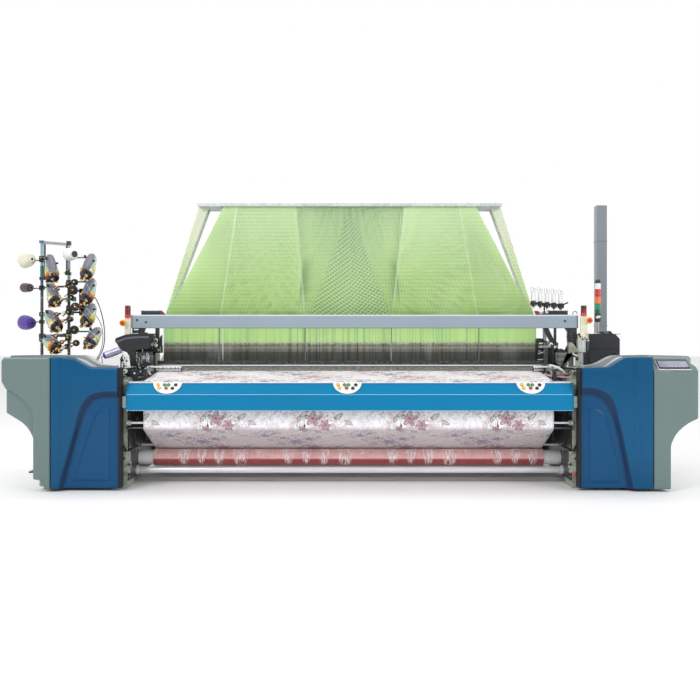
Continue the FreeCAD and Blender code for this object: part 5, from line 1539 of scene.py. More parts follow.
# --- cloth roll: cloth with its reverse side out, on a sleeve
def roll_mat():
    m = Mat("cloth_roll_reverse")
    u, v = uv_of(m)
    big = m.noise(3.0, 4.0)
    col = m.mix(big.step(0.3, 0.7), lin(228, 172, 168), lin(238, 190, 186))
    # painted shade: a dark red band low on the roll stands in for its shaded underside
    low = v.step(0.328, 0.337, 1.0, 0.0) * v.step(0.120, 0.160)
    col = m.mix(low, col, lin(158, 44, 52))
    F = Floral(m, u, v, 0.885, 0.452)
    A, B = F.cell(0.10, 0.0), F.cell(0.52, 0.0)
    wob = m.noise(1.0, 4.0, 0.6, (95.0, 16.0, 16.0)).step(0.44, 0.56)
    sp = []
    for c, ss in ((A, [(0.06, 0.02, 0.074), (-0.12, -0.02, 0.052), (0.21, 0.03, 0.036), (-0.26, 0.01, 0.046)]),
                  (B, [(0.00, 0.03, 0.064), (0.15, -0.02, 0.046)])):
        for cx, cy, R in ss:
            dx, dy = c[0] - cx, (c[1] - cy) * 0.28
            r = (dx * dx + dy * dy).sqrt()
            sp.append(r.step(R * 0.72, R * 1.02, 1.0, 0.0))
    mask = fold(sp) * wob
    col = m.mix(mask * 0.9, col, lin(246, 238, 240))
    st = fold([F.arc(A, 0.0, -0.05, 0.13, 2.0, 0.9, 0.003), F.arc(B, 0.10, 0.04, 0.11, -1.9, 0.9, 0.003), F.arc(A, 0.25, 0.05, 0.10, -2.6, 0.8, 0.003)])
    col = m.mix(st * 0.75, col, lin(236, 222, 226))
    fig = m.noise(24.0, 2.0, 0.5, (1, 1, 1), 1.0).step(0.5, 0.56)
    col = m.mix(fig * 0.18, col, lin(170, 86, 92))
    m.color(col)
    m.set(rough=0.34, spec=0.7, sheen=0.5, coat=0.35, coatr=0.3)
    m.normal(weave_bump(m, u, v, 0.10))
    return m.m


M["roll_cloth"] = roll_mat()
NS = 72


def drum_grid(name, cy, cz, r, x0, x1, nx, mats, body, rip=0.0, replaces=()):
    rows, uvs = [], []
    for i in range(NS + 1):
        a = 2 * math.pi * i / NS
        row, uvr = [], []
        for j in range(nx + 1):
            x = x0 + (x1 - x0) * j / nx
            rr = r + rip * noise.noise(Vector((x / 90.0, math.cos(a) * 1.5, math.sin(a) * 1.5)))
            row.append((x, cy + rr * math.sin(a), cz + rr * math.cos(a)))
            uvr.append((x / 1000.0, a * r / 1000.0))
        rows.append(row)
        uvs.append(uvr)
    return grid_mesh(name, rows, uvs, mats, body, replaces=replaces)


drum_grid("cloth_on_roll", -490, 200, 71.6, -1665, 1645, 60, ["roll_cloth"], "cloth_roll", rip=0.5, replaces=["cloth_roll"])
g = Geo(0)
# layered ends of the wound cloth
for s, xe in ((-1, -1665), (1, 1645)):
    prof = [(0, 60.0)]
    for k in range(6):
        r = 60.0 + k * 2.0
        prof += [((k % 2) * 1.1, r), ((k % 2) * 1.1, r + 1.7)]
    prof += [(0, 71.6)]
    g.lathe((xe, -490, 200), (s, 0, 0), [(p[0] * 1.0, p[1]) for p in prof] + [(-2, 71.6), (-2, 60.0), (0, 60.0)], 56)
g.make("cloth_roll_ends", [surf("cloth_edge", (214, 190, 194), 0.75, var=0.15, vscale=30, bump=0.5, bscale=600)], "cloth_roll", "cloth_rolled")


def sleeve_mat():
    m = Mat("sleeve_paper")
    v = m.node("ShaderNodeTexVoronoi")
    v.inputs["Scale"].default_value = 55.0
    m.link(m.coord(), v.inputs["Vector"])
    d = Val(m.nt, v.outputs["Distance"])
    n = m.noise(18.0, 3.0)
    dots = d.step(0.16, 0.24, 1.0, 0.0) * n.step(0.45, 0.55)
    col = m.mix(n.step(0.3, 0.7), lin(250, 248, 250), lin(254, 253, 254))
    sep = m.node("ShaderNodeSeparateColor")
    m.link(v.outputs["Color"], sep.inputs[0])
    pick = Val(m.nt, sep.outputs[0]).step(0.45, 0.55)
    col = m.mix(dots * pick * 0.8, col, lin(120, 116, 120))
    col = m.mix(dots * (pick * -1.0 + 1.0) * 0.8, col, lin(184, 70, 76))
    m.color(col)
    m.set(rough=0.55, sheen=0.1)
    m.normal(m.bump(m.noise(220.0, 4.0), 0.3, 0.0006))
    return m.m


M["sleeve"] = sleeve_mat()
g = Geo(0)
for s, xi in ((-1, -1664), (1, 1644)):
    g.lathe((xi - s * 20, -490, 200), (s, 0, 0), [(0, 55), (0, 59.8), (1795 - abs(xi) + 18, 59.8), (1795 - abs(xi) + 20, 58.8), (1795 - abs(xi) + 20, 52), (1795 - abs(xi) + 8, 52),
                                                  (1795 - abs(xi) + 8, 30), (20, 30), (20, 55)], 48)
g.make("roll_sleeves", ["sleeve"], "cloth_roll", "cloth_rolled")
g = Geo(0)
for s in (-1, 1):
    g.cyl((s * 1700, -490, 200), (s * 1865, -490, 200), 19.98, n=32, ch=1.5)
    g.lathe((s * 1786, -490, 200), (s, 0, 0), [(0, 0), (0, 31), (12, 31), (14, 26), (14, 0)], 36)
    for k in range(3):
        a = 2 * math.pi * k / 3
        g.bolt((s * 1799.5, -490 + 24 * math.cos(a), 200 + 24 * math.sin(a)), (s, 0, 0), 3.6)
g.make("roll_journals", ["steel"], "cloth_roll", "roller_steel")

# --- beams and bars between the side frames
g = Geo(0)
g.box(-1799.5, 1799.5, 40, 170, 240, 360)
g.box(-1799.5, 1799.5, 300, 380, 830, 905)
for x in (-1799.5, 1781.5):
    g.box(x, x + 18, 26, 184, 226, 374)
    g.box(x, x + 18, 290, 390, 820, 915)
g.at(1)
for s in (-1, 1):
    for y in (34, 176):
        for z in (236, 364):
            g.bolt((s * 1781.5, y, z), (-s, 0, 0), 7)
g.make("tie_beams", ["cast", "zinc"], "frame", "cast_frame", bevel=2.5, replaces=["cross_beams"])
g = Geo(0)
g.lathe((-1799.5, -600, 108), (1, 0, 0), [(0, 23), (0, 27), (3599, 27), (3599, 23), (0, 23)], 48)
for s in (-1, 1):
    g.lathe((s * 1799.5, -600, 108), (-s, 0, 0), [(0, 27.1), (0, 36), (22, 36), (24, 34), (24, 27.1)], 40)
    g.bolt((s * 1788, -600, 143.5), (0, 0, 1), 4.5)
g.make("lower_tube", [surf("tube_bright", (228, 230, 234), 0.3, 0.45, var=0.10, vscale=6, bump=0.08, stretch=(0.3, 12, 12))], "frame", "bare_steel")
g = Geo(0)
for y, z, r in ((-888, 531, 8.5), (-513, 310, 8)):
    g.cyl((-1799.5, y, z), (1799.5, y, z), r, n=20)
    for s in (-1, 1):
        g.lathe((s * 1799.5, y, z), (-s, 0, 0), [(0, 0), (0, r + 7), (14, r + 7), (16, r + 5), (16, 0)], 24)
g.make("guide_bars", ["white_paint"], "frame", "bare_steel")
g = Geo(0)
g.cyl((-1799.5, -889.5, 489), (1799.5, -889.5, 489), 8.6, n=20)
for s in (-1, 1):
    g.lathe((s * 1799.5, -889.5, 489), (-s, 0, 0), [(0, 0), (0, 14), (12, 14), (13, 12), (13, 0)], 24)
g.make("cloth_turning_bar", ["steel_dark"], "frame", "bare_steel")
g = Geo(0)
g.box(-1700, 1700, 15, 205, 362, 384)
for x in range(-1650, 1700, 150):
    g.box(x - 3, x + 3, 12, 208, 360.5, 386)
for x in (-1500, -500, 500, 1500):
    g.box(x - 30, x + 30, 20, 200, 360, 363)
    for y in (34, 186):
        g.bolt((x, y, 384), (0, 0, 1), 6)
g.make("spring_anchor", ["steel_dark"], "frame", "bare_steel", bevel=1)

# --- reed: wires between its baulks, on the sley
g = Geo(0)
n = 680
for i in range(n + 1):
    x = -1700 + 5.0 * i
    g.box(x - 0.85, x + 0.85, -194, -186, 896, 988)
g.make("reed_wires", [surf("reed_wire", (104, 122, 128), 0.32, 0.7, var=0.12, vscale=4, bump=0.1, bscale=300)], "sley", "reed_steel", replaces=["reed"])
g = Geo(0)
g.at(2)
g.box(-1710, 1710, -198.5, -181.5, 981, 1014)
g.box(-1710, 1710, -199.8, -180.2, 1002, 1016)
g.box(-1706, 1706, -195.4, -193.4, 938, 956)
g.at(0)
g.box(-1706, 1706, -196.3, -193.8, 968.5, 981)
for k in range(1, 12):
    g.box(-1706 + 284.3 * k - 1, -1706 + 284.3 * k + 1, -196.8, -196, 969.2, 980.6)
g.at(1)
g.box(-1706, 1706, -194.4, -185.6, 892, 899)
for x in (-1708, 1704):
    g.box(x, x + 4, -195, -185, 892, 990)
g.make("reed_cap", ["white_paint", "steel_dark", "cast_dark"], "sley", "reed_steel", bevel=1.2)
cad("sley", "sley_paint", bevel=1.8)
g = Geo(0)
# race board facing, and the clamp bar that holds the reed
g.prism([(-254.5, 908.2), (-181, 900.2), (-181, 901.8), (-254.5, 909.6)], "yz", -1742, 1742)
g.at(1)
g.box(-1742, 1742, -183, -170, 900, 916)
for i in range(24):
    x = -1700 + i * (3400 / 23.0)
    g.bolt((x, -176, 916), (0, 0, 1), 5)
g.at(1)
for x in (-1500, -750, 0, 750, 1500):
    for y in (-172, -138):
        g.bolt((x + 22, y, 852), (0, 0, -1), 6)
        g.bolt((x - 22, y, 852), (0, 0, -1), 6)
    g.lathe((x - 26, -150, 420), (1, 0, 0), [(0, 45.2), (0, 56), (52, 56), (52, 45.2), (0, 45.2)], 36)
g.make("sley_fittings", [surf("race_board", (70, 62, 54), 0.5, var=0.2, vscale=20, bump=0.2, bscale=300, stretch=(0.2, 5, 5)), "steel_dark"], "sley",
       "sley_paint", bevel=0.6)

# --- warp: single ends drawn from the beam over the back rest and through the heddles
WB = (650.0, 470.0, 301.0)
BR = (800.0, 980.0, 61.0)
dyy, dzz = BR[0] - WB[0], BR[1] - WB[1]
tan_a = math.degrees(math.atan2(dzz, dyy) - math.acos((WB[2] - BR[2]) / math.hypot(dyy, dzz)))
back = [(WB[0] + WB[2] * math.cos(math.radians(tan_a - 30 + 6 * i)), WB[1] + WB[2] * math.sin(math.radians(tan_a - 30 + 6 * i))) for i in range(6)]
back += [(BR[0] + BR[2] * math.cos(math.radians(tan_a + (93 - tan_a) * i / 12)), BR[1] + BR[2] * math.sin(math.radians(tan_a + (93 - tan_a) * i / 12)))
         for i in range(13)]


def warp_yarn_mat():
    m = Mat("warp_yarn")
    n = m.noise(1.0, 2.0, 0.6, (170.0, 2.0, 2.0))
    col = m.mix(n.step(0.35, 0.65), lin(214, 206, 190), lin(240, 236, 224))
    fine = m.noise(1.0, 2.0, 0.6, (900.0, 5.0, 5.0))
    col = m.mix(fine.step(0.2, 0.5, 0.35, 0.0), col, lin(120, 110, 96))
    m.color(col)
    m.set(rough=0.6, sheen=0.3)
    m.normal(m.bump(fine, 0.5, 0.0005))
    return m.m


M["warp_yarn"] = warp_yarn_mat()
g = Geo(0)
for i in range(660):
    x = -1647.5 + 5.0 * i
    yy = 18.0 + 26.0 * (i % 8)
    # the further back an end is lifted, the higher it is, so the shed has one clear height where the rapiers run
    zf = max(1003.0, 930.0 + 0.1775 * (yy + 356.0)) if (i % 2) else 886.0
    pts = back + [(430.0, 982.5), (yy, zf), (FELLP[0] + 1, FELLP[1] + 1)]
    w = 1.25
    v = []
    for y, z in pts:
        v += [(x - w, y, z), (x + w, y, z)]
    g.put(v, [(2 * k, 2 * k + 1, 2 * k + 3, 2 * k + 2) for k in range(len(pts) - 1)])
g.make("warp_ends", ["warp_yarn"], "frame", "warp_yarn", replaces=["warp_sheet"], angle=80)

# --- warp beam: wound yarn, ribbed flanges, hub and axle
g = Geo(0)
prof = [(0, 0), (0, 296)]
for i in range(0, 141):
    prof.append((4 + i * 24.0, 299.0 + 1.2 * math.sin(i * 2.1)))
prof += [(3360, 296), (3360, 0)]
g.lathe((-1680, 650, 470), (1, 0, 0), prof, 96)
g.make("beam_yarn", ["warp_yarn"], "warp_beam", "warp_yarn", replaces=["warp_beam"])
g = Geo(0)
for s in (-1, 1):
    holes = [circle(365 * math.cos(math.radians(60 * k + 15)), 365 * math.sin(math.radians(60 * k + 15)), 30, 28, True) for k in range(6)]
    plate(g, [circle(0, 0, 398, 96)] + holes + [circle(0, 0, 60, 40, True)], frame_x(s * 1695, 650, 470), 14)
    g.lathe((s * 1685, 650, 470), (s, 0, 0), [(0, 388), (0, 400), (20, 400), (20, 388), (0, 388)], 96)
    g.lathe((s * 1702, 650, 470), (s, 0, 0), [(0, 60), (0, 90), (88, 90), (88, 60), (0, 60)], 60)
    for k in range(12):
        a = math.radians(30 * k)
        c, d = math.cos(a), math.sin(a)
        g.bar((s * 1709, 650 + 88 * c, 470 + 88 * d), (s * 1706, 650 + 330 * c, 470 + 330 * d), 10, 14, 0)
    for k in range(8):
        a = math.radians(45 * k + 22.5)
        g.bolt((s * 1790, 650 + 74 * math.cos(a), 470 + 74 * math.sin(a)), (s, 0, 0), 7)
g.make("beam_flanges", ["alu"], "warp_beam", "roller_steel", bevel=1.5)
g = Geo(0)
for s in (-1, 1):
    g.cyl((s * 1690, 650, 470), (s * 1865, 650, 470), 34.98, n=40, ch=2)
    # drive ring
    g.lathe((s * 1750, 650, 470), (s, 0, 0), [(0, 90), (0, 150), (18, 150), (18, 90), (0, 90)], 72)
    for k in range(48):
        a = 2 * math.pi * k / 48
        g.prism([(650 + 149 * math.cos(a + t), 470 + 149 * math.sin(a + t)) if j < 2 else (650 + 157 * math.cos(a + t), 470 + 157 * math.sin(a + t))
                 for j, t in enumerate((-0.04, 0.04, 0.022, -0.022))], "yz", *sorted((s * 1752, s * 1766)))
g.make("beam_axle", ["steel_dark"], "warp_beam", "roller_steel")

# --- take-up and back rest
M["emery"] = surf("emery_cloth", (86, 84, 80), 0.8, var=0.15, vscale=14, bump=0.8, bscale=900, bdist=0.001)
cad("take_up_roller", "emery", bevel=1.0)
cad("back_rest", "steel", bevel=1.0)
# ------------------------------------------------------------------ weft feeders, their stand and the yarn cones
FEED = [((-2700, -24, 1754), (-88, 154, 210)), ((-2663, -70, 1536), (-110, 200, 153)),
        ((-2648, -60, 1312), (-152, 190, 128)), ((-2650, -70, 1120), (-170, 200, 83)),
        ((-2384, -75, 1783), (0, 205, 183)), ((-2384, -75, 1558), (0, 205, 183)),
        ((-2374, -102, 1355), (-10, 232, 147)), ((-2342, -118, 1160), (10, 248, 119))]
M["feeder_body"] = surf("feeder_body", (104, 106, 118), 0.36, var=0.10, vscale=20, bump=0.25, bscale=700, coat=0.15)
M["drum_metal"] = surf("feeder_drum", (206, 206, 204), 0.22, 0.8, var=0.08, vscale=30, bump=0.1, bscale=400)
M["yarn_wrap_y"] = surf("wound_weft_yellow", (236, 206, 66), 0.6, var=0.15, vscale=60, bump=0.6, bscale=900, sheen=0.3)
M["yarn_wrap_w"] = surf("wound_weft_white", (236, 234, 230), 0.6, var=0.10, vscale=60, bump=0.6, bscale=900, sheen=0.3)
M["yarn_wrap_o"] = surf("wound_weft_orange", (226, 130, 48), 0.6, var=0.15, vscale=60, bump=0.6, bscale=900, sheen=0.3)
WRAPS = ["yarn_wrap_o", "yarn_wrap_w", "yarn_wrap_w", "yarn_wrap_o", "yarn_wrap_w", "yarn_wrap_o", "yarn_wrap_y", "yarn_wrap_w"]
FMATS = ["feeder_body", "black", "green_plastic", "yellow", "amber", "drum_metal", "ceramic", "teal", "yarn_wrap_y", "yarn_wrap_w",
         "yarn_wrap_o", "black_gloss"]
fi = {n: i for i, n in enumerate(FMATS)}


def local(front, way, roll=0.0):
    """Frame of a feeder: its own z runs from the front to the back, its own y is its upper side."""
    d = Vector(way).normalized()
    up = (Vector((0, 0, 1)) - d * d.z).normalized()
    side = up.cross(d)
    m = Matrix((side * 1.34, up * 1.26, d)).transposed().to_4x4()
    m.translation = Vector(front)
    return m


for i, (front, way) in enumerate(FEED):
    g = Geo(0)
    g.tf = local(front, way)
    left = i < 4
    # front disc with its eye
    g.at(fi["black_gloss"]).lathe((0, 0, -2), (0, 0, 1), [(0, 8), (0, 34), (3, 40), (9, 42), (14, 40), (14, 8), (0, 8)], 36)
    g.at(fi["amber"]).ring((0, 0, -1), (0, 0, 1), 11, 3.2, 20, 8)
    g.at(fi["ceramic"]).ring((0, 0, -3), (0, 0, 1), 6.5, 2.2, 18, 8)
    g.at(fi["black"]).cyl((0, 0, 0), (0, 0, 12), 6, n=14)
    # brush ring
    g.at(fi["black"])
    for k in range(36):
        a = 2 * math.pi * k / 36
        g.bar((39 * math.cos(a), 39 * math.sin(a), 12), (45 * math.cos(a + 0.2), 45 * math.sin(a + 0.2), 21), 2.2, 1.2)
    # drum with segments and the wound weft
    g.at(fi["drum_metal"]).lathe((0, 0, 14), (0, 0, 1), [(0, 0), (0, 37), (4, 39), (62, 40), (66, 38), (66, 0)], 40)
    g.at(fi[WRAPS[i]])
    prof = [(22, 40.2)]
    for k in range(14):
        prof += [(23 + k * 2.4, 42.6), (24.2 + k * 2.4, 41.3)]
    prof += [(58, 40.2)]
    g.lathe((0, 0, 0), (0, 0, 1), prof + [(58, 38), (22, 38), (22, 40.2)], 36)
    g.at(fi["yellow"]).lathe((0, 0, 60), (0, 0, 1), [(0, 39), (0, 45.5), (3, 47), (15, 47), (18, 45), (18, 39), (0, 39)], 40)
    g.at(fi["black"])
    for k in range(10):
        a = 2 * math.pi * k / 10
        g.bar((47.2 * math.cos(a), 47.2 * math.sin(a), 64), (47.2 * math.cos(a), 47.2 * math.sin(a), 76), 5, 1.6, a)
    # motor body: pale sides, dark rounded top
    g.at(fi["green_plastic"]).lathe((0, 0, 78), (0, 0, 1), [(0, 0), (0, 43), (4, 45.5), (40, 44), (110, 37), (176, 31), (190, 26), (193, 16), (193, 0)], 32)
    g.at(fi["feeder_body"])
    top = []
    for t, w, h in ((-66, 10, 50), (-64, 20, 54), (-50, 25, 57), (0, 31, 58.5), (60, 33, 58), (110, 31, 54), (160, 27, 47), (190, 21, 40), (199, 11, 33), (200, 4, 28)):
        top.append((t, w, h))
    # arched cover that runs above the drum and the body
    v, f = [], []
    NA = 10
    for t, w, h in top:
        for k in range(NA + 1):
            a = math.pi * k / NA
            v.append((w * math.cos(a), 22 + (h - 22) * math.sin(a) ** 0.7, 78 + t))
        for k in range(NA + 1):
            a = math.pi * (1 - k / NA)
            v.append(((w - 3) * math.cos(a), 20 + (h - 26) * max(0.0, math.sin(a)) ** 0.7, 78 + t))
    R2 = 2 * (NA + 1)
    for a in range(len(top) - 1):
        for k in range(R2):
            j = (k + 1) % R2
            f.append((a * R2 + k, a * R2 + j, (a + 1) * R2 + j, (a + 1) * R2 + k))
    f.append(tuple(range(R2)))
    f.append(tuple(range((len(top) - 1) * R2, len(top) * R2))[::-1])
    g.put(v, [q[::-1] for q in f])
    # spine with its guide arms
    g.at(fi["black"]).box(-7, 7, 40, 55, -22, 20)
    g.bar((0, 50, -20), (0, 12, -52), 8, 6)
    g.at(fi["amber"]).ball((0, 10, -56), 8.5, 14, 8)
    g.at(fi["ceramic"]).ring((0, 0, -60), (0, 0, 1), 5, 1.8, 16, 8)
    g.at(fi["black"]).bar((0, 12, -54), (0, 4, -60), 5, 4)
    g.at(fi["amber"]).ball((24 if left else 26, 52, 10), 7.5, 12, 7)
    g.at(fi["amber"]).ball((-30, -24, -8), 6.5, 12, 7)
    g.at(fi["black"]).bar((-22, -18, 4), (-30, -24, -8), 5, 5)
    g.bar((14, 44, 14), (24, 50, 10), 5, 5)
    # tensioner on the front
    g.at(fi["black"]).cyl((34, -26, 6), (34, -26, -16), 11, n=18, ch=2)
    g.at(fi["amber"]).cyl((34, -26, -16), (34, -26, -24), 7.5, n=16, ch=2)
    g.at(fi["black"]).cyl((-20, 30, 150), (-42, 44, 158), 8, n=14, ch=2)
    g.cyl((30, 40, 196), (34, 54, 214), 9, n=14, ch=2)
    # back end: entry eye, plug and clamp to the arm
    g.at(fi["black"]).lathe((0, 0, 262), (0, 0, 1), [(0, 0), (0, 26), (10, 26), (14, 20), (14, 0)], 24)
    g.at(fi["ceramic"]).ring((0, 0, 277), (0, 0, 1), 6, 2, 16, 8)
    g.at(fi["black"]).box(-20, 20, -40, -28, 120, 190)
    g.box(-9, 9, -52, -40, 140, 172)
    g.at(fi["teal"]).box(-12, 12, -31, -25, 96, 118)
    for u in (-13, 13):
        for t in (126, 184):
            g.bolt((u, -40, t), (0, -1, 0), 3.2)
    for t in (10, 60, 110):
        g.bolt((34, 26, 78 + t), (1, 0.3, 0), 2.6, washer=False)
    g.tf = None
    g.make("weft_feeder_%d" % (i + 1), FMATS, "frame", "feeder_grey", angle=38, replaces=["weft_feeders"] if i == 0 else ())

# wound yarn
def cone_mat(name, c0, c1):
    m = Mat(name)
    n = m.noise(60.0, 3.0)
    w = m.node("ShaderNodeTexWave", bands_direction="DIAGONAL")
    w.inputs["Scale"].default_value = 130.0
    w.inputs["Distortion"].default_value = 2.0
    w.inputs["Detail Scale"].default_value = 3.0
    m.link(m.coord(), w.inputs["Vector"])
    f = Val(m.nt, w.outputs["Fac"])
    m.color(m.mix(f * 0.6 + n * 0.4, lin(*c0), lin(*c1)))
    m.set(rough=0.75, spec=0.2, sheen=0.4)
    m.normal(m.bump(f, 0.5, 0.0012, m.bump(n, 0.4, 0.001)))
    return m.m


M["cone_cream"] = cone_mat("cone_cream", (206, 200, 176), (234, 230, 212))
M["cone_brown"] = cone_mat("cone_brown", (50, 30, 42), (92, 62, 74))
M["cone_purple"] = cone_mat("cone_purple", (66, 40, 128), (104, 76, 170))
M["cone_white"] = cone_mat("cone_white", (222, 224, 224), (244, 246, 246))
# --- stand: tubes, caps, clamps and arms
M["post_teal"] = surf("post_teal", (150, 172, 180), 0.3, 0.4, var=0.12, vscale=9, bump=0.12, bscale=300)
M["post_dark"] = surf("post_striped", (84, 90, 100), 0.35, 0.5, var=0.5, vscale=26, bump=0.2, bscale=300)
M["cap_blue"] = surf("cap_blue", (38, 104, 148), 0.35, var=0.08, vscale=20, bump=0.1, bscale=400, coat=0.2)
SM = ["post_teal", "post_dark", "cap_blue", "black", "steel", "teal", "zinc", "steel"]
g = Geo(0)
PX = (-2874.0, -2622.0)
# left post: pale tube over a teal collar, dark below
g.at(0).cyl((PX[0], 180, 1860), (PX[0], 180, 2120), 14, n=24)
g.at(5).cyl((PX[0], 180, 1790), (PX[0], 180, 1892), 16.5, n=24, ch=1)
g.at(1).cyl((PX[0], 180, 12), (PX[0], 180, 1762), 14, n=24)
g.at(2).box(PX[0] - 19, PX[0] + 19, 160, 200, 2104, 2128)
g.at(0).cyl((PX[1], 180, 1700), (PX[1], 180, 2104), 14, n=24)
g.at(1).cyl((PX[1], 180, 12), (PX[1], 180, 1702), 14, n=24)
g.at(3).box(PX[1] - 18, PX[1] + 18, 161, 199, 2084, 2122)
g.at(7).bar((PX[0] + 16, 180, 2110), (PX[1] - 16, 180, 2092), 26, 26)
# second, darker tube beside the upper stretch of each post
g.at(1).cyl((PX[0] + 27, 182, 1776), (PX[0] + 27, 182, 2100), 9, n=18)
g.at(1).cyl((PX[1] - 22, 182, 1830), (PX[1] - 22, 182, 2084), 7, n=18)
g.at(3).box(PX[0] - 18, PX[0] + 38, 161, 199, 1760, 1788)
g.box(PX[1] - 31, PX[1] + 18, 161, 199, 1806, 1832)
g.at(1)
g.box(PX[0], PX[1], 174, 186, 388, 412)
g.box(PX[0], PX[1], 174, 186, 1228, 1252)
g.at(3)
g.box(PX[0] - 60, PX[1] + 60, 160, 200, 0, 12)
for x in PX:
    g.box(x - 25, x + 25, -80, 440, 0, 12)
    for y in (-60, 120, 240, 420):
        g.bolt((x, y, 12), (0, 0, 1), 6)
    for z in (400, 1240):
        g.box(x - 21, x + 21, 159, 201, z - 20, z + 20)
        g.bolt((x, 159, z), (0, -1, 0), 5)
# clamp marks every few hundred millimetres on the posts
g.at(0)
for x in PX:
    for z in range(120, 1700, 210):
        g.lathe((x, 180, z), (0, 0, 1), [(0, 13.8), (0, 15.0), (8, 15.0), (8, 13.8), (0, 13.8)], 20)
FEED_LEN = 275.0
for i, (front, way) in enumerate(FEED):
    d = Vector(way).normalized()
    e = Vector(front) + d * FEED_LEN
    x = PX[0] if i < 4 else PX[1]
    g.at(3).box(x - 20, x + 20, 160, 200, e.z - 18, e.z + 18)
    g.at(6).bolt((x, 160, e.z), (0, -1, 0), 5)
    g.at(5 if i % 2 else 4).bar((x, 180, e.z), (e.x, e.y + 2, e.z), 14, 14)
    g.at(3).box(e.x - 14, e.x + 14, e.y - 6, e.y + 16, e.z - 14, e.z + 14)
# short second arms with knobs between the columns
for k, (z, dy) in enumerate(((1700, -80), (1585, -95), (1455, -70), (1395, -60), (1260, -90), (1205, -70), (1140, -80))):
    g.at(5 if k % 2 else 3).cyl((PX[1], 168, z), (PX[1] + (22 if k % 2 else -26), dy, z - 20), 9, n=14)
    g.at(3).cyl((PX[1] + (22 if k % 2 else -26), dy, z - 20), (PX[1] + (22 if k % 2 else -26), dy - 22, z - 26), 20 if k % 3 else 15, n=22, ch=3)
    g.at(3).box(PX[1] - 19, PX[1] + 19, 161, 199, z - 14, z + 14)
    g.at(4).cyl((PX[1] + (22 if k % 2 else -26), dy - 22, z - 26), (PX[1] + (22 if k % 2 else -26), dy - 28, z - 27), 6, n=14, ch=1)
g.make("feeder_frame", SM, "frame", "stand_black", bevel=0.8, replaces=["feeder_stand"])
g = Geo(0)
for k, (z, dy) in enumerate(((1700, -80), (1585, -95), (1455, -70), (1395, -60), (1260, -90), (1205, -70), (1140, -80))):
    x = PX[1] + (22 if k % 2 else -26)
    g.ball((x + 12, dy - 34, z - 18), 9.5 + 2 * (k % 2), 14, 8)
    g.ball((x - 18, dy - 26, z - 40), 7.5, 12, 7)
g.make("feeder_knobs", ["amber"], "frame", "feeder_grey")
g = Geo(0)
for k, (z, dy) in enumerate(((1585, -95), (1455, -70), (1260, -90), (1140, -80))):
    x = PX[1] + (22 if k % 2 else -26)
    g.cyl((x - 4, dy + 60, z - 2), (x - 4, dy + 10, z - 14), 14, n=20, ch=2)
g.make("feeder_spools", ["white"], "frame", "feeder_grey")

# thread brakes between the two columns of feeders, each on an arm of its own
g = Geo(0)
for k, (x, z, r, my) in enumerate(((-2534, 1732, 31, 62), (-2546, 1659, 44, 50), (-2592, 1722, 24, 66), (-2524, 1505, 40, 48), (-2588, 1461, 30, 64),
                                   (-2534, 1293, 40, 52), (-2592, 1222, 27, 60), (-2516, 1172, 30, 50), (-2606, 1139, 26, 62), (-2568, 1590, 27, 70),
                                   (-2574, 1392, 26, 66), (-2600, 1840, 17, 70))):
    g.at(0).bar((PX[1], 166, z), (x, my + 14, z), 13, 13)
    g.at(0).cyl((x, my + 30, z), (x, my, z), r, n=28, ch=3)
    g.at(3 if k in (3, 8) else 0).cyl((x, my, z), (x, my - 8, z), r * 0.72, n=24, ch=2)
    g.at(1 if k % 3 else 2).ball((x + (k % 2) * 4, my - 12, z), 9.5 if r > 25 else 7, 14, 8)
    g.at(0).bar((x - r * 0.7, my + 8, z - r * 0.5), (x - r * 1.5, my - 6, z - r * 1.3), 10, 8)
    g.at(2 if k % 2 else 1).ball((x - r * 1.5, my - 8, z - r * 1.3), 8, 12, 7)
    if k in (4, 9):
        g.at(4).box(x + 6, x + 40, my + 2, my + 34, z - 34, z + 8)
g.make("thread_brakes", ["black", "amber", "yellow", "cone_brown", "teal"], "frame", "stand_black", bevel=0.8)

# supply box of the feeders, with cable glands and straps
g = Geo(0)
g.box(-2530, -2480, 188, 244, 1430, 1680)
for z in (1450, 1650):
    g.box(-2622, -2530, 172, 200, z, z + 16)
g.at(1)
g.box(-2526, -2484, 184, 188.5, 1440, 1670)
for z, r in ((1640, 4.5), (1470, 3.0)):
    g.lathe((-2480.5, 216, z), (1, 0, 0), [(0, r + 0.2), (0, r + 6), (5, r + 6), (6, r + 4), (11, r + 3), (12, r + 0.2), (0, r + 0.2)], 16)
for z in (1450, 1660):
    for x in (-2520, -2490):
        g.bolt((x, 184, z), (0, -1, 0), 3.5)
g.make("feeder_supply_box", ["cabinet", "black"], "frame", "stand_black", bevel=1.5)

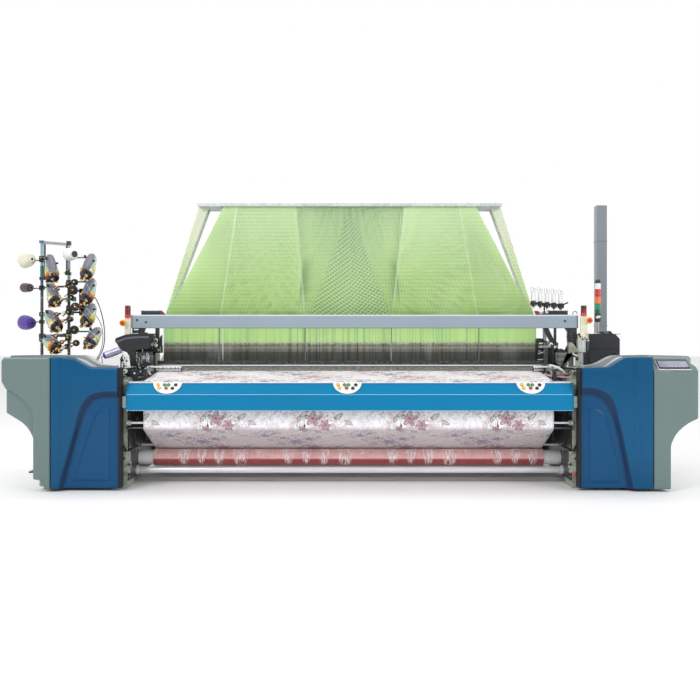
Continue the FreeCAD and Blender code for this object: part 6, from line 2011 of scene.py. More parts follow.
# --- yarn cones
CREEL = [((-2914, 180, 1944), (-3107, 172, 1940), 45, 62, "cone_cream"),
         ((-2925, 180, 1683), (-3070, 172, 1692), 34, 42, "cone_brown"),
         ((-2905, 180, 1370), (-3068, 160, 1358), 46, 66, "cone_purple"),
         ((-2545, 150, 2010), (-2650, 40, 1990), 40, 58, "cone_white")]
CONE_AX = [((-2948, 128, 1950), (-3062, 214, 1934)), ((-2952, 112, 1684), (-3056, 206, 1690)),
           ((-2944, 122, 1356), (-3060, 208, 1366)), ((-2530, 52, 1988), (-2620, 150, 1996))]
for k, (p, q, ra, rb, mt) in enumerate(CREEL):
    g = Geo(0)
    p, q = CONE_AX[k]
    p, q = Vector(p), Vector(q)
    L_ = (q - p).length
    prof = [(0.0, 14), (0.0, ra * 0.62), (L_ * 0.04, ra * 0.90)]
    for i in range(17):
        t = 0.08 + 0.84 * i / 16.0
        bulge = 1.0 + (0.17 if k != 1 else 0.10) * math.sin(math.pi * t)
        prof.append((L_ * t, (ra + (rb - ra) * t) * bulge + 0.5 * math.sin(i * 2.4)))
    prof += [(L_ * 0.97, rb * 0.94), (L_, rb * 0.68), (L_, 14), (0.0, 14)]
    g.lathe(p, q - p, prof, 40)
    # tube of the cone, with its dark bore
    rb_ = (13, 12, 13, 30)[k]
    g.at(1).lathe(p - (q - p).normalized() * 5, q - p, [(0, rb_), (0, rb_ + 8), (L_ + 3.0, rb_ + 9), (L_ + 3.0, rb_ + 2), (0, rb_)], 28)
    g.at(2).lathe(p - (q - p).normalized() * 3.0, q - p, [(0, 0), (0, rb_), (L_ - 0.2, rb_ + 1), (L_ - 0.2, 0)], 24)
    g.make("yarn_cone_%d" % (k + 1), [mt, ("white", "grey_plastic", "cone_purple", "white")[k], "black"], "frame", "yarn_cone",
           replaces=["yarn_packages"] if k == 0 else ())
# pegs that carry the cones, clamped to the posts
g = Geo(0)
for (p, q, ra, rb, mt), x in zip(CREEL, (PX[0], PX[0], PX[0], PX[1])):
    py_ = p[1] if x == PX[0] else p[1] + 4
    g.at(0).cyl((x, 180, p[2]), (p[0] - 46 if x == PX[0] else -2618, py_ - 4, p[2] - 2), 5.5, n=14)
    g.at(1).box(x - 20, x + 20, 160, 200, p[2] - 18, p[2] + 18)
    g.at(0).bolt((x + 8, 160, p[2]), (0, -1, 0), 4.5)
    g.at(1).lathe((x, 140, p[2]), (0, 1, 0), [(0, 0), (0, 8), (14, 10), (20, 10), (20, 0)], 16)
g.make("cone_pegs", ["steel_dark", "black"], "frame", "stand_black", bevel=0.6)

# weft ends from the cones to the feeders, and on to the selector
def thread(g, a, b, sag, r=0.9, n=14):
    a, b = Vector(a), Vector(b)
    pts = []
    for i in range(n + 1):
        t = i / n
        p = a.lerp(b, t)
        p.z -= sag * 4 * t * (1 - t)
        pts.append(tuple(p))
    g.tube(pts, r, 5)


g = Geo(0)
for (p, q, ra, rb, mt), i in zip(CREEL, (0, 1, 2, 4)):
    front, way = FEED[i]
    e = Vector(front) + Vector(way).normalized() * 277
    thread(g, (p[0] + 2, p[1], p[2]), e, 14)
for i, (front, way) in enumerate(FEED):
    d = Vector(way).normalized()
    s = Vector(front) - d * 60
    thread(g, s, (-1960 + 8 * i, -300.0, 1070 - 8 * i), 10 + 2 * i, 0.8, 16)
g.make("weft_threads", [surf("weft_thread", (232, 226, 214), 0.6, var=0.1, vscale=20, bump=0.2, bscale=900)], "frame", "yarn_cone")

# selvedge bobbins on the small rack
M["bobbin_yarn"] = cone_mat("bobbin_yarn", (222, 224, 226), (244, 246, 246))
for i in range(5):
    x = 1652 + i * 61
    zb = 1548 - 6 * i
    g = Geo(0)
    prof = [(6, 10), (6, 21.5)]
    for k in range(14):
        t = k / 13.0
        prof.append((10 + 74 * t, 22 - 6 * t ** 1.6 + 0.5 * (k % 2)))
    prof += [(90, 12), (90, 10), (6, 10)]
    g.lathe((x, -108, zb), (0, 0, 1), prof, 28)
    g.at(1).lathe((x, -108, zb - 6), (0, 0, 1), [(0, 0), (0, 21), (8, 22), (12, 19), (12, 0)], 24)
    # wire loops over the bobbin that lead its thread
    g.at(2)
    for dx, hz, hw in ((-16, 116, 15), (9, 104, 14)):
        pts = [(x + dx - 5, -122, zb - 4), (x + dx - 5, -124, zb + 60), (x + dx - hw * 0.7, -124, zb + hz - 16)]
        for q in range(7):
            a = math.pi * (1.0 - q / 6.0)
            pts.append((x + dx + hw * math.cos(a) * 0.8, -124, zb + hz + hw * 0.8 * math.sin(a)))
        pts += [(x + dx + hw * 0.6, -124, zb + hz - 14), (x + dx, -124, zb + hz - 20)]
        g.tube(pts, 1.7, 6)
    g.make("selvedge_bobbin_%d" % (i + 1), ["bobbin_yarn", "black", "steel_v"], "frame", "yarn_cone")
g = Geo(0)
g.prism([(1628, 1540), (1628, 1526), (1905, 1506), (1920, 1512), (1920, 1522)], "xz", -118, -98)
g.at(1)
for i in range(5):
    x = 1652 + i * 61
    zb = 1542 - 6 * i
    g.box(x - 18, x + 18, -126, -90, zb - 22, zb - 2)
    g.prism([(x - 26, zb + 4), (x - 12, zb - 6), (x - 16, zb - 34), (x - 24, zb - 26)], "xz", -124, -94)
    g.prism([(x + 30, zb + 2), (x + 16, zb - 8), (x + 18, zb - 38), (x + 26, zb - 30)], "xz", -124, -94)
    g.box(x - 9, x + 9, -122, -94, zb - 44, zb - 20)
    g.at(2).bolt((x, -126, zb - 12), (0, -1, 0), 5)
    g.at(2).tube([(x + 4, -124, zb - 40), (x + 2, -130, zb - 54), (x + 4, -132, zb - 68)], 1.8, 6)
    g.at(1).tube([(x - 8, -124, zb - 40), (x - 9, -130, zb - 50), (x - 8, -132, zb - 60)], 2.2, 6)
g.bar((1870, -112, 1500), (1962, -112, 1536), 16, 12)
g.at(0)
g.cyl((1750, -108, 1425), (1750, -108, 1524), 7.5, n=18)
g.at(1).box(1736, 1764, -122, -94, 1425, 1437)
g.make("bobbin_rack", ["black", "rubber", "steel_dark"], "frame", "rail_paint", bevel=0.8)

# ------------------------------------------------------------------ weft selector
g = Geo(0)
# curved hood: outline swept across with a rounded belly, a lid along its top edge
out = smooth_poly([(-2055, 1200), (-2048, 1214), (-2016, 1227), (-1954, 1247), (-1858, 1256), (-1735, 1256)], 4)
low = smooth_poly([(-1727, 1246), (-1727, 1218), (-1739, 1200), (-1752, 1150), (-1762, 1124), (-1814, 1118), (-1884, 1108), (-1946, 1097), (-1981, 1099), (-2011, 1121),
                   (-2038, 1158), (-2055, 1190)], 3)
g.prism(out + low, "xz", -296, -184)
g.at(0)
# belly: slices set back towards the lower edge
C = (-1890.0, 1186.0)
full = out + low
for k, (sc, yy) in enumerate(((0.985, -300), (0.96, -303.5), (0.92, -306.5), (0.86, -309))):
    g.prism([(C[0] + (x - C[0]) * sc, C[1] + (z - C[1]) * sc - 1.5 * k) for x, z in full], "xz", yy, yy + 6)
g.at(0)
lid_t = [(x, z + 1.5) for x, z in out]
lid_b = [(x, z - 16) for x, z in out][::-1]
g.prism(lid_t + lid_b, "xz", -312, -182)
# painted highlight: a grey strip along the front of the hood stands in for the reflection on its gloss
g.at(1)
glint_top = [(x * 0.985 - 1890 * 0.015, z - 24) for x, z in out[2:-1]]
glint_bottom = [(x * 0.975 - 1890 * 0.025, z - 37 - 4 * math.sin(math.pi * i / len(out))) for i, (x, z) in enumerate(out[2:-1])][::-1]
g.prism(glint_top + glint_bottom, "xz", -311, -304)
g.at(0)
g.prism([(-1975, 1118), (-1880, 1118), (-1880, 966), (-1925, 966), (-1935, 1060)], "xz", -299, -181)
g.box(-1900, -1871, -262, -181, 965, 999)
g.box(-1858, -1800, -240, -180, 1252, 1268)
g.make("selector_hood", ["black_gloss", surf("hood_highlight_band", (92, 98, 110), 0.25, 0.2, var=0.3, vscale=6, bump=0.03, coat=0.5)], "frame",
       "selector_black", bevel=4, seg=2, replaces=["weft_selector"])
g = Geo(0)
p, q = Vector((-2178, -235, 1058.5)), Vector((-2020, -235, 1115))
d = (q - p).normalized()
g.at(0).cyl(p + d * 22, q, 31, n=32, ch=2)
for t in (34, 52, 70, 88, 106, 124):
    g.at(0).lathe(p + d * t, d, [(0, 30.5), (0, 33), (7, 33), (7, 30.5), (0, 30.5)], 32)
g.at(1).lathe(p, d, [(0, 0), (0, 22), (4, 28), (22, 30), (24, 30), (24, 0)], 32)
g.at(2).cyl(p - d * 4, p + d * 2, 11, n=18)
g.at(2).prism([(-2150, 1036), (-2040, 1074), (-2040, 1080), (-2150, 1042)], "xz", -252, -218)
g.at(2).tube([p - d * 4, p - d * 20 + Vector((0, 0, -3)), p - d * 22 + Vector((4, 10, -30)), Vector((-2196, -210, 1000)), Vector((-2222, -190, 963))], 3.2, 8)
g.make("selector_solenoid", [surf("solenoid_case", (186, 180, 214), 0.3, 0.35, var=0.12, vscale=14, bump=0.1, coat=0.3),
                             surf("solenoid_tip", (52, 52, 140), 0.25, var=0.1, vscale=20, coat=0.5), "cable"], "frame", "selector_black", bevel=0.5)
g = Geo(0)
# finger block: eight yarn fingers side by side, their levers and the box behind
g.box(-1878, -1715, -262, -256, 962, 1096)
g.box(-1878, -1866, -299, -258, 962, 1096)
g.box(-1727, -1715, -299, -258, 962, 1096)
g.box(-1878, -1715, -299, -258, 1070, 1098)
g.at(1)
for k in range(8):
    x = -1858 + k * 17.5
    g.box(x - 3, x + 3, -296, -270, 985, 1072)
    g.cyl((x, -292, 984), (x + 6, -294, 962 + 4 * (k % 3)), 2.2, n=8)
    g.at(2).ring((x + 7, -294, 959 + 4 * (k % 3)), (0, 1, 0), 4, 1.3, 14, 6)
    g.at(1)
    g.bolt((x, -299, 1084), (0, -1, 0), 3.2, washer=False)
g.at(1)
g.box(-1902, -1870, -299, -264, 880, 962)
g.box(-2010, -1880, -299, -266, 872, 963)
g.box(-1894, -1871, -299, -264, 822, 880)
for x in (-1990, -1950, -1910):
    g.bolt((x, -299, 930), (0, -1, 0), 5)
g.make("selector_fingers", ["black", "steel_v", "ceramic"], "frame", "selector_black", bevel=0.6)
# ------------------------------------------------------------------ side frames, rail, lamps, cabinet, mechanisms
cad("left_side_frame", "cast", bevel=4, seg=3)
cad("right_side_frame", "cast", bevel=3, seg=3)

# black plates on the inner faces of the side frames, with their bolts: painted shade for the dark inside of the machine
g = Geo(0)
for s in (-1, 1):
    g.box(*sorted((s * 1799.5, s * 1796.5)), -555, -100, 620, 876)
    g.box(*sorted((s * 1799.5, s * 1796.5)), -555, 620, 92, 310)
    g.box(*sorted((s * 1799.5, s * 1796.5)), -555, -255, 310, 620)
    g.box(*sorted((s * 1799.5, s * 1796.5)), -200, 620, 320, 470)
    g.box(*sorted((s * 1799.5, s * 1796.5)), -270, -76, 884, 1160)
    g.box(*sorted((s * 1799.5, s * 1796.5)), 80, 620, 500, 920)
    hole = circle(-825, 700, 25, 24, True)
    plate(g, [[(-868, 300), (-560, 300), (-560, 560), (-640, 780), (-868, 780)], hole], frame_x(s * 1796.5, 0, 0), 6)
    plate(g, [[(-868, 60), (-575, 60), (-575, 120), (-600, 290), (-868, 290)]], frame_x(s * 1796.5, 0, 0), 5)
    g.box(*sorted((s * 1799, s * 1790)), -868, -852, 300, 780)
    g.box(*sorted((s * 1799, s * 1780)), -700, -690, 320, 700)
    g.box(*sorted((s * 1799, s * 1776)), -868, -560, 300, 310)
    g.at(1)
    for y, z in ((-850, 330), (-850, 600), (-850, 760), (-590, 330), (-600, 540), (-660, 740), (-850, 90), (-600, 90)):
        g.bolt((s * 1793.5, y, z), (-s, 0, 0), 7)
    g.at(0)
g.make("cheek_plates", ["black", "zinc"], "frame", "cast_frame", bevel=1)

# bearing housings for the rollers on both sides of each frame
g = Geo(0)
for s in (-1, 1):
    for y, z, r, w in ((-490, 200, 20, 34), (-825, 700, 22, 22), (650, 470, 35, 30), (800, 980, 20, 26), (-150, 420, 30, 28)):
        g.lathe((s * 1870, y, z), (s, 0, 0), [(0, r + 0.4), (0, r + 34), (10, r + 34), (14, r + 22), (w, r + 16), (w + 2, r + 13), (w + 2, r + 0.4), (0, r + 0.4)], 36)
        g.at(1)
        for k in range(4):
            a = math.radians(45 + 90 * k)
            g.bolt((s * 1880, y + (r + 27) * math.cos(a), z + (r + 27) * math.sin(a)), (s, 0, 0), 5.5)
        g.at(0)
g.make("bearing_housings", ["cast", "zinc"], "frame", "cast_frame")

# brackets of the cloth roll on the front edges of the frames
g = Geo(0)
for s in (-1, 1):
    X = lambda a, b: (min(s * a, s * b), max(s * a, s * b))
    g.at(0).box(*X(1772, 1862), -898, -880, 128, 300)
    g.lathe((s * 1820, -880, 244), (0, -1, 0), [(0, 0), (0, 38), (26, 34), (30, 26), (30, 12), (24, 10), (24, 0)], 28)
    g.at(0).box(*X(1790, 1850), -912, -880, 140, 186)
    g.box(*X(1764, 1790), -905, -884, 170, 214)
    g.at(1).cyl((s * 1776, -908, 196), (s * 1776, -880, 196), 13, n=20, ch=2)
    g.bolt((s * 1820, -906, 244), (0, -1, 0), 9)
    for z in (148, 286):
        g.bolt((s * 1850, -898, z), (0, -1, 0), 6)
    g.at(2).cyl((s * 1838, -917, 163), (s * 1838, -912, 163), 14, n=20)
    g.bar((s * 1800, -900, 300), (s * 1836, -902, 372), 18, 12)
    g.at(1).cyl((s * 1836, -912, 372), (s * 1836, -896, 372), 12, n=18, ch=2)
    # carriers of the white guide bar
    g.at(0).box(*X(1768, 1800), -902, -874, 512, 550)
    g.at(2).box(*X(1776, 1800), -525, -501, 296, 324)
g.make("roll_brackets", ["cast", "steel_dark", "black"], "frame", "cast_frame", bevel=2.5)
g = Geo(0)
# release lever and lower cheek on the right frame
g.bar((1862, -904, 300), (1815, -916, 130), 20, 12)
g.cyl((1862, -893, 300), (1862, -920, 300), 15, n=20, ch=2)
g.at(1).ball((1812, -918, 122), 15, 18, 10)
g.at(2).box(1871, 1905, -884, -696, 58, 262)
for y in (-860, -720):
    for z in (80, 240):
        g.at(3).bolt((1888, -884, z), (0, -1, 0), 6)
g.make("roll_release", ["steel", "red", "black", "zinc"], "frame", "cast_frame", bevel=1.5)

# ---- breast beam, its bar and the temples
g = Geo(0)
g.box(-1799.5, 1799.5, -860, -700, 790, 848)
g.box(-1799.5, 1799.5, -864, -858, 786, 846)
g.at(1).cyl((-1799.5, -880, 848), (1799.5, -880, 848), 19, n=32)
for x in range(-1600, 1700, 400):
    g.at(1).box(x - 25, x + 25, -866, -852, 800, 836)
    g.bolt((x, -866, 818), (0, -1, 0), 6)
g.make("breast_beam_bar", ["cast", "steel"], "frame", "breast_steel", bevel=2, replaces=["breast_beam"])
for nm, x0, x1, s in (("temple_left", -1705, -1457, -1), ("temple_right", 1590, 1744, 1)):
    g = Geo(0)
    g.cyl((x0, -400, 947), (x1, -400, 947), 14.5, n=28)
    n = int(abs(x1 - x0) / 9)
    for i in range(n):
        x = x0 + 5 + i * (x1 - x0 - 10) / n
        g.lathe((x, -400, 947), (1, 0, 0), [(0, 14.4), (0.6, 16.8), (3.4, 16.8), (4.0, 14.4), (0, 14.4)], 24)
    # cover over the rings, and the arm that holds them
    g.at(0).box(x0 - 2, x1 + 2, -424, -390, 962, 971)
    g.box(x0 - 2, x1 + 2, -426, -421, 955, 968)
    g.at(0).box(x0 - 2, x1 + 2, -423, -391, 971, 976)
    for k in range(7):
        xk = x0 + (x1 - x0) * (0.06 + 0.14 * k)
        g.at(1).box(xk, xk + 9 + 5 * (k % 3), -427.5, -426, 956, 963)
        g.at(1).box(xk + 12, xk + 20, -424.5, -388, 975, 977.5)
    g.at(1).box(x0, x1, -426.5, -424, 951, 954.5)
    xa = s * 1690
    g.at(3).box(xa - 14, xa + 14, -724, -391, 936, 958)
    g.box(xa - 9, xa + 9, -700, -430, 958, 966)
    g.at(1).box(xa - 15, xa + 15, -744, -716, 849, 960)
    g.at(3).box(xa - 34, xa + 34, -748, -712, 848, 862)
    for dx in (-26, 26):
        g.at(4).bolt((xa + dx, -730, 862), (0, 0, 1), 6)
    g.bolt((xa, -730, 960), (0, 0, 1), 8)
    g.bolt((xa, -520, 966), (0, 0, 1), 6)
    g.at(1).box(xa - 20, xa + 20, -452, -424, 930, 962)
    g.at(3).spring((xa, -640, 974), (xa, -560, 974), 7, 1.6, 9)
    g.cyl((xa, -712, 974), (xa, -540, 974), 3.5, n=10)
    g.at(1).lathe((x1 if s < 0 else x0, -400, 947), (-s, 0, 0), [(0, 0), (0, 17.2), (5, 17.2), (7, 13), (7, 0)], 24)
    g.make(nm, ["white_paint", "black", "grey_plastic", "steel_v", "zinc"], "frame", "breast_steel", bevel=0.7)
g = Geo(0)
# white hoses beside the temples
g.tube([(p_, -430, q_) for p_, q_ in smooth_poly([(-1716, 900), (-1726, 914), (-1731, 934), (-1724, 957), (-1700, 975)], 5)], 8.5, 12)
g.tube([(1752, -430, 905), (1764, -430, 930), (1770, -430, 960), (1762, -428, 978)], 6.0, 12)
g.make("temple_hoses", ["white"], "frame", "breast_steel")

# ---- suction duct at the right: white duct arching from the cloth edge to the frame, with its shell
g = Geo(0)
Q = lambda p, q, y=-332: px(p, q, y)
a = smooth_poly([Q(549.5, 365.6), Q(553, 366.2), Q(558, 368), Q(563, 371.2), Q(568, 375.2), Q(573, 379), Q(577.5, 381.5)], 5)
n = len(a)
for dy, rr in ((0, 9.5), (20, 8)):
    g.tube([(p[0], -332 + dy, p[1] + 0.2 * dy) for p in a], [rr + 2.5 * math.sin(math.pi * i / (n - 1)) for i in range(n)], 14)
b = smooth_poly([Q(546.8, 365.6), Q(549.2, 369), Q(551, 373.2), Q(553, 377.5)], 5)
g.tube([(p[0], -336, p[1]) for p in b], 7, 12)
c = smooth_poly([Q(549.5, 366.5), Q(553, 370), Q(556, 374.5), Q(560, 379)], 5)
g.tube([(p[0], -326, p[1]) for p in c], 6, 12)
g.at(1)
g.prism([Q(550.5, 368), Q(557, 369.5), Q(566, 375.5), Q(575, 381.5), Q(575, 384), Q(551, 384)], "xz", -324, -316)
g.at(2)
g.prism([Q(552.2, 368.6), Q(556.2, 369.2), Q(559.2, 371.4), Q(554.6, 370.4)], "xz", -343.5, -341)
g.prism([Q(559.8, 372.8), Q(563.4, 374.0), Q(567.0, 377.0), Q(562.8, 375.4)], "xz", -343.5, -341)
g.prism([Q(549.2, 367, -398), Q(550.4, 369, -398), Q(548.4, 373.6, -398), Q(546.6, 371, -398)], "xz", -400, -396)
g.at(3).prism([Q(566.6, 378.6), Q(571.0, 380.6), Q(576.4, 382.8), Q(568.8, 381.4)], "xz", -343.5, -341)
g.at(0)
for p, q, r, yy in ((552.6, 376.4, 12, -340), (557.4, 378.0, 9, -340), (545.4, 374.6, 12, -392), (540.8, 373.4, 10, -392)):
    x, z = Q(p, q, yy - 10)
    g.lathe((x, yy, z), (0, -1, 0), [(0, 0), (0, r), (10, r), (13, r * 0.6), (13, 0)], 20)
# arm that carries the two parts in front of the reed's swing
xa, za = Q(553.5, 377.2, -350)
xb, zb = Q(540.8, 373.6, -388)
g.bar((xa, -340, za), (xa, -388, za - 1), 7, 9)
g.bar((xa + 3, -388, za - 1), (xb - 4, -388, zb), 7, 9)
g.at(2)
for p, q, r, yy in ((545.8, 376.6, 6, -404), (541.6, 375.6, 5, -404), (553.0, 378.2, 4, -352)):
    x, z = Q(p, q, yy - 6)
    g.lathe((x, yy + 4, z), (0, -1, 0), [(0, 0), (0, r), (9, r), (9, 0)], 16)
g.make("suction_duct", ["white", surf("duct_shell", (208, 212, 204), 0.4, var=0.1, vscale=12, bump=0.15), "black", "teal_light"], "frame", "plate_white", bevel=1.2)
g = Geo(0)
# waste selvedge and weft ends drawn off at the right edge of the cloth
for k in range(9):
    y = -700 + 26 * k
    z = 895 + 2 * math.sin(k)
    g.tube([(1647, y, z + 8 - k), (1700, y - 14, z + 6), (1765, y - 22 + 4 * (k % 3), z - 2 + 4 * (k % 2)), (1838, y - 30, z - 6)], 4.5, 6)
g.at(1)
for k in range(5):
    y = -690 + 40 * k
    g.tube([(1647, y, 900), (1720, y - 10, 904 + 3 * (k % 2)), (1800, y - 24, 896), (1850, y - 36, 884)], 3.2, 6)
g.make("waste_selvedge", [surf("waste_pink", (222, 170, 190), 0.7, var=0.2, vscale=40, bump=0.4, bscale=600, sheen=0.3),
                          surf("waste_red", (160, 30, 52), 0.7, var=0.2, vscale=40, bump=0.4, bscale=600, sheen=0.3)], "frame", "cloth")

# ---- top rail with its posts, castings and channels
g = Geo(0)
g.box(-1960, 2046, -130, -70, 1306, 1425)
# painted highlight: a light strip along the top front edge of the rail
g.at(1)
g.box(-1961, 2047, -131.5, -126, 1414, 1426.5)
g.at(3).box(-1961, 2047, -131.0, -127, 1305.2, 1309)
g.at(2)
for p, q in ((137, 320), (146, 322), (565, 321)):
    x, z = px(p, q, -130)
    g.bolt((x, -130, z), (0, -1, 0), 9)
g.at(0)
g.box(-1962, -1954, -128, -72, 1308, 1420)
g.box(2040, 2048, -128, -72, 1308, 1420)
g.at(4).box(2036, 2048.5, -132, -128, 1310, 1418)
g.make("top_rail_beam", ["rail", surf("rail_edge_highlight", (208, 218, 224), 0.34, var=0.03, vscale=3, bump=0.02, coat=0.2), "steel_dark",
                         surf("rail_under", (70, 76, 84), 0.4, var=0.04, vscale=3, bump=0.02),
                         surf("rail_end_cap", (104, 112, 120), 0.4, var=0.05, vscale=9, bump=0.05)], "frame",
       "rail_paint", bevel=2.2, replaces=["top_rail"])
g = Geo(0)
g.box(-1748, -1716, -118, -82, 1150, 1306)
g.box(1834, 1857, -118, -102, 1150, 1306)
g.prism([(1744, 1306), (1790, 1306), (1850, 1180), (1806, 1180)], "xz", -99, -73)
CR = [(1936, 1306), (2040, 1306), (2040, 1150), (2036, 1100), (1985, 1050), (1891, 1050), (1891, 1085), (1935, 1110), (1962, 1160), (1955, 1230), (1958, 1272)]
g.prism(CR, "xz", -119, -81)
CL = [(-1955, 1306), (-1838, 1306), (-1852, 1262), (-1852, 1180), (-1872, 1150), (-1872, 1080), (-1895, 1080), (-1900, 1100), (-1900, 1262), (-1955, 1262)]
g.prism(CL, "xz", -119, -81)
g.box(-1890, -1872, -119, -81, 1040, 1150)
g.box(1871, 1892, -119, -81, 1040, 1120)
# stiffening ribs and plates
g.prism([(1966, 1300), (2034, 1300), (2034, 1158), (2026, 1108), (1984, 1062), (1972, 1074), (1978, 1160)], "xz", -124, -118)
g.prism([(-1950, 1300), (-1846, 1300), (-1860, 1268), (-1946, 1268)], "xz", -124, -118)
g.box(1812, 1842, -128, -88, 1180, 1192)
g.prism([(1752, 1300), (1770, 1300), (1826, 1184), (1812, 1184)], "xz", -103, -99)
g.at(1)
for x, z in ((2012, 1280), (2022, 1200), (1996, 1232), (1990, 1090), (1905, 1066), (1766, 1286), (1826, 1194), (-1930, 1284), (-1866, 1284),
             (-1732, 1290), (1846, 1294), (1846, 1166)):
    g.bolt((x, -124 if abs(x) > 1870 and z > 1100 else -118, z), (0, -1, 0), 5.5)
g.at(2).box(-1938, -1896, -126, -118, 1288, 1300)
g.make("rail_castings", ["black", "steel_dark", "white"], "frame", "rail_paint", bevel=1.6)
g = Geo(0)
slate = surf("channel_slate", (46, 56, 64), 0.42, var=0.12, vscale=7, bump=0.08, bscale=200)
for x0, x1, s in ((-1885, -1705, -1), (1790, 1970, 1)):
    g.at(5).box(x0, x1, -60, -20, 1428, 1462)
    g.at(5).box(x0, x1, -75, -55, 1425, 1458)
    g.at(0).box(x0 - 2, x1 + 2, -77, -18, 1458, 1466)
    g.at(1).box(x0 + 8, x1 - 8, -77.5, -74, 1430, 1446)
    g.at(0).box(x0 - 3, x1 + 3, -79, -70, 1424, 1429)
    for x in (x0 + 18, x1 - 18):
        g.at(2).bolt((x, -48, 1466), (0, 0, 1), 5)
g.at(6).box(-1712, -1698, -80, -40, 1426, 1462)
g.at(6).prism([(-1700, 1458), (-1680, 1446), (-1672, 1426), (-1700, 1426)], "xz", -79, -45)
g.at(1).tube([(-1702, -50, 1435), (-1690, -50, 1438), (-1676, -52, 1430), (-1668, -60, 1427)], 4, 8)
# cable guide at the right: white tube with its dark red end piece
g.at(4).cyl((1704, -84, 1449), (1790, -84, 1449), 10, n=20, ch=3)
g.at(6).prism([(1664, 1462), (1700, 1462), (1706, 1440), (1700, 1426), (1680, 1426)], "xz", -96, -72)
g.at(1).box(1700, 1790, -92, -60, 1425, 1436)
g.at(3).box(1690, 1712, -98, -92, 1438, 1454)
g.make("lamp_channels", ["grey_plastic", "black", "zinc", "red", "white", slate, surf("end_piece", (110, 52, 44), 0.5, var=0.3, vscale=30, bump=0.2)],
       "frame", "rail_paint", bevel=1)
g = Geo(0)
# hand loop at the right end of the rail
g.tube([(2006, -104, 1424), (2006, -104, 1440), (2016, -104, 1456), (2030, -104, 1460), (2041, -104, 1452), (2044, -104, 1434)], 5, 10)
g.make("rail_loop", [surf("loop_grey", (166, 158, 164), 0.4, var=0.1, vscale=30)], "frame", "rail_paint")

# ---- lamps: two beacons with stop buttons, and the signal tower
cream = surf("mast_cream", (232, 228, 206), 0.3, var=0.05, vscale=10, bump=0.08, coat=0.3)
for nm, x, y, zp0, zp1, zl0, zl1, zs, sd in (("left", -2000, -150, 1236, 1400, 1399, 1509, 1352, -1),
                                             ("right", 2113, -150, 1186, 1417, 1416, 1509, 1375, 1)):
    g = Geo(0)
    w = 26 if nm == "left" else 30
    xo = x + (14 if nm == "left" else -20)
    g.at(0).cyl((x, y, zp0), (x, y, zp1), 15, n=28)
    g.box(xo - w, xo + w, y - 12, y + 16, zp0 - 4, zp1 - 2)
    x, xk = xo, x
    g.at(2).lathe((x, y, zl0), (0, 0, 1), [(0, 0), (0, 28), (22, 28), (26, 26), (26, 0)], 32)
    g.at(6).lathe((x, y, zl0 + 25), (0, 0, 1), [(0, 0), (0, 25)] + [(4 + 7 * k + d, 25 + e) for k in range(6) for d, e in ((0, 0.2), (3.4, 0.9))] +
                  [(zl1 - zl0 - 43, 25), (zl1 - zl0 - 43, 0)], 32)
    g.at(3).lathe((x, y, zl1 - 20), (0, 0, 1), [(0, 0), (0, 25.6), (14, 25.6), (19, 22), (20, 0)], 32)
    x = xk
    # bracket and yellow disc of the stop button
    xc = x + sd * 20
    g.at(0).box(min(x, x + sd * 30), max(x, x + sd * 30), y - 37, y - 8, zs - 22, zs + 22)
    g.at(4).lathe((xc, y - 38, zs), (0, -1, 0), [(0, 0), (0, 30), (7, 30), (8, 29), (8, 0)], 36)
    g.at(1).lathe((xc, y - 46, zs), (0, -1, 0), [(0, 12.6), (0, 16), (6.2, 15.4), (6.2, 12.6), (0, 12.6)], 28)
    g.at(5).bolt((x, y - 15.5, zp0 + 20), (0, -1, 0), 4)
    g.make(nm + "_beacon", [cream, "black", "lens_red", "lens_darkred" if nm == "left" else "black", "yellow", "zinc", "lens_darkred"], "frame", "lamp_parts", bevel=1.0,
           replaces=["signal_lights"] if nm == "left" else ())
g = Geo(0)
g.box(-2014, -1940, -164, -76, 1222, 1237)
g.box(-1960, -1940, -129, -81, 1222, 1261)
g.at(1)
g.box(2036, 2104, -178, -120, 1092, 1198)
for xa, ra in ((2052, 17), (2080, 20)):
    g.lathe((xa, -166, 1090), (0, 0, 1), [(0, 0), (0, ra), (108, ra), (112, ra - 4), (112, 0)], 28)
g.box(2034, 2136, -180, -120, 1188, 1201)
g.box(2040, 2060, -129, -105, 1121, 1179)
g.at(0)
for x, z, r in ((2056, 1234, 17), (2094, 1224, 16), (2124, 1262, 12)):
    g.lathe((x, -164, z), (0, -1, 0), [(0, 0), (0, r), (18, r), (22, r * 0.7), (22, 0)], 24)
g.box(2040, 2132, -164, -140, 1198, 1262)
g.at(2)
for x, z, r in ((2052, 1232, 9), (2094, 1222, 6), (2042, 1250, 11), (2136, 1244, 11), (2110, 1206, 8), (2074, 1206, 7)):
    g.lathe((x, -186, z), (0, -1, 0), [(0, 0), (0, r), (5, r), (6, r * 0.7), (6, 0)], 20)
g.at(2).box(2106, 2116, -184, -150, 1096, 1190)
g.at(3).box(2118, 2128, -182, -150, 1110, 1190)
g.at(2).prism([(2058, 1090), (2118, 1090), (2118, 1078), (2070, 1048), (2058, 1052)], "xz", -180, -120)
g.make("beacon_brackets", [cream, surf("bracket_grey", (196, 202, 196), 0.4, var=0.12, vscale=16, bump=0.2, bscale=300), "black", "grey_plastic"],
       "frame", "lamp_parts", bevel=1.5)
TX, TY = 2318.0, 190.0
g = Geo(0)
g.at(0).cyl((TX, TY, 1250), (TX, TY, 1372), 11, n=24)
g.lathe((TX, TY, 1250), (0, 0, 1), [(0, 0), (0, 32), (8, 32), (12, 24), (12, 0)], 32)
z = 1368.0
mods = [(1, 77, 0), (2, 35, 1), (3, 60, 1), (4, 65, 1), (5, 69, 1), (6, 56, 1)]
zz = z
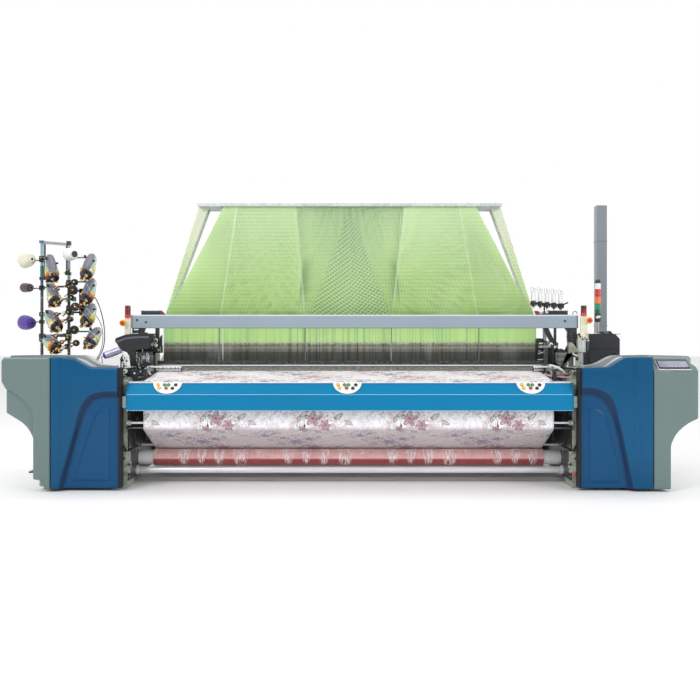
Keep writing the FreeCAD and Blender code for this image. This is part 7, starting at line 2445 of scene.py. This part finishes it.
for k, h, rib in mods:
    g.at(k)
    if rib:
        n = int(h / 6)
        prof = [(0, 0), (0, 27)]
        for i in range(n):
            prof += [(2 + i * (h - 4) / n, 27.2), (2 + (i + 0.55) * (h - 4) / n, 28)]
        prof += [(h - 1, 27), (h - 1, 0)]
        g.lathe((TX, TY, zz), (0, 0, 1), prof, 36)
    else:
        g.lathe((TX, TY, zz), (0, 0, 1), [(0, 0), (0, 20), (10, 28), (h, 28), (h, 0)], 36)
    zz += h
    g.at(1 if k != 5 else 5).lathe((TX, TY, zz - 1.0), (0, 0, 1), [(0, 0), (0, 27.4), (2, 27.4), (2, 0)], 36)
g.at(1).lathe((TX, TY, zz), (0, 0, 1), [(0, 0), (0, 28), (1737 - zz, 28), (1737 - zz + 8, 24), (1763.5 - zz, 22), (1764 - zz, 0)], 36)
g.at(6).prism([(TX - 26, 1408), (TX - 20, 1424), (TX + 2, 1430), (TX + 24, 1420), (TX + 10, 1406), (TX - 12, 1400)], "xz", TY - 30, TY - 20)
g.make("signal_tower", ["steel", "black", "lens_darkgreen", "lens_green", "lens_orange", "lens_red", "lens_white"], "frame", "lamp_parts")

# ---- control cabinet: body, front panel with an opening, hinges, plinth and cable entry
cad("control_cabinet", "cabinet", bevel=6, seg=3)
g = Geo(0)
g.box(2152, 2388, -101.5, -97, 304, 1116)
g.box(2146, 2394, -104, -99.5, 1120, 1126)
g.at(1).box(2160, 2212, -104.5, -101, 1000, 1080)
for k in range(8):
    g.at(1).box(2236, 2372, -103.5, -101, 900 + k * 14, 907 + k * 14)
g.at(2).lathe((2178, -101.5, 720), (0, -1, 0), [(0, 0), (0, 17), (6, 17), (8, 14), (8, 0)], 28)
g.box(2172, 2184, -122, -108, 690, 750)
for z in (380, 720, 1050):
    g.at(1).cyl((2394, -106, z - 34), (2394, -106, z + 34), 8, n=16)
for x in (2164, 2376):
    for z in (320, 1100):
        g.at(2).bolt((x, -101.5, z), (0, -1, 0), 5)
g.at(0).box(2104, 2436, -104, 454, 1251, 1256)
g.at(1).lathe((2380, 250, 1256), (0, 0, 1), [(0, 0), (0, 34), (22, 30), (24, 22), (24, 0)], 28)
g.at(1).prism([(2376, 1256), (2420, 1256), (2400, 1282), (2380, 1284)], "xz", 60, 130)
# side louvres
for k in range(14):
    g.at(0).prism([(2432, 620 + k * 24), (2439, 608 + k * 24), (2432, 606 + k * 24)], "xz", 20, 330)
g.box(2150, 2390, 447, 453, 140, 1180)
for x in (2170, 2370):
    for z in (180, 1140):
        g.at(2).bolt((x, 453, z), (0, 1, 0), 6)
g.make("cabinet_fittings", ["cabinet", "black", "steel_dark"], "frame", "cabinet_black", bevel=1.2)
cad("upright_post", "post", bevel=5, seg=3)
g = Geo(0)
for z in (420, 1340, 2180):
    g.box(2454, 2562, 696, 804, z, z + 8)
for x in (2415, 2601):
    for y in (657, 843):
        g.at(1).bolt((x, y, 14), (0, 0, 1), 11)
g.at(2).box(2468, 2548, 694.5, 700, 300, 520)
g.at(0).box(2461, 2555, 703, 797, 2538, 2540)
g.at(2).tube([(2508, 808, 14), (2508, 808, 2400)], 7, 8)
for z in range(200, 2400, 330):
    g.at(1).box(2496, 2520, 799, 817, z, z + 12)
g.make("post_fittings", ["post", "zinc", "black"], "frame", "post_grey", bevel=1)

# ---- machinery seen in the gap at the left
g = Geo(0)
g.at(3).box(-1884, -1879, -650, -150, 884, 952)                     # dark cover plate
g.at(3).box(-1876, -1756, -706, -700, 858, 948)
g.box(-1884, -1876, -655, -640, 880, 956)
for y in (-630, -400, -170):
    for z in (896, 940):
        g.at(1).bolt((-1879, y, z), (1, 0, 0), 5)
# chain of levers standing on the frame's front end
for i, (x, z, r, k) in enumerate(((-1866, 1078, 12, 1), (-1852, 1052, 16, 1), (-1838, 1028, 11, 2), (-1856, 1010, 15, 1), (-1836, 986, 14, 1),
                                  (-1862, 968, 12, 2), (-1848, 942, 17, 1), (-1870, 918, 13, 1), (-1856, 898, 15, 2))):
    g.at(k).cyl((x, -776 + (i % 3) * 8, z), (x, -748 + (i % 2) * 10, z), r, n=20, ch=2)
    g.at(0).cyl((x, -779 + (i % 3) * 8, z), (x, -776 + (i % 3) * 8, z), r * 0.42, n=12)
pp = [(-1866, 1078), (-1852, 1052), (-1838, 1028), (-1856, 1010), (-1836, 986), (-1862, 968), (-1848, 942), (-1870, 918), (-1856, 898), (-1852, 880)]
for a, b in zip(pp, pp[1:]):
    g.at(1).bar((a[0], -752, a[1]), (b[0], -752, b[1]), 12, 12)
g.at(2).box(-1880, -1802, -800, -720, 880, 894)
g.at(0).bar((-1880, -744, 1066), (-1842, -744, 884), 8, 18)
g.at(0).tube([(-1884, -770, 905), (-1878, -785, 960), (-1874, -790, 1010), (-1880, -780, 1050)], 6, 8)
g.at(1).bolt((-1786, -706, 924), (0, -1, 0), 7)
g.make("left_lever_chain", ["black", "white_paint", "alu", surf("panel_navy", (34, 44, 56), 0.4, var=0.06, vscale=6, bump=0.04)], "frame", "cast_frame", bevel=0.8)
g = Geo(0)
# drive boxes under the selector, on top of the frame
g.at(0).box(-1875, -1802, -330, -262, 880, 900)
g.box(-1868, -1808, -322, -270, 900, 918)
g.at(0).box(-1856, -1806, -196, -128, 880, 1052)
g.box(-1900, -1858, -190, -140, 966, 1090)
g.box(-1800, -1762, -330, -304, 872, 1010)
g.at(1)
for x, z0, z1, r in ((-1776, 990, 1086, 6), (-1762, 1000, 1078, 5), (-1818, 1000, 1062, 6), (-1842, 972, 1050, 5), (-1866, 1010, 1094, 4)):
    g.cyl((x, -312, z0), (x, -312, z1), r, n=14)
    g.at(2).lathe((x, -312, (z0 + z1) / 2), (0, 0, 1), [(-12, 0), (-12, r + 5), (12, r + 5), (12, 0)], 16)
    g.at(1)
g.at(2).box(-1810, -1788, -326, -306, 1030, 1062)
g.at(1).box(-1850, -1824, -322, -304, 984, 1008)
for k in range(5):
    g.at(1).bolt((-1868 + 26 * k, -322, 908), (0, -1, 0), 4.5)
g.at(3).tube([(-1880, -318, 1090), (-1872, -326, 1050), (-1846, -330, 1020), (-1830, -330, 990), (-1826, -326, 950)], 4, 8)
g.tube([(-1862, -322, 1100), (-1838, -334, 1064), (-1812, -334, 1024), (-1800, -334, 980)], 3, 8)
g.at(2).lathe((-1786, -332, 930), (0, -1, 0), [(0, 0), (0, 16), (6, 15), (8, 8), (8, 0)], 24)
g.make("left_machinery", ["black", "steel_v", "alu", "cable"], "frame", "selector_black", bevel=0.9)
g = Geo(0)
# clamps at the feet of the rail posts
g.at(0).box(-1764, -1690, -134, -66, 1084, 1150)
g.at(0).prism([(-1716, 1150), (-1690, 1150), (-1690, 1246), (-1704, 1226), (-1716, 1176)], "xz", -126, -86)
g.at(3).lathe((-1742, -134, 1196), (0, -1, 0), [(0, 0), (0, 22), (8, 22), (12, 15), (12, 0)], 22)
g.lathe((-1738, -134, 1152), (0, -1, 0), [(0, 0), (0, 18), (9, 18), (12, 12), (12, 0)], 20)
g.at(0).lathe((-1736, -146, 1190), (0, -1, 0), [(0, 0), (0, 10), (5, 10), (5, 0)], 18)
g.at(0).box(-1762, -1722, -140, -120, 1166, 1180)
g.at(1).lathe((-1716, -134, 1110), (0, -1, 0), [(0, 0), (0, 14), (12, 14), (14, 9), (14, 0)], 20)
g.at(2).bolt((-1744, -146, 1150), (0, -1, 0), 6)
g.at(0).box(-1800, -1706, -126, -74, 1084, 1120)
g.at(1).box(-1700, -1692, -136, -130, 1090, 1140)
g.make("left_post_foot", ["black", "alu", "zinc", "white"], "frame", "rail_paint", bevel=1.2)

# ---- machinery seen in the gap at the right
g = Geo(0)
g.at(0)
g.box(1704, 1766, -18, 66, 990, 1212)                               # selvedge unit beside the heddles
g.box(1700, 1742, -26, -16, 1180, 1216)
g.at(1).box(1722, 1758, -23, -17, 1162, 1176)
g.box(1716, 1736, -22, -17, 1096, 1104)
g.at(2)
for k in range(6):
    g.box(1706 + 10 * k, 1711 + 10 * k, -24, -18, 1010, 1080)
g.at(1).bar((1712, -26, 1076), (1768, -26, 1092), 8, 10)
g.bar((1706, -26, 1022), (1760, -26, 1024), 8, 9)
g.at(0).box(1796, 1876, -104, -72, 958, 1178)                       # dark panel over the frame's raised seat
g.box(1790, 1812, -122, -92, 968, 1148)
g.at(2).cyl((1782, -112, 1148), (1782, -112, 986), 7, n=14)
g.at(1).lathe((1806, -128, 1154), (0, -1, 0), [(0, 0), (0, 20), (8, 20), (10, 12), (10, 0)], 22)
g.lathe((1836, -128, 1136), (0, -1, 0), [(0, 0), (0, 12), (8, 12), (8, 0)], 18)
g.at(0).lathe((1806, -138, 1154), (0, -1, 0), [(0, 0), (0, 9), (5, 9), (5, 0)], 16)
g.at(0).box(1846, 1934, -168, -112, 1088, 1108)                     # zigzag top of the casting
g.prism([(1862, 1106), (1886, 1124), (1898, 1120), (1924, 1106)], "xz", -166, -114)
g.make("right_machinery_dark", ["black", "white", "steel_dark"], "frame", "selector_black", bevel=1)
M["mottled"] = surf("mottled_casting", (134, 146, 142), 0.5, var=0.55, vscale=26, bump=0.5, bscale=120, grime=0.8)
M["sage"] = surf("sage_casting", (146, 150, 134), 0.5, var=0.45, vscale=24, bump=0.5, bscale=140, grime=0.85)
g = Geo(0)
g.at(0)
g.box(1874, 1940, -166, -112, 964, 1090)
g.prism([(1874, 1090), (1836, 1090), (1836, 1000), (1874, 968)], "xz", -166, -112)
for x, z in ((1868, 1060), (1906, 1064), (1868, 1020), (1908, 1020), (1930, 985)):
    g.lathe((x, -166, z), (0, -1, 0), [(0, 0), (0, 17), (7, 16), (8, 9), (8, 0)], 22)
g.at(1)
g.prism([(1948, 1180), (1976, 1180), (2046, 1094), (2046, 1076), (1930, 1076), (1918, 1040), (1884, 966), (1900, 964), (1948, 1040)], "xz", -196, -150)
g.box(1990, 2050, -190, -140, 964, 1080)
g.at(2)
g.box(2050, 2078, -186, -140, 964, 1086)
g.lathe((2064, -188, 1000), (0, -1, 0), [(0, 0), (0, 9), (4, 9), (4, 0)], 16)
g.at(3).prism([(1972, 1090), (2018, 1066), (2026, 1050), (1984, 1070)], "xz", -204, -196)
g.at(4).prism([(1964, 1098), (1972, 1090), (1984, 1070), (2030, 1048), (2034, 1038), (1972, 1062)], "xz", -202, -195.5)
g.at(3).box(1990, 2006, -196, -190, 970, 1046)
g.at(4).lathe((2022, -190, 1030), (0, -1, 0), [(0, 0), (0, 14), (5, 13), (6, 0)], 18)
g.at(4).bar((1890, -200, 972), (1968, -200, 1042), 14, 14)
g.make("right_machinery_castings", ["mottled", "sage", "alu", "white", "black"], "frame", "cast_frame", bevel=1.8)
g = Geo(0)
g.at(0).box(1879, 1884, -650, -150, 884, 952)
g.at(1)
for y in (-630, -400, -170):
    for z in (896, 940):
        g.bolt((1879, y, z), (-1, 0, 0), 5)
g.at(2).box(1806, 1870, -800, -700, 880, 902)
g.box(1812, 1866, -560, -430, 880, 918)
g.at(1).cyl((1838, -812, 930), (1838, -700, 930), 20, n=24, ch=3)
g.at(2).box(1822, 1856, -790, -716, 900, 932)
g.at(0).box(1800, 1872, -676, -598, 880, 910)
g.make("right_frame_tops", ["black", "steel_v", "sage"], "frame", "cast_frame", bevel=1.4)

# ---- rapiers with their tapes and wheels
M["tape"] = surf("rapier_tape", (58, 62, 60), 0.42, var=0.12, vscale=14, bump=0.4, bscale=300, coat=0.2)
for s, body in ((-1, "giver_rapier"), (1, "taker_rapier")):
    g = Geo(0)
    P = [(s * x, z) for x, z in ((2020, 925), (1845, 925), (1800, 930), (1786, 936), (1800, 943), (1850, 947), (2020, 947))]
    g.prism(P, "xz", -244, -216)
    g.at(1)
    g.prism([(s * x, z) for x, z in ((1900, 946.5), (1862, 946.5), (1812, 941), (1812, 938), (1900, 938))], "xz", -246, -242)
    g.prism([(s * x, z) for x, z in ((1880, 947.6), (1838, 945.6), (1838, 941), (1880, 941))], "xz", -236, -224)
    for x in (2004, 1976, 1948, 1920):
        g.bolt((s * x, -230, 947), (0, 0, 1), 3.2, h=1.4, washer=False)
        g.bolt((s * x, -244, 936), (0, -1, 0), 3.6, h=1.8, washer=False)
    g.at(0).ring((s * 1792, -230, 937), (0, 1, 0), 5, 1.5, 14, 6)
    g.make(body + "_head", ["steel", "steel_dark"], body, "rapier_steel", bevel=0.9, replaces=[body])
    g = Geo(0)
    g.box(*sorted((s * 2185, s * 2012)), -242, -218, 936.6, 939.4)
    for k in range(14):
        x = s * (2180 - k * 11.5)
        g.at(1).box(x - 2.6, x + 2.6, -233, -227, 939.3, 939.6)
    g.make(body + "_tape", ["tape", "black"], body, "rapier_steel", bevel=0.3)
for s, body in ((-1, "rapier_wheel_left"), (1, "rapier_wheel_right")):
    g = Geo(0)
    tf = frame_y(s * 2190, -230, 645)
    outer = circle(0, 0, 284, 120)
    cut = []
    for k in range(5):
        a0 = math.radians(72 * k + 18)
        lp = []
        for i in range(13):
            a = a0 + math.radians(9 + 54 * i / 12)
            lp.append((264 * math.cos(a), 264 * math.sin(a)))
        for i in range(9):
            a = a0 + math.radians(57 - 42 * i / 8)
            lp.append((72 * math.cos(a), 72 * math.sin(a)))
        cut.append(lp[::-1])
    # spokes sit where the record puts them, one every 72 degrees
    rot = Matrix.Rotation(math.radians(0), 4, "Z")
    plate(g, [outer] + cut + [circle(0, 0, 18.05, 32, True)], tf @ rot, 12)
    g.lathe((s * 2190, -245, 645), (0, 1, 0), [(0, 268), (0, 288), (3, 290), (27, 290), (30, 288), (30, 268), (20, 264), (10, 264), (0, 268)], 120)
    g.at(1).lathe((s * 2190, -265, 645), (0, 1, 0), [(0, 18.05), (0, 30), (70, 30), (70, 18.05), (0, 18.05)], 40)
    g.lathe((s * 2190, -241, 645), (0, 1, 0), [(0, 30), (0, 62), (22, 62), (22, 30), (0, 30)], 48)
    for k in range(6):
        a = math.radians(60 * k)
        g.bolt((s * 2190 + 48 * math.cos(a), -241, 645 + 48 * math.sin(a)), (0, -1, 0), 6)
    g.at(1)
    for k in range(40):
        a = 2 * math.pi * k / 40
        g.box(*sorted((s * 2190 + 289.0 * math.cos(a) - 1.6, s * 2190 + 289.0 * math.cos(a) + 1.6)), -233, -227, 645 + 289.0 * math.sin(a) - 1.6, 645 + 289.0 * math.sin(a) + 1.6)
    g.make(body + "_spoked", ["alu", "steel_dark"], body, "wheel_alu", bevel=0.8, replaces=[body])

# ---- drive: motor with its fins, fan cover and belt guard, flywheel
g = Geo(0)
fy, fz = 150.0, 620.0
g.cyl((-2300, fy, fz), (-2012, fy, fz), 92, n=40)
for k in range(30):
    a = 2 * math.pi * k / 30 + 0.1
    c, s_ = math.cos(a), math.sin(a)
    g.prism([(fy + 90 * c - 1.6 * s_, fz + 90 * s_ + 1.6 * c), (fy + 104 * c - 1.2 * s_, fz + 104 * s_ + 1.2 * c),
             (fy + 104 * c + 1.2 * s_, fz + 104 * s_ - 1.2 * c), (fy + 90 * c + 1.6 * s_, fz + 90 * s_ - 1.6 * c)], "yz", -2290, -2036)
g.lathe((-2330, fy, fz), (1, 0, 0), [(0, 0), (0, 92), (8, 104), (46, 105), (46, 0)], 44)
g.lathe((-2012, fy, fz), (-1, 0, 0), [(-12, 25.4), (-12, 104), (-6, 111), (8, 111), (12, 104), (12, 25.4), (-12, 25.4)], 44)
g.box(-2240, -2120, fy - 58, fy + 58, 700, 768)
g.box(-2246, -2114, fy - 64, fy + 64, 764, 772)
g.box(-2300, -2030, fy - 92, fy + 92, 408, 530)
g.at(1).box(-2320, -1871, fy - 104, fy + 104, 380, 408)
g.at(1)
for x in (-2300, -1990, -1900):
    for y in (fy - 92, fy + 92):
        g.bolt((x, y, 408), (0, 0, 1), 9)
for k in range(4):
    for x in (-2236, -2124):
        g.bolt((x, fy - 54 + 36 * k, 772), (0, 0, 1), 4)
g.at(2)
for k in range(7):
    g.ring((-2330.3, fy, fz), (1, 0, 0), 18 + 11 * k, 1.4, 36, 6)
g.make("motor_finned", ["motor", "steel_dark", "black"], "frame", "motor_paint", bevel=1, replaces=["drive_motor"])
g = Geo(0)
prof = [(0, 26), (0, 45), (20, 45), (26, 60), (30, 60), (30, 172), (15, 176), (15, 198), (17, 200)]
for k in range(5):
    prof += [(20 + 10 * k, 200), (24 + 10 * k, 192), (28 + 10 * k, 200)]
prof += [(68, 200), (70, 198), (70, 176), (56, 172), (56, 60), (64, 60), (68, 45), (90, 45), (90, 26), (0, 26)]
g.lathe((-1975, fy, fz), (1, 0, 0), prof, 80)
g.at(1).cyl((-2050, fy, fz), (-1805, fy, fz), 24.98, n=36, ch=1.5)
for k in range(6):
    a = math.radians(60 * k)
    g.bolt((-1975, fy + 36 * math.cos(a), fz + 36 * math.sin(a)), (-1, 0, 0), 5)
g.make("flywheel_grooved", ["steel_dark", "steel"], "flywheel", "flywheel_iron", bevel=0.8, replaces=["flywheel"])

# ---- gear case and cross shaft low between the frames, pipes and cable trays at the back
g = Geo(0)
for s in (-1, 1):
    g.box(*sorted((s * 1799, s * 1740)), 60, 150, 120, 236)
    g.at(1)
    for y in (75, 135):
        g.bolt((s * 1740, y, 180), (-s, 0, 0), 7)
    g.at(0)
g.cyl((-1740, 105, 150), (1740, 105, 150), 18, n=20)
g.at(2).box(-1700, 1700, 386, 420, 850, 862)
g.box(-1700, 1700, 386, 389, 850, 892)
g.box(-1700, 1700, 417, 420, 850, 892)
for k in range(3):
    g.at(3).tube([(-1690, 393 + 9 * k, 868), (1690, 393 + 9 * k, 868)], 4, 8)
g.make("cross_shaft", ["steel_dark", "zinc", "rail", "cable"], "frame", "cast_frame", bevel=1)
# ------------------------------------------------------------------ floor and light
def studio():
    g = bpy.data.meshes.new("floor")
    n = 64
    R = 60.0
    v = [(0, 0, 0)] + [(R * math.cos(2 * math.pi * i / n), R * math.sin(2 * math.pi * i / n), 0) for i in range(n)]
    g.from_pydata(v, [], [(0, i + 1, (i + 1) % n + 1) for i in range(n)])
    m = Mat("studio_floor")
    nz = m.noise(0.4, 3.0)
    m.color(m.mix(nz, (0.86, 0.86, 0.86), (0.88, 0.88, 0.88)))
    m.set(rough=0.75, spec=0.2)
    g.materials.append(m.m)
    ob = bpy.data.objects.new("studio_floor", g)
    bpy.context.scene.collection.objects.link(ob)
    ob.location = (0, 0, -0.0005)

    w = bpy.data.worlds.new("studio")
    bpy.context.scene.world = w
    w.use_nodes = True
    w.node_tree.nodes["Background"].inputs["Color"].default_value = (1.0, 1.0, 1.0, 1.0)
    nt = w.node_tree
    tc = nt.nodes.new("ShaderNodeTexCoord")
    sep = nt.nodes.new("ShaderNodeSeparateXYZ")
    mr = nt.nodes.new("ShaderNodeMapRange")
    mr.interpolation_type = "SMOOTHSTEP"
    for key, val in (("From Min", -0.95), ("From Max", -0.25), ("To Min", 0.55), ("To Max", 1.0)):
        mr.inputs[key].default_value = val
    nt.links.new(tc.outputs["Generated"], sep.inputs[0])
    nt.links.new(sep.outputs["Y"], mr.inputs["Value"])
    nt.links.new(mr.outputs["Result"], nt.nodes["Background"].inputs["Strength"])

    def area(name, loc, target, size, power, color=(1, 1, 1)):
        d = bpy.data.lights.new(name, "AREA")
        d.shape = "RECTANGLE"
        d.size, d.size_y = size
        d.energy = power
        d.color = color
        o = bpy.data.objects.new(name, d)
        o.location = loc
        o.rotation_euler = (Vector(target) - Vector(loc)).to_track_quat("-Z", "Y").to_euler()
        bpy.context.scene.collection.objects.link(o)

    area("key", (-5.0, -7.0, 6.5), (0, 0, 0.9), (4.0, 3.0), 360)
    area("fill", (6.5, -6.0, 3.5), (0.5, 0, 0.8), (3.5, 3.0), 150)
    area("top", (0.0, 1.0, 7.5), (0, 0, 0.8), (6.0, 3.0), 90)
    area("rim", (2.0, 7.0, 5.0), (0, 0, 1.2), (5.0, 2.5), 60)


studio()
